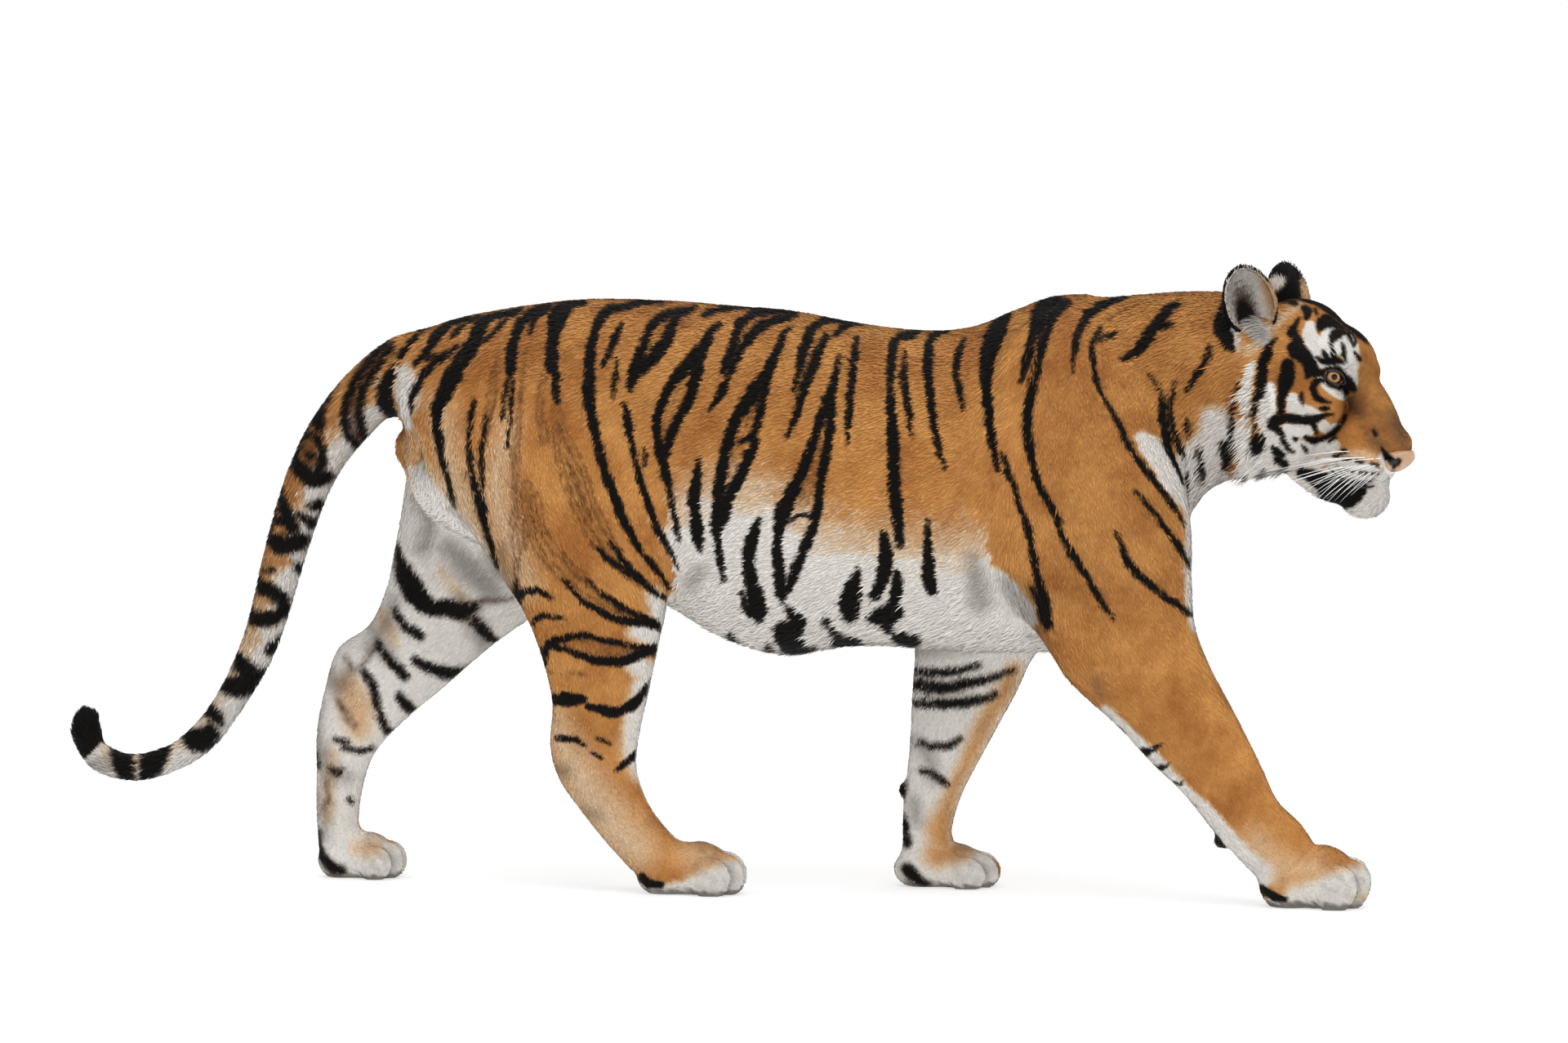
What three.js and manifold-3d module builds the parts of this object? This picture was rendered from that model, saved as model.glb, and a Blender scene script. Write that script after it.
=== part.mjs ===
// A life-size model of an adult male tiger in mid stride, in millimetres.
// +X runs from tail to nose, +Y to the animal's left, +Z up, and the origin lies on the floor under
// the middle of the animal. The paws stand on flats at z = 0.
//
// Trunk, limbs and tail are lofts: rings carried through a few stations. A station says
// where the outline runs on two opposite sides, as seen from the side, and how wide the body is there.
// Head, jaw and paws are blends: egg-shaped lobes that flow into each other, read along rays from a point
// inside. All of this is joined, then parted again into the named pieces of the animal with thin cuts.
import * as THREE from "three";
import { mergeVertices } from "three/addons/utils/BufferGeometryUtils.js";
import Module from "manifold-3d";

const GAP = 0.3; // space left between two neighbouring pieces
const HEAD_TURN = THREE.MathUtils.degToRad(-15); // the head looks a little to the animal's right
const HEAD_PIVOT_X = 840; // the vertical axis at the nape that the head turns about
const SIDES = { right: -1, left: 1 };

const COLOURS = {
  coat: new THREE.MeshStandardMaterial({ color: 0xc07f3e, roughness: 0.9, metalness: 0 }),
  pale: new THREE.MeshStandardMaterial({ color: 0xd9d3c8, roughness: 0.9, metalness: 0 }),
  tip: new THREE.MeshStandardMaterial({ color: 0x1c1714, roughness: 0.9, metalness: 0 }),
  nose: new THREE.MeshStandardMaterial({ color: 0xc89a84, roughness: 0.55, metalness: 0 }),
  eye: new THREE.MeshStandardMaterial({ color: 0xb98a4a, roughness: 0.1, metalness: 0 }),
};

// ---------------------------------------------------------------- stations
// [upper or front x, z, lower or rear x, z, half width, y of the middle]

const TORSO = [
  [-546, 862, -536, 740, 44, 0],
  [-536, 900, -540, 672, 90, 0],
  [-490, 929, -490, 596, 130, 0],
  [-400, 952, -390, 548, 150, 0],
  [-250, 972, -240, 512, 160, 0],
  [-110, 971, -110, 462, 170, 0],
  [0, 963, -15, 408, 184, 0],
  [100, 955, 90, 380, 193, 0],
  [205, 936, 200, 396, 194, 0],
  [310, 924, 310, 394, 188, 0],
  [395, 930, 395, 388, 180, 0],
  [470, 960, 470, 388, 168, 0],
  [545, 982, 545, 390, 156, 0],
  [625, 970, 625, 398, 144, 0],
  [690, 890, 690, 425, 126, 0],
  [728, 780, 728, 470, 96, 0],
  [740, 690, 740, 545, 52, 0],
];

const NECK = [
  [500, 960, 640, 560, 100, 0],
  [590, 978, 700, 588, 120, 0],
  [665, 985, 752, 620, 130, 0],
  [735, 990, 788, 658, 132, 0],
  [800, 990, 832, 674, 130, 0],
  [855, 982, 878, 677, 122, -4],
  [900, 955, 908, 712, 98, -12],
];

const FORE_RIGHT = [
  [590, 935, 500, 940, 26, -84],
  [640, 885, 445, 885, 50, -102],
  [712, 790, 408, 780, 68, -116],
  [754, 690, 404, 670, 78, -123],
  [767, 600, 432, 570, 81, -127],
  [768, 525, 474, 484, 79, -129],
  [774, 450, 518, 425, 73, -131],
  [797, 388, 564, 356, 65, -130],
  [828, 330, 638, 288, 58, -129],
  [856, 277, 692, 230, 53, -127],
  [883, 222, 744, 180, 50, -125],
  [906, 172, 788, 126, 48, -123],
  [942, 135, 830, 78, 48, -121],
  [968, 98, 874, 34, 46, -120],
];

const FORE_LEFT = [
  [570, 930, 460, 935, 26, 84],
  [610, 872, 420, 872, 50, 102],
  [668, 790, 380, 780, 66, 116],
  [700, 690, 345, 680, 77, 123],
  [686, 600, 315, 590, 80, 126],
  [625, 510, 290, 510, 72, 120],
  [550, 440, 284, 440, 62, 112],
  [492, 380, 284, 376, 53, 104],
  [462, 318, 280, 312, 47, 98],
  [432, 262, 278, 256, 43, 94],
  [403, 208, 274, 200, 40, 91],
  [376, 155, 268, 150, 39, 88],
  [360, 105, 266, 98, 41, 86],
  [354, 60, 266, 45, 43, 84],
];

const HIND_RIGHT = [
  [-200, 905, -390, 920, 30, -72],
  [-150, 850, -480, 860, 58, -90],
  [-112, 770, -526, 780, 76, -100],
  [-84, 680, -508, 712, 86, -105],
  [-70, 590, -448, 630, 88, -110],
  [-74, 525, -385, 545, 82, -114],
  [-88, 455, -330, 462, 70, -115],
  [-103, 390, -300, 385, 57, -112],
  [-118, 322, -285, 312, 47, -106],
  [-132, 262, -290, 240, 42, -98],
  [-138, 206, -276, 184, 40, -91],
  [-121, 150, -238, 128, 39, -85],
  [-90, 106, -200, 80, 41, -80],
  [-58, 76, -160, 36, 42, -78],
];

const HIND_LEFT = [
  [-200, 905, -390, 920, 30, 72],
  [-150, 850, -480, 860, 58, 90],
  [-130, 770, -526, 780, 76, 100],
  [-140, 680, -560, 700, 85, 104],
  [-180, 585, -574, 615, 84, 107],
  [-240, 510, -588, 540, 76, 108],
  [-325, 448, -602, 478, 66, 107],
  [-410, 388, -630, 420, 56, 103],
  [-490, 318, -682, 380, 50, 99],
  [-560, 258, -704, 312, 45, 93],
  [-608, 205, -716, 245, 41, 87],
  [-628, 150, -716, 178, 39, 83],
  [-635, 100, -716, 110, 40, 80],
  [-636, 62, -712, 48, 42, 78],
];

const TAIL = [
  [-500, 922, -505, 775, 58, 0],
  [-560, 905, -535, 768, 55, 0],
  [-612, 870, -570, 764, 51, 0],
  [-662, 820, -600, 738, 47, 0],
  [-707, 757, -640, 692, 44, 0],
  [-739, 690, -670, 640, 41, 0],
  [-763, 622, -692, 585, 38, 2],
  [-786, 540, -715, 518, 36, 5],
  [-806, 458, -738, 444, 34, 8],
  [-832, 378, -768, 366, 32, 10],
  [-874, 297, -815, 288, 30, 11],
  [-922, 242, -872, 214, 28, 10],
  [-966, 218, -945, 172, 26, 8],
  [-1012, 211, -1012, 160, 25, 5],
  [-1048, 226, -1076, 180, 25, 3],
  [-1058, 255, -1110, 232, 25, 2],
  [-1074, 282, -1108, 266, 18, 2],
];

// ---------------------------------------------------------------- lobes
// [[x, y, z], [radii], tilt about Y, turn about Z], in radians. One with y above 0 is there on both sides.

const HEAD_LOBES = [
  [[925, 0, 872], [96, 98, 104], 0.35, 0], // back of the skull
  [[992, 0, 874], [74, 74, 62], 0.6, 0], // forehead
  [[954, 70, 862], [56, 42, 58], 0.4, -0.2], // temple
  [[1014, 44, 882], [42, 32, 27], 0.8, -0.3], // brow
  [[1058, 0, 791], [106, 37, 37], 1.13, 0], // bridge of the nose
  [[1040, 0, 744], [70, 57, 54], 0.1, 0], // muzzle
  [[1058, 33, 722], [46, 33, 39], 0.15, 0.1], // whisker pad
  [[1084, 12, 706], [20, 18, 25], 0, 0], // upper lip
  [[966, 66, 806], [64, 44, 58], 0.3, -0.3], // cheekbone
  [[925, 66, 760], [66, 50, 68], 0.1, 0], // jaw muscle
  [[886, 80, 764], [44, 48, 86], 0.3, 0.35], // ruff
  [[940, 0, 738], [84, 78, 50], 0, 0], // floor of the mouth
  [[878, 78, 912], [32, 28, 36], 0, 0], // root of the ear
];
const HEAD_HOLLOWS = [
  [[1048, 70, 838], [34, 20, 36], 0.5, -0.2], // between the eye and the nose
];
const JAW_LOBES = [
  [[985, 0, 680], [84, 52, 38], 0.42, 0],
  [[1036, 0, 659], [40, 39, 37], 0, 0], // chin
];

// ---------------------------------------------------------------- shapes

/** Uniform Catmull-Rom value of column `k` of the stations at `u`, counted in stations. */
function between(stations, k, u) {
  const last = stations.length - 1;
  const i = Math.min(Math.floor(u), last - 1);
  const t = u - i;
  const [p0, p1, p2, p3] = [i - 1, i, i + 1, i + 2].map((j) => stations[THREE.MathUtils.clamp(j, 0, last)][k]);
  return 0.5 * (2 * p1 + (p2 - p0) * t + (2 * p0 - 5 * p1 + 4 * p2 - p3) * t * t + (3 * p1 - p0 - 3 * p2 + p3) * t ** 3);
}

/** |v| to the power `k`, with the sign of v. */
const signedPower = (v, k) => Math.sign(v) * Math.abs(v) ** k;

/**
 * A closed tube through the stations. `egg` widens each ring towards its upper or front side,
 * `square` below 1 fills its corners out, and `grow` moves the whole skin outwards.
 */
function loft(stations, { rings, segments, egg = 0, square = 1, grow = 0 }) {
  const positions = [];
  const last = stations.length - 1;
  const ring = (u, shrink) => {
    const [fx, fz, rx, rz, w, y] = [0, 1, 2, 3, 4, 5].map((k) => between(stations, k, u));
    const half = Math.hypot(fx - rx, fz - rz) / 2;
    const [nx, nz] = [(fx - rx) / 2 / half, (fz - rz) / 2 / half];
    for (let j = 0; j < segments; j++) {
      const angle = (2 * Math.PI * j) / segments;
      const up = signedPower(Math.sin(angle), square) * (half + grow) * shrink;
      const out = signedPower(Math.cos(angle), square) * (w + grow) * (1 + egg * Math.sin(angle)) * shrink;
      positions.push((fx + rx) / 2 + nx * up, y + out, (fz + rz) / 2 + nz * up);
    }
  };
  for (let i = 0; i <= rings; i++) ring((last * i) / rings, 1);
  const index = [];
  for (let i = 0; i < rings; i++)
    for (let j = 0; j < segments; j++) {
      const [a, b] = [i * segments + j, i * segments + ((j + 1) % segments)];
      index.push(a, b, b + segments, a, b + segments, a + segments);
    }
  // A cap is a fan round the middle of the end ring, domed a little along the tube.
  for (const [end, flip] of [[0, false], [rings, true]]) {
    const u = end ? last : 0;
    const inward = end ? last - 0.1 : 0.1;
    const mid = (k, v) => (between(stations, k, v) + between(stations, k + 2, v)) / 2;
    const direction = new THREE.Vector2(mid(0, u) - mid(0, inward), mid(1, u) - mid(1, inward)).normalize();
    const dome = 0.35 * between(stations, 4, u) + grow;
    const pole = positions.length / 3;
    positions.push(mid(0, u) + direction.x * dome, between(stations, 5, u), mid(1, u) + direction.y * dome);
    for (let j = 0; j < segments; j++) {
      const [a, b] = [end * segments + j, end * segments + ((j + 1) % segments)];
      index.push(...(flip ? [a, b, pole] : [b, a, pole]));
    }
  }
  const geometry = new THREE.BufferGeometry();
  geometry.setAttribute("position", new THREE.Float32BufferAttribute(positions, 3));
  geometry.setIndex(index);
  return solid(geometry);
}

/** An ellipsoid at [x, y, z] with three radii, turned about Y and then about Z, in radians. */
function ellipsoid(centre, radii, { segments = 14, tilt = 0, turn = 0, grow = 0 } = {}) {
  const geometry = new THREE.SphereGeometry(1, segments, Math.round(segments * 0.7));
  geometry.rotateX(Math.PI / 2);
  geometry.scale(...radii.map((r) => r + grow));
  geometry.rotateY(tilt);
  geometry.rotateZ(turn);
  geometry.translate(...centre);
  return solid(geometry);
}

/** A closed form that flows round its lobes, seen along rays from `centre`; its poles lie on `axis`. */
function blend({ centre, axis, lobes, hollows = [], soft, rings, segments, grow = 0 }) {
  const bothSides = (list) =>
    list.flatMap(([[x, y, z], radii, tilt, turn]) =>
      (y > 0 ? [1, -1] : [1]).map((s) => {
        const aim = new THREE.Matrix4().makeRotationZ(s * turn).multiply(new THREE.Matrix4().makeRotationY(tilt));
        aim.setPosition(x, s * y, z);
        return { inverse: aim.invert(), radii: new THREE.Vector3(...radii) };
      }),
    );
  const [solids, voids] = [bothSides(lobes), bothSides(hollows)];
  const local = new THREE.Vector3();
  const scaled = new THREE.Vector3();
  // Close to the distance from a point to an ellipsoid, below 0 inside.
  const distance = (point, { inverse, radii }) => {
    local.copy(point).applyMatrix4(inverse).divide(radii);
    const length = local.length();
    return (length * (length - 1)) / Math.max(scaled.copy(local).divide(radii).length(), 1e-9);
  };
  // The smaller of two distances, rounded off where they are closer than `soft`.
  const softMin = (a, b) => Math.min(a, b) - Math.max(soft - Math.abs(a - b), 0) ** 2 / (4 * soft);
  const field = (point) => {
    const body = solids.reduce((sum, lobe) => softMin(sum, distance(point, lobe)), Infinity);
    return voids.reduce((sum, hollow) => -softMin(-sum, distance(point, hollow)), body) - grow;
  };
  const origin = new THREE.Vector3(...centre);
  const pole = new THREE.Vector3(...axis).normalize();
  const turnToPole = new THREE.Quaternion().setFromUnitVectors(new THREE.Vector3(0, 1, 0), pole);
  const geometry = new THREE.SphereGeometry(1, segments, rings);
  const { position } = geometry.attributes;
  const [direction, point] = [new THREE.Vector3(), new THREE.Vector3()];
  const FAR = 300; // further out than any lobe
  const STEP = 4;
  for (let i = 0; i < position.count; i++) {
    direction.fromBufferAttribute(position, i).applyQuaternion(turnToPole).normalize();
    const at = (r) => field(point.copy(direction).multiplyScalar(r).add(origin));
    let outer = FAR;
    while (outer > STEP && at(outer - STEP) > 0) outer -= STEP;
    let inner = outer - STEP;
    for (let k = 0; k < 12; k++) {
      const middle = (inner + outer) / 2;
      if (at(middle) > 0) outer = middle;
      else inner = middle;
    }
    position.setXYZ(i, ...point.copy(direction).multiplyScalar(inner).add(origin).toArray());
  }
  return solid(geometry);
}

// ---------------------------------------------------------------- joining and cutting

const wasm = await Module();
wasm.setup();

/** A closed three.js geometry as a solid that can be joined and cut. */
function solid(geometry) {
  const bare = new THREE.BufferGeometry();
  bare.setAttribute("position", geometry.getAttribute("position"));
  bare.setIndex(geometry.getIndex());
  const merged = mergeVertices(bare, 1e-4);
  const vertProperties = merged.attributes.position.array;
  const corners = merged.index.array;
  const kept = [];
  for (let i = 0; i < corners.length; i += 3) {
    const [a, b, c] = corners.slice(i, i + 3);
    if (a !== b && b !== c && c !== a) kept.push(a, b, c);
  }
  const build = (triangles) =>
    new wasm.Manifold(new wasm.Mesh({ numProp: 3, vertProperties, triVerts: new Uint32Array(triangles) }));
  const made = build(kept);
  if (made.volume() > 0) return made;
  for (let i = 0; i < kept.length; i += 3) [kept[i], kept[i + 1]] = [kept[i + 1], kept[i]];
  return build(kept);
}

const join = (parts) => parts.reduce((sum, part) => sum.add(part));

/** Only the largest closed body of a solid, which drops scraps left by a cut. */
const largest = (shape) => shape.decompose().reduce((a, b) => (a.volume() > b.volume() ? a : b));

/**
 * The two sides of a shape along the plane through points A and B, as seen from the side, with a gap.
 * The first side lies to the left of the way from A to B, when +X points right and +Z up.
 */
function part(shape, [ax, az], [bx, bz]) {
  const length = Math.hypot(bx - ax, bz - az);
  const [nx, nz] = [-(bz - az) / length, (bx - ax) / length];
  const offset = nx * ax + nz * az;
  return [
    shape.trimByPlane([nx, 0, nz], offset + GAP / 2),
    shape.trimByPlane([-nx, 0, -nz], -offset + GAP / 2),
  ];
}

/** Turns a shape of the head about the nape. */
const turned = (shape) =>
  shape.translate([-HEAD_PIVOT_X, 0, 0]).rotate([0, 0, THREE.MathUtils.radToDeg(HEAD_TURN)]).translate([HEAD_PIVOT_X, 0, 0]);

/** A solid as a named mesh. */
function mesh(name, shape, material) {
  const { numProp, vertProperties, triVerts, numVert } = largest(shape).getMesh();
  const positions = new Float32Array(numVert * 3);
  for (let i = 0; i < numVert; i++)
    positions.set(vertProperties.subarray(i * numProp, i * numProp + 3), i * 3);
  const geometry = new THREE.BufferGeometry();
  geometry.setAttribute("position", new THREE.BufferAttribute(positions, 3));
  geometry.setIndex(new THREE.BufferAttribute(triVerts, 1));
  geometry.computeVertexNormals();
  const made = new THREE.Mesh(geometry, material);
  made.name = name;
  return made;
}

// ---------------------------------------------------------------- limbs

// The lobes of a paw, as shares of its length, half width and height.
const PAW_LOBES = [
  [[0.3, 0, 0.4], [0.3, 0.8, 0.54], 0], // heel
  [[0.56, 0, 0.46], [0.34, 0.9, 0.56], 0.12], // ball and instep
  [[0.82, 0.26, 0.4], [0.19, 0.25, 0.46], 0.25], // inner toes
  [[0.74, 0.74, 0.38], [0.18, 0.25, 0.44], 0.25], // outer toes
];

/** A paw with its toes, from its heel at x to its tip, sunk a little below the floor. */
function paw({ heel, y, length, height, half }) {
  const size = [length, half, height];
  const lobes = PAW_LOBES.map(([place, radii, tilt]) => [
    place.map((share, k) => share * size[k] + (k === 0 ? heel : 0)),
    radii.map((share, k) => share * size[k]),
    tilt,
    0,
  ]);
  const centre = [heel + 0.55 * length, 0, 0.4 * height];
  return blend({ centre, axis: [0, 0, 1], lobes, soft: 7, rings: 10, segments: 28 }).translate([0, y, 0]);
}

const PAWS = {
  fore_right: { heel: 868, y: -119, length: 182, height: 100, half: 61 },
  fore_left: { heel: 254, y: 84, length: 178, height: 72, half: 59 },
  hind_right: { heel: -150, y: -78, length: 184, height: 86, half: 54 },
  hind_left: { heel: -711, y: 77, length: 150, height: 76, half: 53 },
};

// The pad behind each wrist, with the dewclaw's swelling beside it.
const WRIST_PADS = {
  fore_right: [
    [[812, -126, 106], [15, 17, 16]],
    [[850, -82, 92], [16, 12, 16]],
  ],
  fore_left: [
    [[270, 88, 160], [19, 17, 19]],
    [[274, 50, 104], [17, 12, 19]],
  ],
};

const LEG_FACETS = { rings: 20, segments: 14, square: 0.95 };

/** One whole leg, from the hip or shoulder to the toes. */
function leg(name, stations) {
  const pads = (WRIST_PADS[name] ?? []).map(([centre, radii]) => ellipsoid(centre, radii, { segments: 8 }));
  return join([loft(stations, LEG_FACETS), paw(PAWS[name]), ...pads]);
}

// ---------------------------------------------------------------- head

const EYE = { x: 1002, y: 58, z: 849, radius: 19 };
const LID = 5; // how far the lids stand out round the eyeball
const LID_SLIT = { wide: 16, high: 10.5, deep: 20, slant: 0.3 }; // half sizes of the opening between the lids
const GAZE = 0.85; // how far the eyes look out to the side from straight ahead, in radians

const mirrored = (build) => Object.values(SIDES).map(build);

/** Skull, cheeks, brows and whisker pads as one form, without eyes, ears and jaw. */
const headForm = (grow) =>
  blend({
    centre: [970, 0, 800],
    axis: [0.93, 0, -0.37],
    lobes: [...HEAD_LOBES, [[EYE.x, EYE.y, EYE.z], Array(3).fill(EYE.radius + LID), 0, 0]],
    hollows: HEAD_HOLLOWS,
    soft: 16,
    rings: 26,
    segments: 32,
    grow,
  });

/** The almond-shaped opening between the lids on one side. */
function lidSlit(s) {
  const { wide, high, deep, slant } = LID_SLIT;
  const almond = ellipsoid([0, 0, 0], [deep, wide, high], { segments: 12 });
  const aim = [0, 0, THREE.MathUtils.radToDeg(s * GAZE)];
  return almond
    .rotate([THREE.MathUtils.radToDeg(-s * slant), 0, 0])
    .translate([EYE.radius, 0, 0])
    .rotate(aim)
    .translate([EYE.x, s * EYE.y, EYE.z]);
}

const NOSE = { centre: [1104, 0, 717], radii: [18, 29, 23] };
const noseForm = (grow) => ellipsoid(NOSE.centre, NOSE.radii, { segments: 12, tilt: 0.35, grow });
const nostrils = mirrored((s) => ellipsoid([1118, s * 17, 714], [13, 7, 6], { segments: 8, turn: s * 0.6 }));

const EAR = { x: 884, y: 97, z: 960 };
const EAR_OUT = 1.15; // how far each cup faces out from straight ahead, in radians

/** One ear: a round cup, open to the front and side, rooted in the skull. */
function ear(s) {
  const shell = ellipsoid([0, 0, 0], [29, 50, 66], { segments: 14 });
  const hollow = ellipsoid([23, 0, 5], [34, 41, 55], { segments: 14 });
  return shell
    .subtract(hollow)
    .rotate([THREE.MathUtils.radToDeg(-s * 0.28), -4, 0])
    .rotate([0, 0, THREE.MathUtils.radToDeg(s * EAR_OUT)])
    .translate([EAR.x, s * EAR.y, EAR.z]);
}

// ---------------------------------------------------------------- the whole animal

const scrotum = ellipsoid([-532, 0, 722], [28, 36, 34], { segments: 10 });

const [tail, tailRootFlesh] = part(loft(TAIL, { rings: 32, segments: 10 }), [-576, 700], [-612, 960]);

const legs = {
  fore_right: leg("fore_right", FORE_RIGHT),
  fore_left: leg("fore_left", FORE_LEFT),
  hind_right: leg("hind_right", HIND_RIGHT),
  hind_left: leg("hind_left", HIND_LEFT),
};

const headSkin = turned(headForm(0));
const flesh = join([
  loft(TORSO, { rings: 26, segments: 24, egg: -0.06, square: 0.9 }),
  loft(NECK, { rings: 9, segments: 20, square: 0.95 }),
  scrotum,
  tailRootFlesh,
  headSkin,
  ...Object.values(legs),
]).trimByPlane([0, 0, 1], 0);

// The outline, as seen from the side, along which each upper limb is parted from the trunk.
// It runs round the top of the limb and closes round everything below it.
const LIMB_OUTLINES = {
  fore_right: [[772, 640], [752, 760], [706, 868], [610, 925], [495, 922], [412, 830], [394, 690], [416, 580], [470, 470], [540, 380], [540, 340], [800, 340], [790, 450]],
  fore_left: [[718, 640], [706, 750], [664, 862], [570, 922], [452, 918], [376, 830], [332, 690], [296, 580], [266, 450], [262, 340], [520, 340], [560, 400], [650, 490]],
  hind_right: [[-64, 570], [-80, 680], [-130, 800], [-205, 885], [-330, 915], [-450, 885], [-530, 800], [-590, 700], [-560, 380], [-330, 350], [-90, 380], [-76, 460]],
  hind_left: [[-110, 640], [-110, 720], [-135, 810], [-205, 885], [-330, 915], [-450, 885], [-530, 800], [-590, 720], [-640, 560], [-640, 380], [-360, 370], [-230, 450], [-150, 540]],
};
// Below these lines, just under the belly, there is nothing but the limbs.
const CLEAR_OUTLINES = {
  fore: [[180, -20], [180, 374], [390, 380], [560, 382], [650, 402], [700, 425], [735, 470], [1100, 470], [1100, -20]],
  hind: [[-780, -20], [-780, 590], [-560, 590], [-490, 578], [-390, 534], [-240, 500], [-110, 448], [-30, 396], [60, 370], [60, -20]],
};
const INNER_Y = { fore: 62, hind: 48 }; // how far the inner face of each upper cut stays from the middle
const OUTER_Y = 320; // outside everything

/** A block with an outline seen from the side, from y = `inner` out to OUTER_Y, on one side. */
function sideBlock(points, inner, side, grow) {
  const [cx, cz] = [0, 1].map((k) => points.reduce((sum, p) => sum + p[k], 0) / points.length);
  const outline = points.map(([x, z]) => {
    const scale = 1 + (grow * 1.5) / Math.hypot(x - cx, z - cz);
    return new THREE.Vector2(cx + (x - cx) * scale, cz + (z - cz) * scale);
  });
  const block = new THREE.ExtrudeGeometry(new THREE.Shape().setFromPoints(outline), {
    depth: OUTER_Y - inner,
    bevelEnabled: false,
  });
  block.rotateX(Math.PI / 2); // the outline's y becomes z, and the depth runs towards -Y
  block.translate(0, side === "right" ? -inner : OUTER_Y, 0);
  return solid(block);
}

/** The space that belongs to one limb, grown by `grow` on every side. */
function limbSpace(name, grow) {
  const [pair, side] = name.split("_");
  const outline = LIMB_OUTLINES[name].map(([x, z]) => new THREE.Vector2(x, z));
  const smooth = new THREE.SplineCurve([...outline, outline[0]]).getPoints(48).slice(0, -1);
  const upper = sideBlock(smooth.map((p) => [p.x, p.y]), INNER_Y[pair] - grow, side, grow);
  return upper.add(sideBlock(CLEAR_OUTLINES[pair], 1 - grow, side, grow));
}

const limbNames = Object.keys(LIMB_OUTLINES);
const trunk = limbNames.reduce((rest, name) => rest.subtract(limbSpace(name, GAP)), flesh);
const limbs = Object.fromEntries(limbNames.map((name) => [name, largest(flesh.intersect(limbSpace(name, 0)))]));

const [torso, neckAndHead] = part(trunk, [798, 500], [668, 1050]);
const [neck, headPiece] = part(neckAndHead, [905, 600], [850, 1080]);

const sockets = mirrored((s) => ellipsoid([EYE.x, s * EYE.y, EYE.z], Array(3).fill(EYE.radius + 2 * GAP), { segments: 12 }));
const headCuts = turned(join([...sockets, ...mirrored(lidSlit), noseForm(GAP), ...nostrils]));
const jawForm = (grow) =>
  blend({ centre: [1010, 0, 672], axis: [1, 0, 0], lobes: JAW_LOBES, soft: 24, rings: 14, segments: 20, grow });

const head = largest(headPiece.subtract(headCuts).subtract(turned(jawForm(GAP))));
const ears = Object.fromEntries(Object.entries(SIDES).map(([side, s]) => [side, turned(ear(s))]));

const earRoots = turned(headForm(GAP)).add(loft(NECK, { rings: 9, segments: 20, square: 0.95, grow: GAP }));

// ---------------------------------------------------------------- the scene graph

const tiger = new THREE.Group();
tiger.add(mesh("torso", torso, COLOURS.coat));
tiger.add(mesh("neck", neck, COLOURS.coat));
tiger.add(mesh("head", head, COLOURS.coat));
tiger.add(mesh("lower_jaw", turned(jawForm(0)).subtract(neck), COLOURS.pale));
tiger.add(mesh("nose", turned(noseForm(0).subtract(join(nostrils))), COLOURS.nose));

for (const [side, s] of Object.entries(SIDES)) {
  const eyeball = ellipsoid([EYE.x, s * EYE.y, EYE.z], Array(3).fill(EYE.radius), { segments: 12 });
  tiger.add(mesh(`eye_${side}`, turned(eyeball), COLOURS.eye));
  tiger.add(mesh(`ear_${side}`, ears[side].subtract(earRoots), COLOURS.pale));
}

const [tailUpper, tailLower] = part(tail, [-900, 480], [-700, 420]);
const [tailEnd, tailMiddle] = part(tailLower, [-1040, 120], [-1040, 320]);
tiger.add(mesh("tail_root", tailUpper, COLOURS.coat));
tiger.add(mesh("tail_middle", tailMiddle, COLOURS.pale));
tiger.add(mesh("tail_tip", tailEnd, COLOURS.tip));

// Where each limb is parted at elbow or knee, and at wrist or hock: two points of each cutting plane.
const LIMB_CUTS = {
  fore_right: { upper: "upper_arm", lower: "forearm", joint: [[500, 330], [880, 450]], wrist: [[800, 60], [980, 180]] },
  fore_left: { upper: "upper_arm", lower: "forearm", joint: [[240, 420], [600, 425]], wrist: [[200, 66], [420, 96]] },
  hind_right: { upper: "thigh", lower: "shank", joint: [[-400, 450], [0, 430]], wrist: [[-240, 46], [-20, 130]] },
  hind_left: { upper: "thigh", lower: "shank", joint: [[-640, 500], [-260, 380]], wrist: [[-760, 66], [-600, 80]] },
};
for (const [name, { upper, lower, joint, wrist }] of Object.entries(LIMB_CUTS)) {
  const [above, below] = part(limbs[name], ...joint);
  const [shin, foot] = part(below, ...wrist);
  tiger.add(mesh(`${name}_${upper}`, above, COLOURS.coat));
  tiger.add(mesh(`${name}_${lower}`, shin, COLOURS.coat));
  tiger.add(mesh(`${name}_paw`, foot, COLOURS.pale));
}

export default tiger;
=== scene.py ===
"""Looks of a life-size adult male tiger in mid stride: skin, coat, face and studio.

+X runs from tail to nose, +Y to the animal's left and +Z up. Every size in this file is in
millimetres and is turned to metres only where points go into a mesh.
"""
import logging
import math
from collections.abc import Callable, Iterator
from dataclasses import dataclass, field, replace
from enum import IntEnum
from functools import partial

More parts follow.
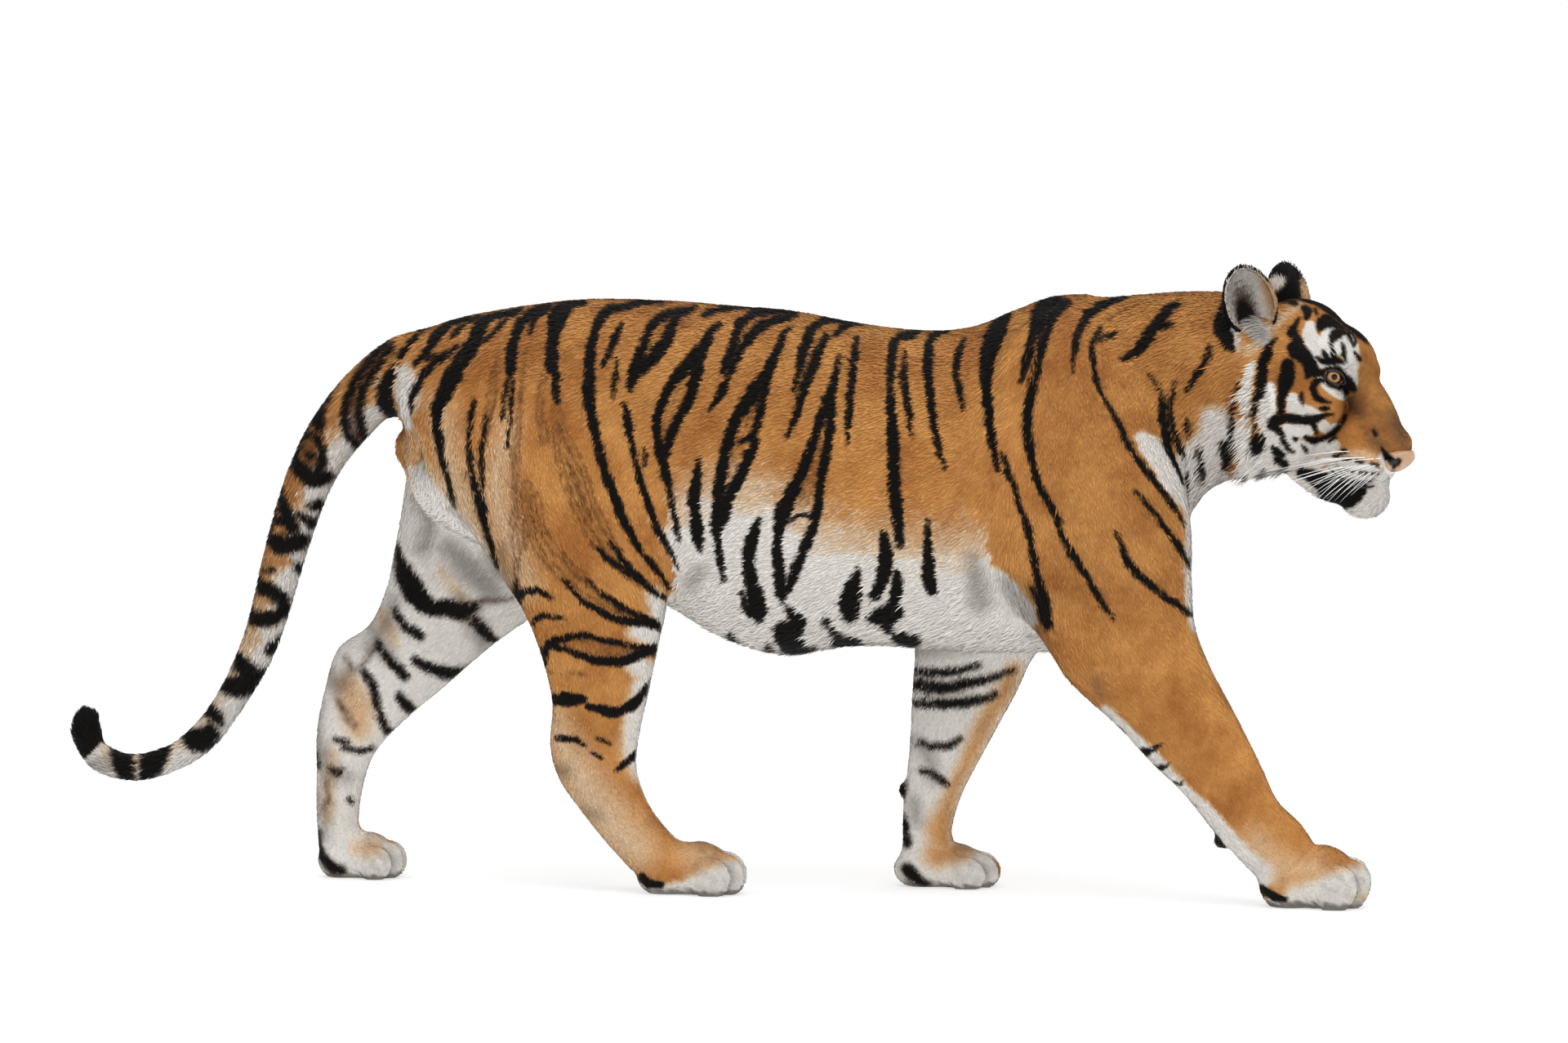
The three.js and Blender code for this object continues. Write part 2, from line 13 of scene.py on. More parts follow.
import bpy
import numpy as np
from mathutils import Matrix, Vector


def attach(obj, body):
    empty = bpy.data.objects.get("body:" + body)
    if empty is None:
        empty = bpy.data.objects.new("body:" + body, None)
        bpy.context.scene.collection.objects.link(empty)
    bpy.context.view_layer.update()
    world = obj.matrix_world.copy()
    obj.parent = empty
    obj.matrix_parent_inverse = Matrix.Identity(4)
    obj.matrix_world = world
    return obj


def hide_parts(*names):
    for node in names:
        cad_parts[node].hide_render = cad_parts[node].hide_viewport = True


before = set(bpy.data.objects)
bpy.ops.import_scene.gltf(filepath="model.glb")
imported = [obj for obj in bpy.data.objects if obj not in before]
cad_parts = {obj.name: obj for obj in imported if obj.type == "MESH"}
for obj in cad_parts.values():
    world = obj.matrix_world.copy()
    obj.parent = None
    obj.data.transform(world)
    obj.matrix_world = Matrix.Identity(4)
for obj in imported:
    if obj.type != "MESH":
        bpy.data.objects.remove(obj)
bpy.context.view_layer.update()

Array = np.ndarray
Rng = np.random.Generator
Place = tuple[float, float, float]
Rows = tuple[tuple[float, ...], ...]
Surface = tuple[Array, Array]  # points and triangles
Shades = tuple[Array, Array]  # colours near the roots and near the tips

MM = 0.001
FAR = 1e6
FLOOR_GAP = 0.4  # height of the lowest point of skin and coat over the floor
CHUNK = 8192  # points handled at a time where each is set against a long table
LOG = logging.getLogger("tiger")

VIEW_LEAN, VIEW_RISE = math.radians(8), math.radians(3.6)  # azimuth and elevation of the side view
HEAD_TURN = math.radians(-15)  # the head looks a little to the animal's right
HEAD_PIVOT_X = 840.0  # the vertical axis at the nape that the head turns about


# ---------------------------------------------------------------- numbers


def smoothstep(low: float, high: float, value: Array) -> Array:
    """Returns 0 below `low`, 1 above `high` and a smooth rise between; `low` may be the larger."""
    t = np.clip((np.asarray(value, float) - low) / (high - low), 0.0, 1.0)
    return t * t * (3.0 - 2.0 * t)


def unit(vectors: Array) -> Array:
    """Returns the vectors at length 1."""
    return vectors / np.maximum(np.linalg.norm(vectors, axis=-1, keepdims=True), 1e-9)


def spline(rows: Array, at: Array) -> Array:
    """Returns the uniform Catmull-Rom value of every column of `rows`.

    Args:
        rows: the rows that the curve passes through.
        at: places along the curve, counted in rows.

    Returns:
        One row for each place.
    """
    last = len(rows) - 1
    first = np.clip(np.floor(at).astype(int), 0, last - 1)
    t = (np.clip(at, 0, last) - first)[:, None]
    a, b, c, d = (rows[np.clip(first + k, 0, last)] for k in (-1, 0, 1, 2))
    bend = (2 * a - 5 * b + 4 * c - d) * t**2 + (3 * b - a - 3 * c + d) * t**3
    return 0.5 * (2 * b + (c - a) * t + bend)


def turn_z(points: Array, angle: float, pivot_x: float = 0.0) -> Array:
    """Returns the points turned by `angle` about the upright axis at (`pivot_x`, 0)."""
    c, s = math.cos(angle), math.sin(angle)
    x, y = points[:, 0] - pivot_x, points[:, 1]
    return np.stack([pivot_x + c * x - s * y, s * x + c * y, points[:, 2]], axis=1)


def to_head(points: Array) -> Array:
    """Returns points of the standing animal in the frame of the unturned head."""
    return turn_z(points, -HEAD_TURN, HEAD_PIVOT_X)


def from_head(points: Array) -> Array:
    """Returns points of the unturned head in the frame of the standing animal."""
    return turn_z(points, HEAD_TURN, HEAD_PIVOT_X)


def mirrored(points: Array) -> Array:
    """Returns the points on the other side of the animal's middle plane."""
    return points * np.array([1.0, -1.0, 1.0])


def wander(points: Array, reach: float, wave: float, seed: int) -> Array:
    """Returns a smooth random number for each point: a sum of sines in random directions.

    Args:
        points: places in space.
        reach: about how large the numbers get.
        wave: typical distance over which they change.
        seed: seed of the random directions.
    """
    rng = np.random.default_rng(seed)
    total = np.zeros(len(points))
    for _ in range(6):
        way = unit(rng.normal(size=(1, 3)))[0] * rng.uniform(0.7, 1.5) * 2 * np.pi / wave
        total += np.sin(points @ way + rng.uniform(0, 2 * np.pi))
    return total * reach / 2.6


# ---------------------------------------------------------------- shapes


def strip_faces(rings: int, segments: int, start: int = 0) -> Array:
    """Returns the quads of `rings` closed rings of `segments` points, as two triangles each."""
    i, j = np.meshgrid(np.arange(rings - 1), np.arange(segments), indexing="ij")
    a = start + i * segments + j
    b = start + i * segments + (j + 1) % segments
    quads = np.stack([a, b, b + segments, a + segments], axis=-1).reshape(-1, 4)
    return np.concatenate([quads[:, [0, 1, 2]], quads[:, [0, 2, 3]]])


def closed_tube(rings: Array, first: Array, last: Array) -> Surface:
    """Returns rings of points joined into a skin that fans to a pole at each end.

    Args:
        rings: points of each ring, as (ring, point, xyz).
        first: the pole before the first ring.
        last: the pole after the last ring.

    Returns:
        Points and triangles.
    """
    count, segments = rings.shape[:2]
    points = np.concatenate([rings.reshape(-1, 3), first[None], last[None]])
    j = np.arange(segments)
    k = (j + 1) % segments
    low, high = count * segments, count * segments + 1
    end = (count - 1) * segments
    start_fan = np.stack([k, j, np.full(segments, low)], axis=1)
    end_fan = np.stack([end + j, end + k, np.full(segments, high)], axis=1)
    return points, outward(points, np.concatenate([strip_faces(count, segments), start_fan, end_fan]))


def outward(points: Array, faces: Array) -> Array:
    """Returns the faces of a closed skin turned so that they point outwards (positive volume)."""
    a, b, c = (points[faces[:, k]] for k in range(3))
    volume = np.einsum("ij,ij->i", a, np.cross(b, c)).sum()
    return faces if volume > 0 else faces[:, ::-1]


def globe_angles(rings: int, segments: int) -> tuple[Array, Array]:
    """Returns the angles from the pole and round it of a globe's points, with its two poles last."""
    theta = np.repeat(np.linspace(0, np.pi, rings + 2)[1:-1], segments)
    phi = np.tile(np.arange(segments) * 2 * np.pi / segments, rings)
    return np.concatenate([theta, [0.0, np.pi]]), np.concatenate([phi, [0.0, 0.0]])


def globe(points: Array, rings: int, segments: int) -> Surface:
    """Returns the points of rings, with the two poles last, joined into a closed skin."""
    return closed_tube(points[:-2].reshape(rings, segments, 3), points[-2], points[-1])


def joined(parts: list[Surface]) -> Surface:
    """Returns several pieces of points and triangles as one."""
    offsets = np.cumsum([0] + [len(points) for points, _ in parts[:-1]])
    faces = np.concatenate([faces + offset for (_, faces), offset in zip(parts, offsets)])
    return np.concatenate([points for points, _ in parts]), faces


def edges_of(faces: Array) -> Array:
    """Returns the edges of a closed skin of triangles, each once."""
    pairs = np.concatenate([faces[:, [0, 1]], faces[:, [1, 2]]])
    return np.unique(np.sort(pairs, axis=1), axis=0)


def laid_flat(ways: Array, normals: Array) -> Array:
    """Returns directions laid flat on a skin with these normals, at length 1."""
    return unit(ways - np.einsum("ij,ij->i", ways, normals)[:, None] * normals)


def vertex_normals(points: Array, faces: Array) -> Array:
    """Returns the area-weighted normal of each point of a triangle mesh."""
    a, b, c = (points[faces[:, k]] for k in range(3))
    normals = np.cross(b - a, c - a)
    total = np.zeros_like(points)
    for axis in range(3):
        for corner in range(3):
            total[:, axis] += np.bincount(faces[:, corner], normals[:, axis], len(points))
    return unit(total)


@dataclass(frozen=True)
class Loft:
    """A closed tube of rings carried through a few stations.

    A station is [upper or front x, z, lower or rear x, z, half width, y of the middle]. Each ring is
    an ellipse between the two outlines, filled out by `square` below 1 and widened towards its
    upper side by `egg`.
    """

    stations: Rows
    egg: float = 0.0
    square: float = 1.0
    samples: int = 240

    def frame_at(self, t: Array) -> tuple[Array, Array, Array, Array, Array]:
        """Returns centre (x, z), direction to the front outline, half height, half width and y."""
        rows = spline(np.array(self.stations, float), t)
        front, rear = rows[:, 0:2], rows[:, 2:4]
        half = np.linalg.norm(front - rear, axis=1) / 2
        return (front + rear) / 2, (front - rear) / (2 * half[:, None]), half, rows[:, 4], rows[:, 5]

    def ring_point(self, t: Array, angle: Array, grow: Array | float = 0.0) -> Array:
        """Returns the point of the skin at station `t` and `angle`, moved outwards by `grow`."""
        centre, aim, half, wide, y = self.frame_at(t)
        power = lambda v: np.sign(v) * np.abs(v) ** self.square
        up = power(np.sin(angle)) * (half + grow)
        out = power(np.cos(angle)) * (wide + grow) * (1 + self.egg * np.sin(angle))
        return np.stack([centre[:, 0] + aim[:, 0] * up, y + out, centre[:, 1] + aim[:, 1] * up], axis=1)

    def surface(self, rings: int, segments: int, grow: float) -> Surface:
        """Returns points and triangles of the whole tube, its ends domed by about a third of their width."""
        last = len(self.stations) - 1
        t = np.repeat(np.linspace(0, last, rings), segments)
        angle = np.tile(np.arange(segments) * 2 * np.pi / segments, rings)
        points = self.ring_point(t, angle, grow).reshape(rings, segments, 3)
        poles = []
        for end, inward in ((0.0, 0.1), (float(last), last - 0.1)):
            centre, _, _, wide, y = self.frame_at(np.array([end, inward]))
            way = unit(centre[0] - centre[1]) * (0.35 * wide[0] + grow)
            poles.append(np.array([centre[0, 0] + way[0], y[0], centre[0, 1] + way[1]]))
        return closed_tube(points, *poles)

    def locate(self, points: Array) -> tuple[Array, Array, Array]:
        """Finds where points lie on the tube.

        Args:
            points: places on or near the tube's skin.

        Returns:
            Station, angle round the ring, and distance from the tube's skin (below 0 inside).
        """
        last = len(self.stations) - 1
        table = np.linspace(0, last, self.samples)
        centre, aim, half, wide, y = self.frame_at(table)
        along = np.gradient(centre, axis=0)
        pace = np.linalg.norm(along, axis=1)
        normal = np.stack([aim[:, 1], -aim[:, 0]], axis=1)
        normal *= np.sign(np.einsum("ij,ij->i", normal, along))[:, None]
        t, angle, gap = (np.empty(len(points)) for _ in range(3))
        for start in range(0, len(points), CHUNK):
            part = slice(start, start + CHUNK)
            flat = points[part][:, [0, 2]]
            x = flat[:, :1] - centre[:, 0]
            z = flat[:, 1:] - centre[:, 1]
            off = x * normal[:, 0] + z * normal[:, 1]
            up = x * aim[:, 0] + z * aim[:, 1]
            best = np.argmin(off**2 + np.maximum(np.abs(up) - half, 0) ** 2, axis=1)
            row = np.arange(len(best))
            step = off[row, best] / pace[best]
            past = off[row, best] - np.clip(step, -1, 1) * pace[best]
            sine = up[row, best] / half[best]
            cosine = (points[part, 1] - y[best]) / wide[best]
            radius = np.hypot(sine, cosine)
            skin = (radius - 1) * np.minimum(half[best], wide[best])
            t[part] = np.clip(table[best] + np.clip(step, -1, 1) * last / (self.samples - 1), 0, last)
            angle[part] = np.arctan2(sine, cosine)
            gap[part] = np.hypot(skin, past) * np.where(np.abs(past) > 4, 1, np.sign(skin))
        return t, angle, gap

    def heading(self, t: Array) -> Array:
        """Returns the direction in which the tube runs on at station `t`."""
        ahead, _, _, _, y1 = self.frame_at(t + 0.15)
        behind, _, _, _, y0 = self.frame_at(t - 0.15)
        return unit(np.stack([ahead[:, 0] - behind[:, 0], y1 - y0, ahead[:, 1] - behind[:, 1]], axis=1))

    def length_at(self, t: Array) -> Array:
        """Returns the distance from the first station to `t` along the middle of the tube."""
        table = np.linspace(0, len(self.stations) - 1, self.samples)
        centre = self.frame_at(table)[0]
        steps = np.linalg.norm(np.diff(centre, axis=0), axis=1)
        return np.interp(t, table, np.concatenate([[0.0], np.cumsum(steps)]))


@dataclass(frozen=True)
class Lobe:
    """An egg-shaped lobe, tilted about Y and turned about Z; off the middle plane it is on both sides."""

    centre: Place
    radii: Place
    tilt: float = 0.0
    turn: float = 0.0

    def distances(self, points: Array, paired: bool = True) -> list[Array]:
        """Returns about how far the points lie outside the lobe and, if paired, outside its twin."""
        found = []
        for side in (1, -1) if paired and self.centre[1] > 0 else (1,):
            ct, st = math.cos(self.tilt), math.sin(self.tilt)
            cz, sz = math.cos(side * self.turn), math.sin(side * self.turn)
            turned = np.array([[cz, -sz, 0], [sz, cz, 0], [0, 0, 1]])
            tilted = np.array([[ct, 0, st], [0, 1, 0], [-st, 0, ct]])
            local = (points - np.array(self.centre) * [1, side, 1]) @ (turned @ tilted) / self.radii
            length = np.linalg.norm(local, axis=1)
            slope = np.linalg.norm(local / self.radii, axis=1)
            found.append(length * (length - 1) / np.maximum(slope, 1e-9))
        return found


def soft_min(a: Array, b: Array, soft: float) -> Array:
    """Returns the smaller of two distances, rounded off where they are closer than `soft`."""
    return np.minimum(a, b) - np.maximum(soft - np.abs(a - b), 0) ** 2 / (4 * soft)


@dataclass(frozen=True)
class LobeForm:
    """A closed form that flows round its lobes and is cut by its hollows, seen along rays from `centre`."""

    centre: Place
    axis: Place
    lobes: tuple[Lobe, ...]
    soft: float
    hollows: tuple[Lobe, ...] = ()
    hollow_soft: float = 6.0
    reach: float = 260.0  # where the walk inwards starts, past the farthest lobe
    walk: int = 46  # steps of that walk

    def distance(self, points: Array) -> Array:
        """Returns about how far the points lie outside the form."""
        body = None
        for lobe in self.lobes:
            for gap in lobe.distances(points):
                body = gap if body is None else soft_min(body, gap, self.soft)
        for hollow in self.hollows:
            for gap in hollow.distances(points):
                body = -soft_min(-body, gap, self.hollow_soft)
        return body

    def surface(self, rings: int, segments: int, grow: float) -> Surface:
        """Returns points and triangles, found by walking inwards along rays from the centre."""
        pole = unit(np.array([self.axis], float))[0]
        side = unit(np.cross([[0.0, 1.0, 0.01]], pole))[0]
        other = np.cross(pole, side)
        theta = np.linspace(0, np.pi, rings + 2)[1:-1, None, None]
        phi = (np.arange(segments) * 2 * np.pi / segments)[None, :, None]
        ways = np.cos(theta) * pole + np.sin(theta) * (np.cos(phi) * side + np.sin(phi) * other)
        ways = np.concatenate([ways.reshape(-1, 3), pole[None], -pole[None]])
        reach = np.full(len(ways), self.reach)
        for _ in range(self.walk):
            reach -= 0.7 * (self.distance(self.centre + ways * reach[:, None]) - grow)
        return globe(self.centre + ways * reach[:, None], rings, segments)

    def pull(self, points: Array, grow: Array | float, rounds: int = 4) -> Array:
        """Returns the points moved on to the form's skin along its slope, grown by `grow`."""
        step = 0.5
        for _ in range(rounds):
            gap = self.distance(points)
            slope = np.stack([self.distance(points + step * axis) - gap for axis in np.eye(3)], axis=1) / step
            size = np.maximum(np.einsum("ij,ij->i", slope, slope), 0.2)
            points = points - slope * ((gap - grow) / size * 0.85)[:, None]
        return points


def ball(centre: Place, radii: Place, rings: int = 14) -> Surface:
    """Returns points and triangles of an ellipsoid with `rings` rings."""
    theta = np.linspace(0, np.pi, rings + 2)[1:-1, None]
    phi = (np.arange(2 * rings) * np.pi / rings)[None, :]
    x, y = np.sin(theta) * np.cos(phi), np.sin(theta) * np.sin(phi)
    shell = np.stack([x, y, np.cos(theta) + 0 * phi], axis=-1)
    top = np.array([0.0, 0.0, radii[2]])
    return closed_tube(shell * radii + centre, top + centre, centre - top)


# ---------------------------------------------------------------- meshes in Blender


def make_object(
    name: str, points: Array, faces: Array, finish: bpy.types.Material | None = None
) -> bpy.types.Object:
    """Puts points in millimetres and triangles into a new smooth mesh object at the origin.

    Args:
        name: name of the object and its mesh.
        points: places of the vertices.
        faces: three vertex numbers for each triangle.
        finish: material of the whole piece.

    Returns:
        The object, linked to the scene.
    """
    mesh = bpy.data.meshes.new(name)
    mesh.vertices.add(len(points))
    mesh.loops.add(faces.size)
    mesh.polygons.add(len(faces))
    mesh.vertices.foreach_set("co", (points * MM).astype(np.float32).ravel())
    mesh.loops.foreach_set("vertex_index", faces.astype(np.int32).ravel())
    mesh.polygons.foreach_set("loop_start", np.arange(0, faces.size, 3, dtype=np.int32))
    mesh.update(calc_edges=True)
    mesh.shade_smooth()
    if finish:
        mesh.materials.append(finish)
    made = bpy.data.objects.new(name, mesh)
    bpy.context.scene.collection.objects.link(made)
    return made


def mesh_arrays(mesh: bpy.types.Mesh) -> Surface:
    """Returns a mesh's vertices in millimetres and its triangles."""
    points = np.empty(len(mesh.vertices) * 3, np.float32)
    mesh.vertices.foreach_get("co", points)
    mesh.calc_loop_triangles()
    faces = np.empty(len(mesh.loop_triangles) * 3, np.int32)
    mesh.loop_triangles.foreach_get("vertices", faces)
    return points.reshape(-1, 3).astype(float) / MM, faces.reshape(-1, 3)


def reworked(points: Array, faces: Array, weights: Array | None, kind: str, **settings: object) -> Surface:
    """Runs one modifier over a mesh and returns the result.

    Args:
        points: vertices in millimetres.
        faces: triangles.
        weights: weight of each vertex in the modifier's vertex group, if it reads one.
        kind: type of the modifier.
        settings: its settings.

    Returns:
        Points and triangles of the changed mesh.
    """
    made = make_object("work", points, faces)
    if weights is not None:
        group = made.vertex_groups.new(name="where")
        level = np.round(weights, 1)
        for value in np.unique(level):
            group.add(np.flatnonzero(level == value).tolist(), float(value), "REPLACE")
        settings["vertex_group"] = "where"
    modifier = made.modifiers.new(kind.title(), kind)
    for key, value in settings.items():
        setattr(modifier, key, value)
    result = made.evaluated_get(bpy.context.evaluated_depsgraph_get()).to_mesh()
    found = mesh_arrays(result)
    mesh = made.data
    bpy.data.objects.remove(made)
    bpy.data.meshes.remove(mesh)
    return found


def set_attribute(mesh: bpy.types.Mesh, name: str, kind: str, values: Array) -> None:
    """Stores one value for each vertex in the mesh, under `name`, as FLOAT, FLOAT_VECTOR or FLOAT_COLOR."""
    layer = mesh.attributes.new(name, kind, "POINT")
    member = {"FLOAT": "value", "FLOAT_VECTOR": "vector", "FLOAT_COLOR": "color"}[kind]
    layer.data.foreach_set(member, values.astype(np.float32).ravel())


# ---------------------------------------------------------------- the body's measures

TORSO = Loft(
    (
        (-546, 862, -536, 740, 44, 0),
        (-536, 900, -540, 672, 90, 0),
        (-490, 929, -490, 596, 130, 0),
        (-400, 952, -390, 548, 150, 0),
        (-250, 972, -240, 512, 160, 0),
        (-110, 971, -110, 462, 170, 0),
        (0, 963, -15, 408, 184, 0),
        (100, 955, 90, 380, 193, 0),
        (205, 936, 200, 396, 194, 0),
        (310, 924, 310, 394, 188, 0),
        (395, 930, 395, 388, 180, 0),
        (470, 960, 470, 388, 168, 0),
        (545, 982, 545, 390, 156, 0),
        (625, 970, 625, 398, 144, 0),
        (690, 890, 690, 425, 126, 0),
        (728, 780, 728, 470, 96, 0),
        (740, 690, 740, 545, 52, 0),
    ),
    egg=-0.06,
    square=0.9,
)
NECK = Loft(
    (
        (500, 960, 640, 560, 100, 0),
        (590, 978, 700, 588, 120, 0),
        (665, 985, 752, 620, 130, 0),
        (735, 990, 788, 658, 132, 0),
        (800, 990, 832, 674, 130, 0),
        (855, 982, 878, 677, 122, -4),
        (900, 955, 908, 712, 98, -12),
    ),
    square=0.95,
)
TAIL = Loft(
    (
        (-500, 922, -505, 775, 58, 0),
        (-560, 905, -535, 768, 55, 0),
        (-612, 870, -570, 764, 51, 0),
        (-662, 820, -600, 738, 47, 0),
        (-707, 757, -640, 692, 44, 0),
        (-739, 690, -670, 640, 41, 0),
        (-763, 622, -692, 585, 38, 2),
        (-786, 540, -715, 518, 36, 5),
        (-806, 458, -738, 444, 34, 8),
        (-832, 378, -768, 366, 32, 10),
        (-874, 297, -815, 288, 30, 11),
        (-922, 242, -872, 214, 28, 10),
        (-966, 218, -945, 172, 26, 8),
        (-1012, 211, -1012, 160, 25, 5),
        (-1048, 226, -1076, 180, 25, 3),
        (-1058, 255, -1110, 232, 25, 2),
        (-1074, 282, -1108, 266, 18, 2),
    )
)
FORE_RIGHT = Loft(
    (
        (590, 935, 500, 940, 26, -84),
        (640, 885, 445, 885, 50, -102),
        (712, 790, 408, 780, 68, -116),
        (754, 690, 404, 670, 78, -123),
        (767, 600, 432, 570, 81, -127),
        (768, 525, 474, 484, 79, -129),
        (774, 450, 518, 425, 73, -131),
        (797, 388, 564, 356, 65, -130),
        (828, 330, 638, 288, 58, -129),
        (856, 277, 692, 230, 53, -127),
        (883, 222, 744, 180, 50, -125),
        (906, 172, 788, 126, 48, -123),
        (942, 135, 830, 78, 48, -121),
        (968, 98, 874, 34, 46, -120),
    ),
    square=0.95,
)
FORE_LEFT = Loft(
    (
        (570, 930, 460, 935, 26, 84),
        (610, 872, 420, 872, 50, 102),
        (668, 790, 380, 780, 66, 116),
        (700, 690, 345, 680, 77, 123),
        (686, 600, 315, 590, 80, 126),
        (625, 510, 290, 510, 72, 120),
        (550, 440, 284, 440, 62, 112),
        (492, 380, 284, 376, 53, 104),
        (462, 318, 280, 312, 47, 98),
        (432, 262, 278, 256, 43, 94),
        (403, 208, 274, 200, 40, 91),
        (376, 155, 268, 150, 39, 88),
        (360, 105, 266, 98, 41, 86),
        (354, 60, 266, 45, 43, 84),
    ),
    square=0.95,
)
HIND_RIGHT = Loft(
    (
        (-200, 905, -390, 920, 30, -72),
        (-150, 850, -480, 860, 58, -90),
        (-112, 770, -526, 780, 76, -100),
        (-84, 680, -508, 712, 86, -105),
        (-70, 590, -448, 630, 88, -110),
        (-74, 525, -385, 545, 82, -114),
        (-88, 455, -330, 462, 70, -115),
        (-103, 390, -300, 385, 57, -112),
        (-118, 322, -285, 312, 47, -106),
        (-132, 262, -290, 240, 42, -98),
        (-138, 206, -276, 184, 40, -91),
        (-121, 150, -238, 128, 39, -85),
        (-90, 106, -200, 80, 41, -80),
        (-58, 76, -160, 36, 42, -78),
    ),
    square=0.95,
)
HIND_LEFT = Loft(
    (
        (-200, 905, -390, 920, 30, 72),
        (-150, 850, -480, 860, 58, 90),
        (-130, 770, -526, 780, 76, 100),
        (-140, 680, -560, 700, 85, 104),
        (-180, 585, -574, 615, 84, 107),
        (-240, 510, -588, 540, 76, 108),
        (-325, 448, -602, 478, 66, 107),
        (-410, 388, -630, 420, 56, 103),
        (-490, 318, -682, 380, 50, 99),
        (-560, 258, -704, 312, 45, 93),
        (-608, 205, -716, 245, 41, 87),
        (-628, 150, -716, 178, 39, 83),
        (-635, 100, -716, 110, 40, 80),
        (-636, 62, -712, 48, 42, 78),
    ),
    square=0.95,
)

EYE_CENTRE = np.array([1002.0, 58.0, 849.0])
EYE_RADIUS = 19.0
GAZE = 0.85  # how far the eyes look out to the side from straight ahead, in radians
SLIT_SLANT = 0.3  # how far the outer corner of the lids stands above the inner one, in radians
SLIT_HALF = (18.0, 10.5)  # half width and half height of the opening between the lids


SKULL_LOBES = (
    Lobe((925, 0, 872), (96, 98, 104), 0.35),  # back of the skull
    Lobe((992, 0, 874), (74, 74, 62), 0.6),  # forehead
    Lobe((954, 70, 862), (56, 42, 58), 0.4, -0.2),  # temple
    Lobe((1014, 44, 882), (42, 32, 27), 0.8, -0.3),  # brow
    Lobe((1058, 0, 791), (106, 37, 37), 1.13),  # bridge of the nose
    Lobe((1040, 0, 744), (70, 57, 54), 0.1),  # muzzle
    Lobe((1058, 33, 722), (46, 33, 39), 0.15, 0.1),  # whisker pad
    Lobe((1084, 12, 706), (20, 18, 25)),  # upper lip
    Lobe((966, 66, 806), (64, 44, 58), 0.3, -0.3),  # cheekbone
    Lobe((925, 66, 760), (66, 50, 68), 0.1),  # jaw muscle
    Lobe((886, 80, 764), (44, 48, 86), 0.3, 0.35),  # ruff
    Lobe((940, 0, 738), (84, 78, 50)),  # floor of the mouth
    Lobe((878, 78, 912), (32, 28, 36)),  # root of the ear
    Lobe(tuple(EYE_CENTRE), (23, 23, 23)),  # lids
)
JAW_LOBES = (
    Lobe((985, 0, 680), (84, 52, 38), 0.42),
    Lobe((1036, 0, 659), (40, 39, 37)),  # chin
)
HEAD_HOLLOWS = (Lobe((1048, 70, 838), (34, 20, 36), 0.5, -0.2),)  # between the eye and the nose
SKULL = LobeForm((970, 0, 800), (0.93, 0, -0.37), SKULL_LOBES, 16, HEAD_HOLLOWS, 16)
JAW = LobeForm((1010, 0, 672), (1, 0, 0), JAW_LOBES, 24)


class Side(IntEnum):
    """The animal's sides, with the sign of Y there."""

    RIGHT = -1
    LEFT = 1


@dataclass(frozen=True)
class Paw:
    """A paw from its heel at x to its tip, sunk a little below the floor."""

    heel: float
    y: float
    length: float
    height: float
    half: float

    def form(self) -> LobeForm:
        """Returns heel, ball, instep and four toes as one form round the paw's own middle plane."""
        size = np.array([self.length, self.half, self.height])
        shares = (
            ((0.3, 0, 0.4), (0.3, 0.8, 0.54), 0.0),  # heel
            ((0.56, 0, 0.46), (0.34, 0.9, 0.56), 0.12),  # ball and instep
            ((0.8, 0.26, 0.36), (0.21, 0.24, 0.46), 0.25),  # inner toes
            ((0.71, 0.75, 0.34), (0.2, 0.24, 0.42), 0.25),  # outer toes
        )
        lobes = tuple(
            Lobe(tuple(np.array(place) * size + [self.heel, 0, 0]), tuple(np.array(radii) * size), tilt)
            for place, radii, tilt in shares
        )
        return LobeForm((self.heel + 0.55 * self.length, 0, 0.4 * self.height), (0, 0, 1), lobes, 5.5)

    def local(self, points: Array) -> Array:
        """Returns the points as seen from the paw's middle plane."""
        return points - [0, self.y, 0]


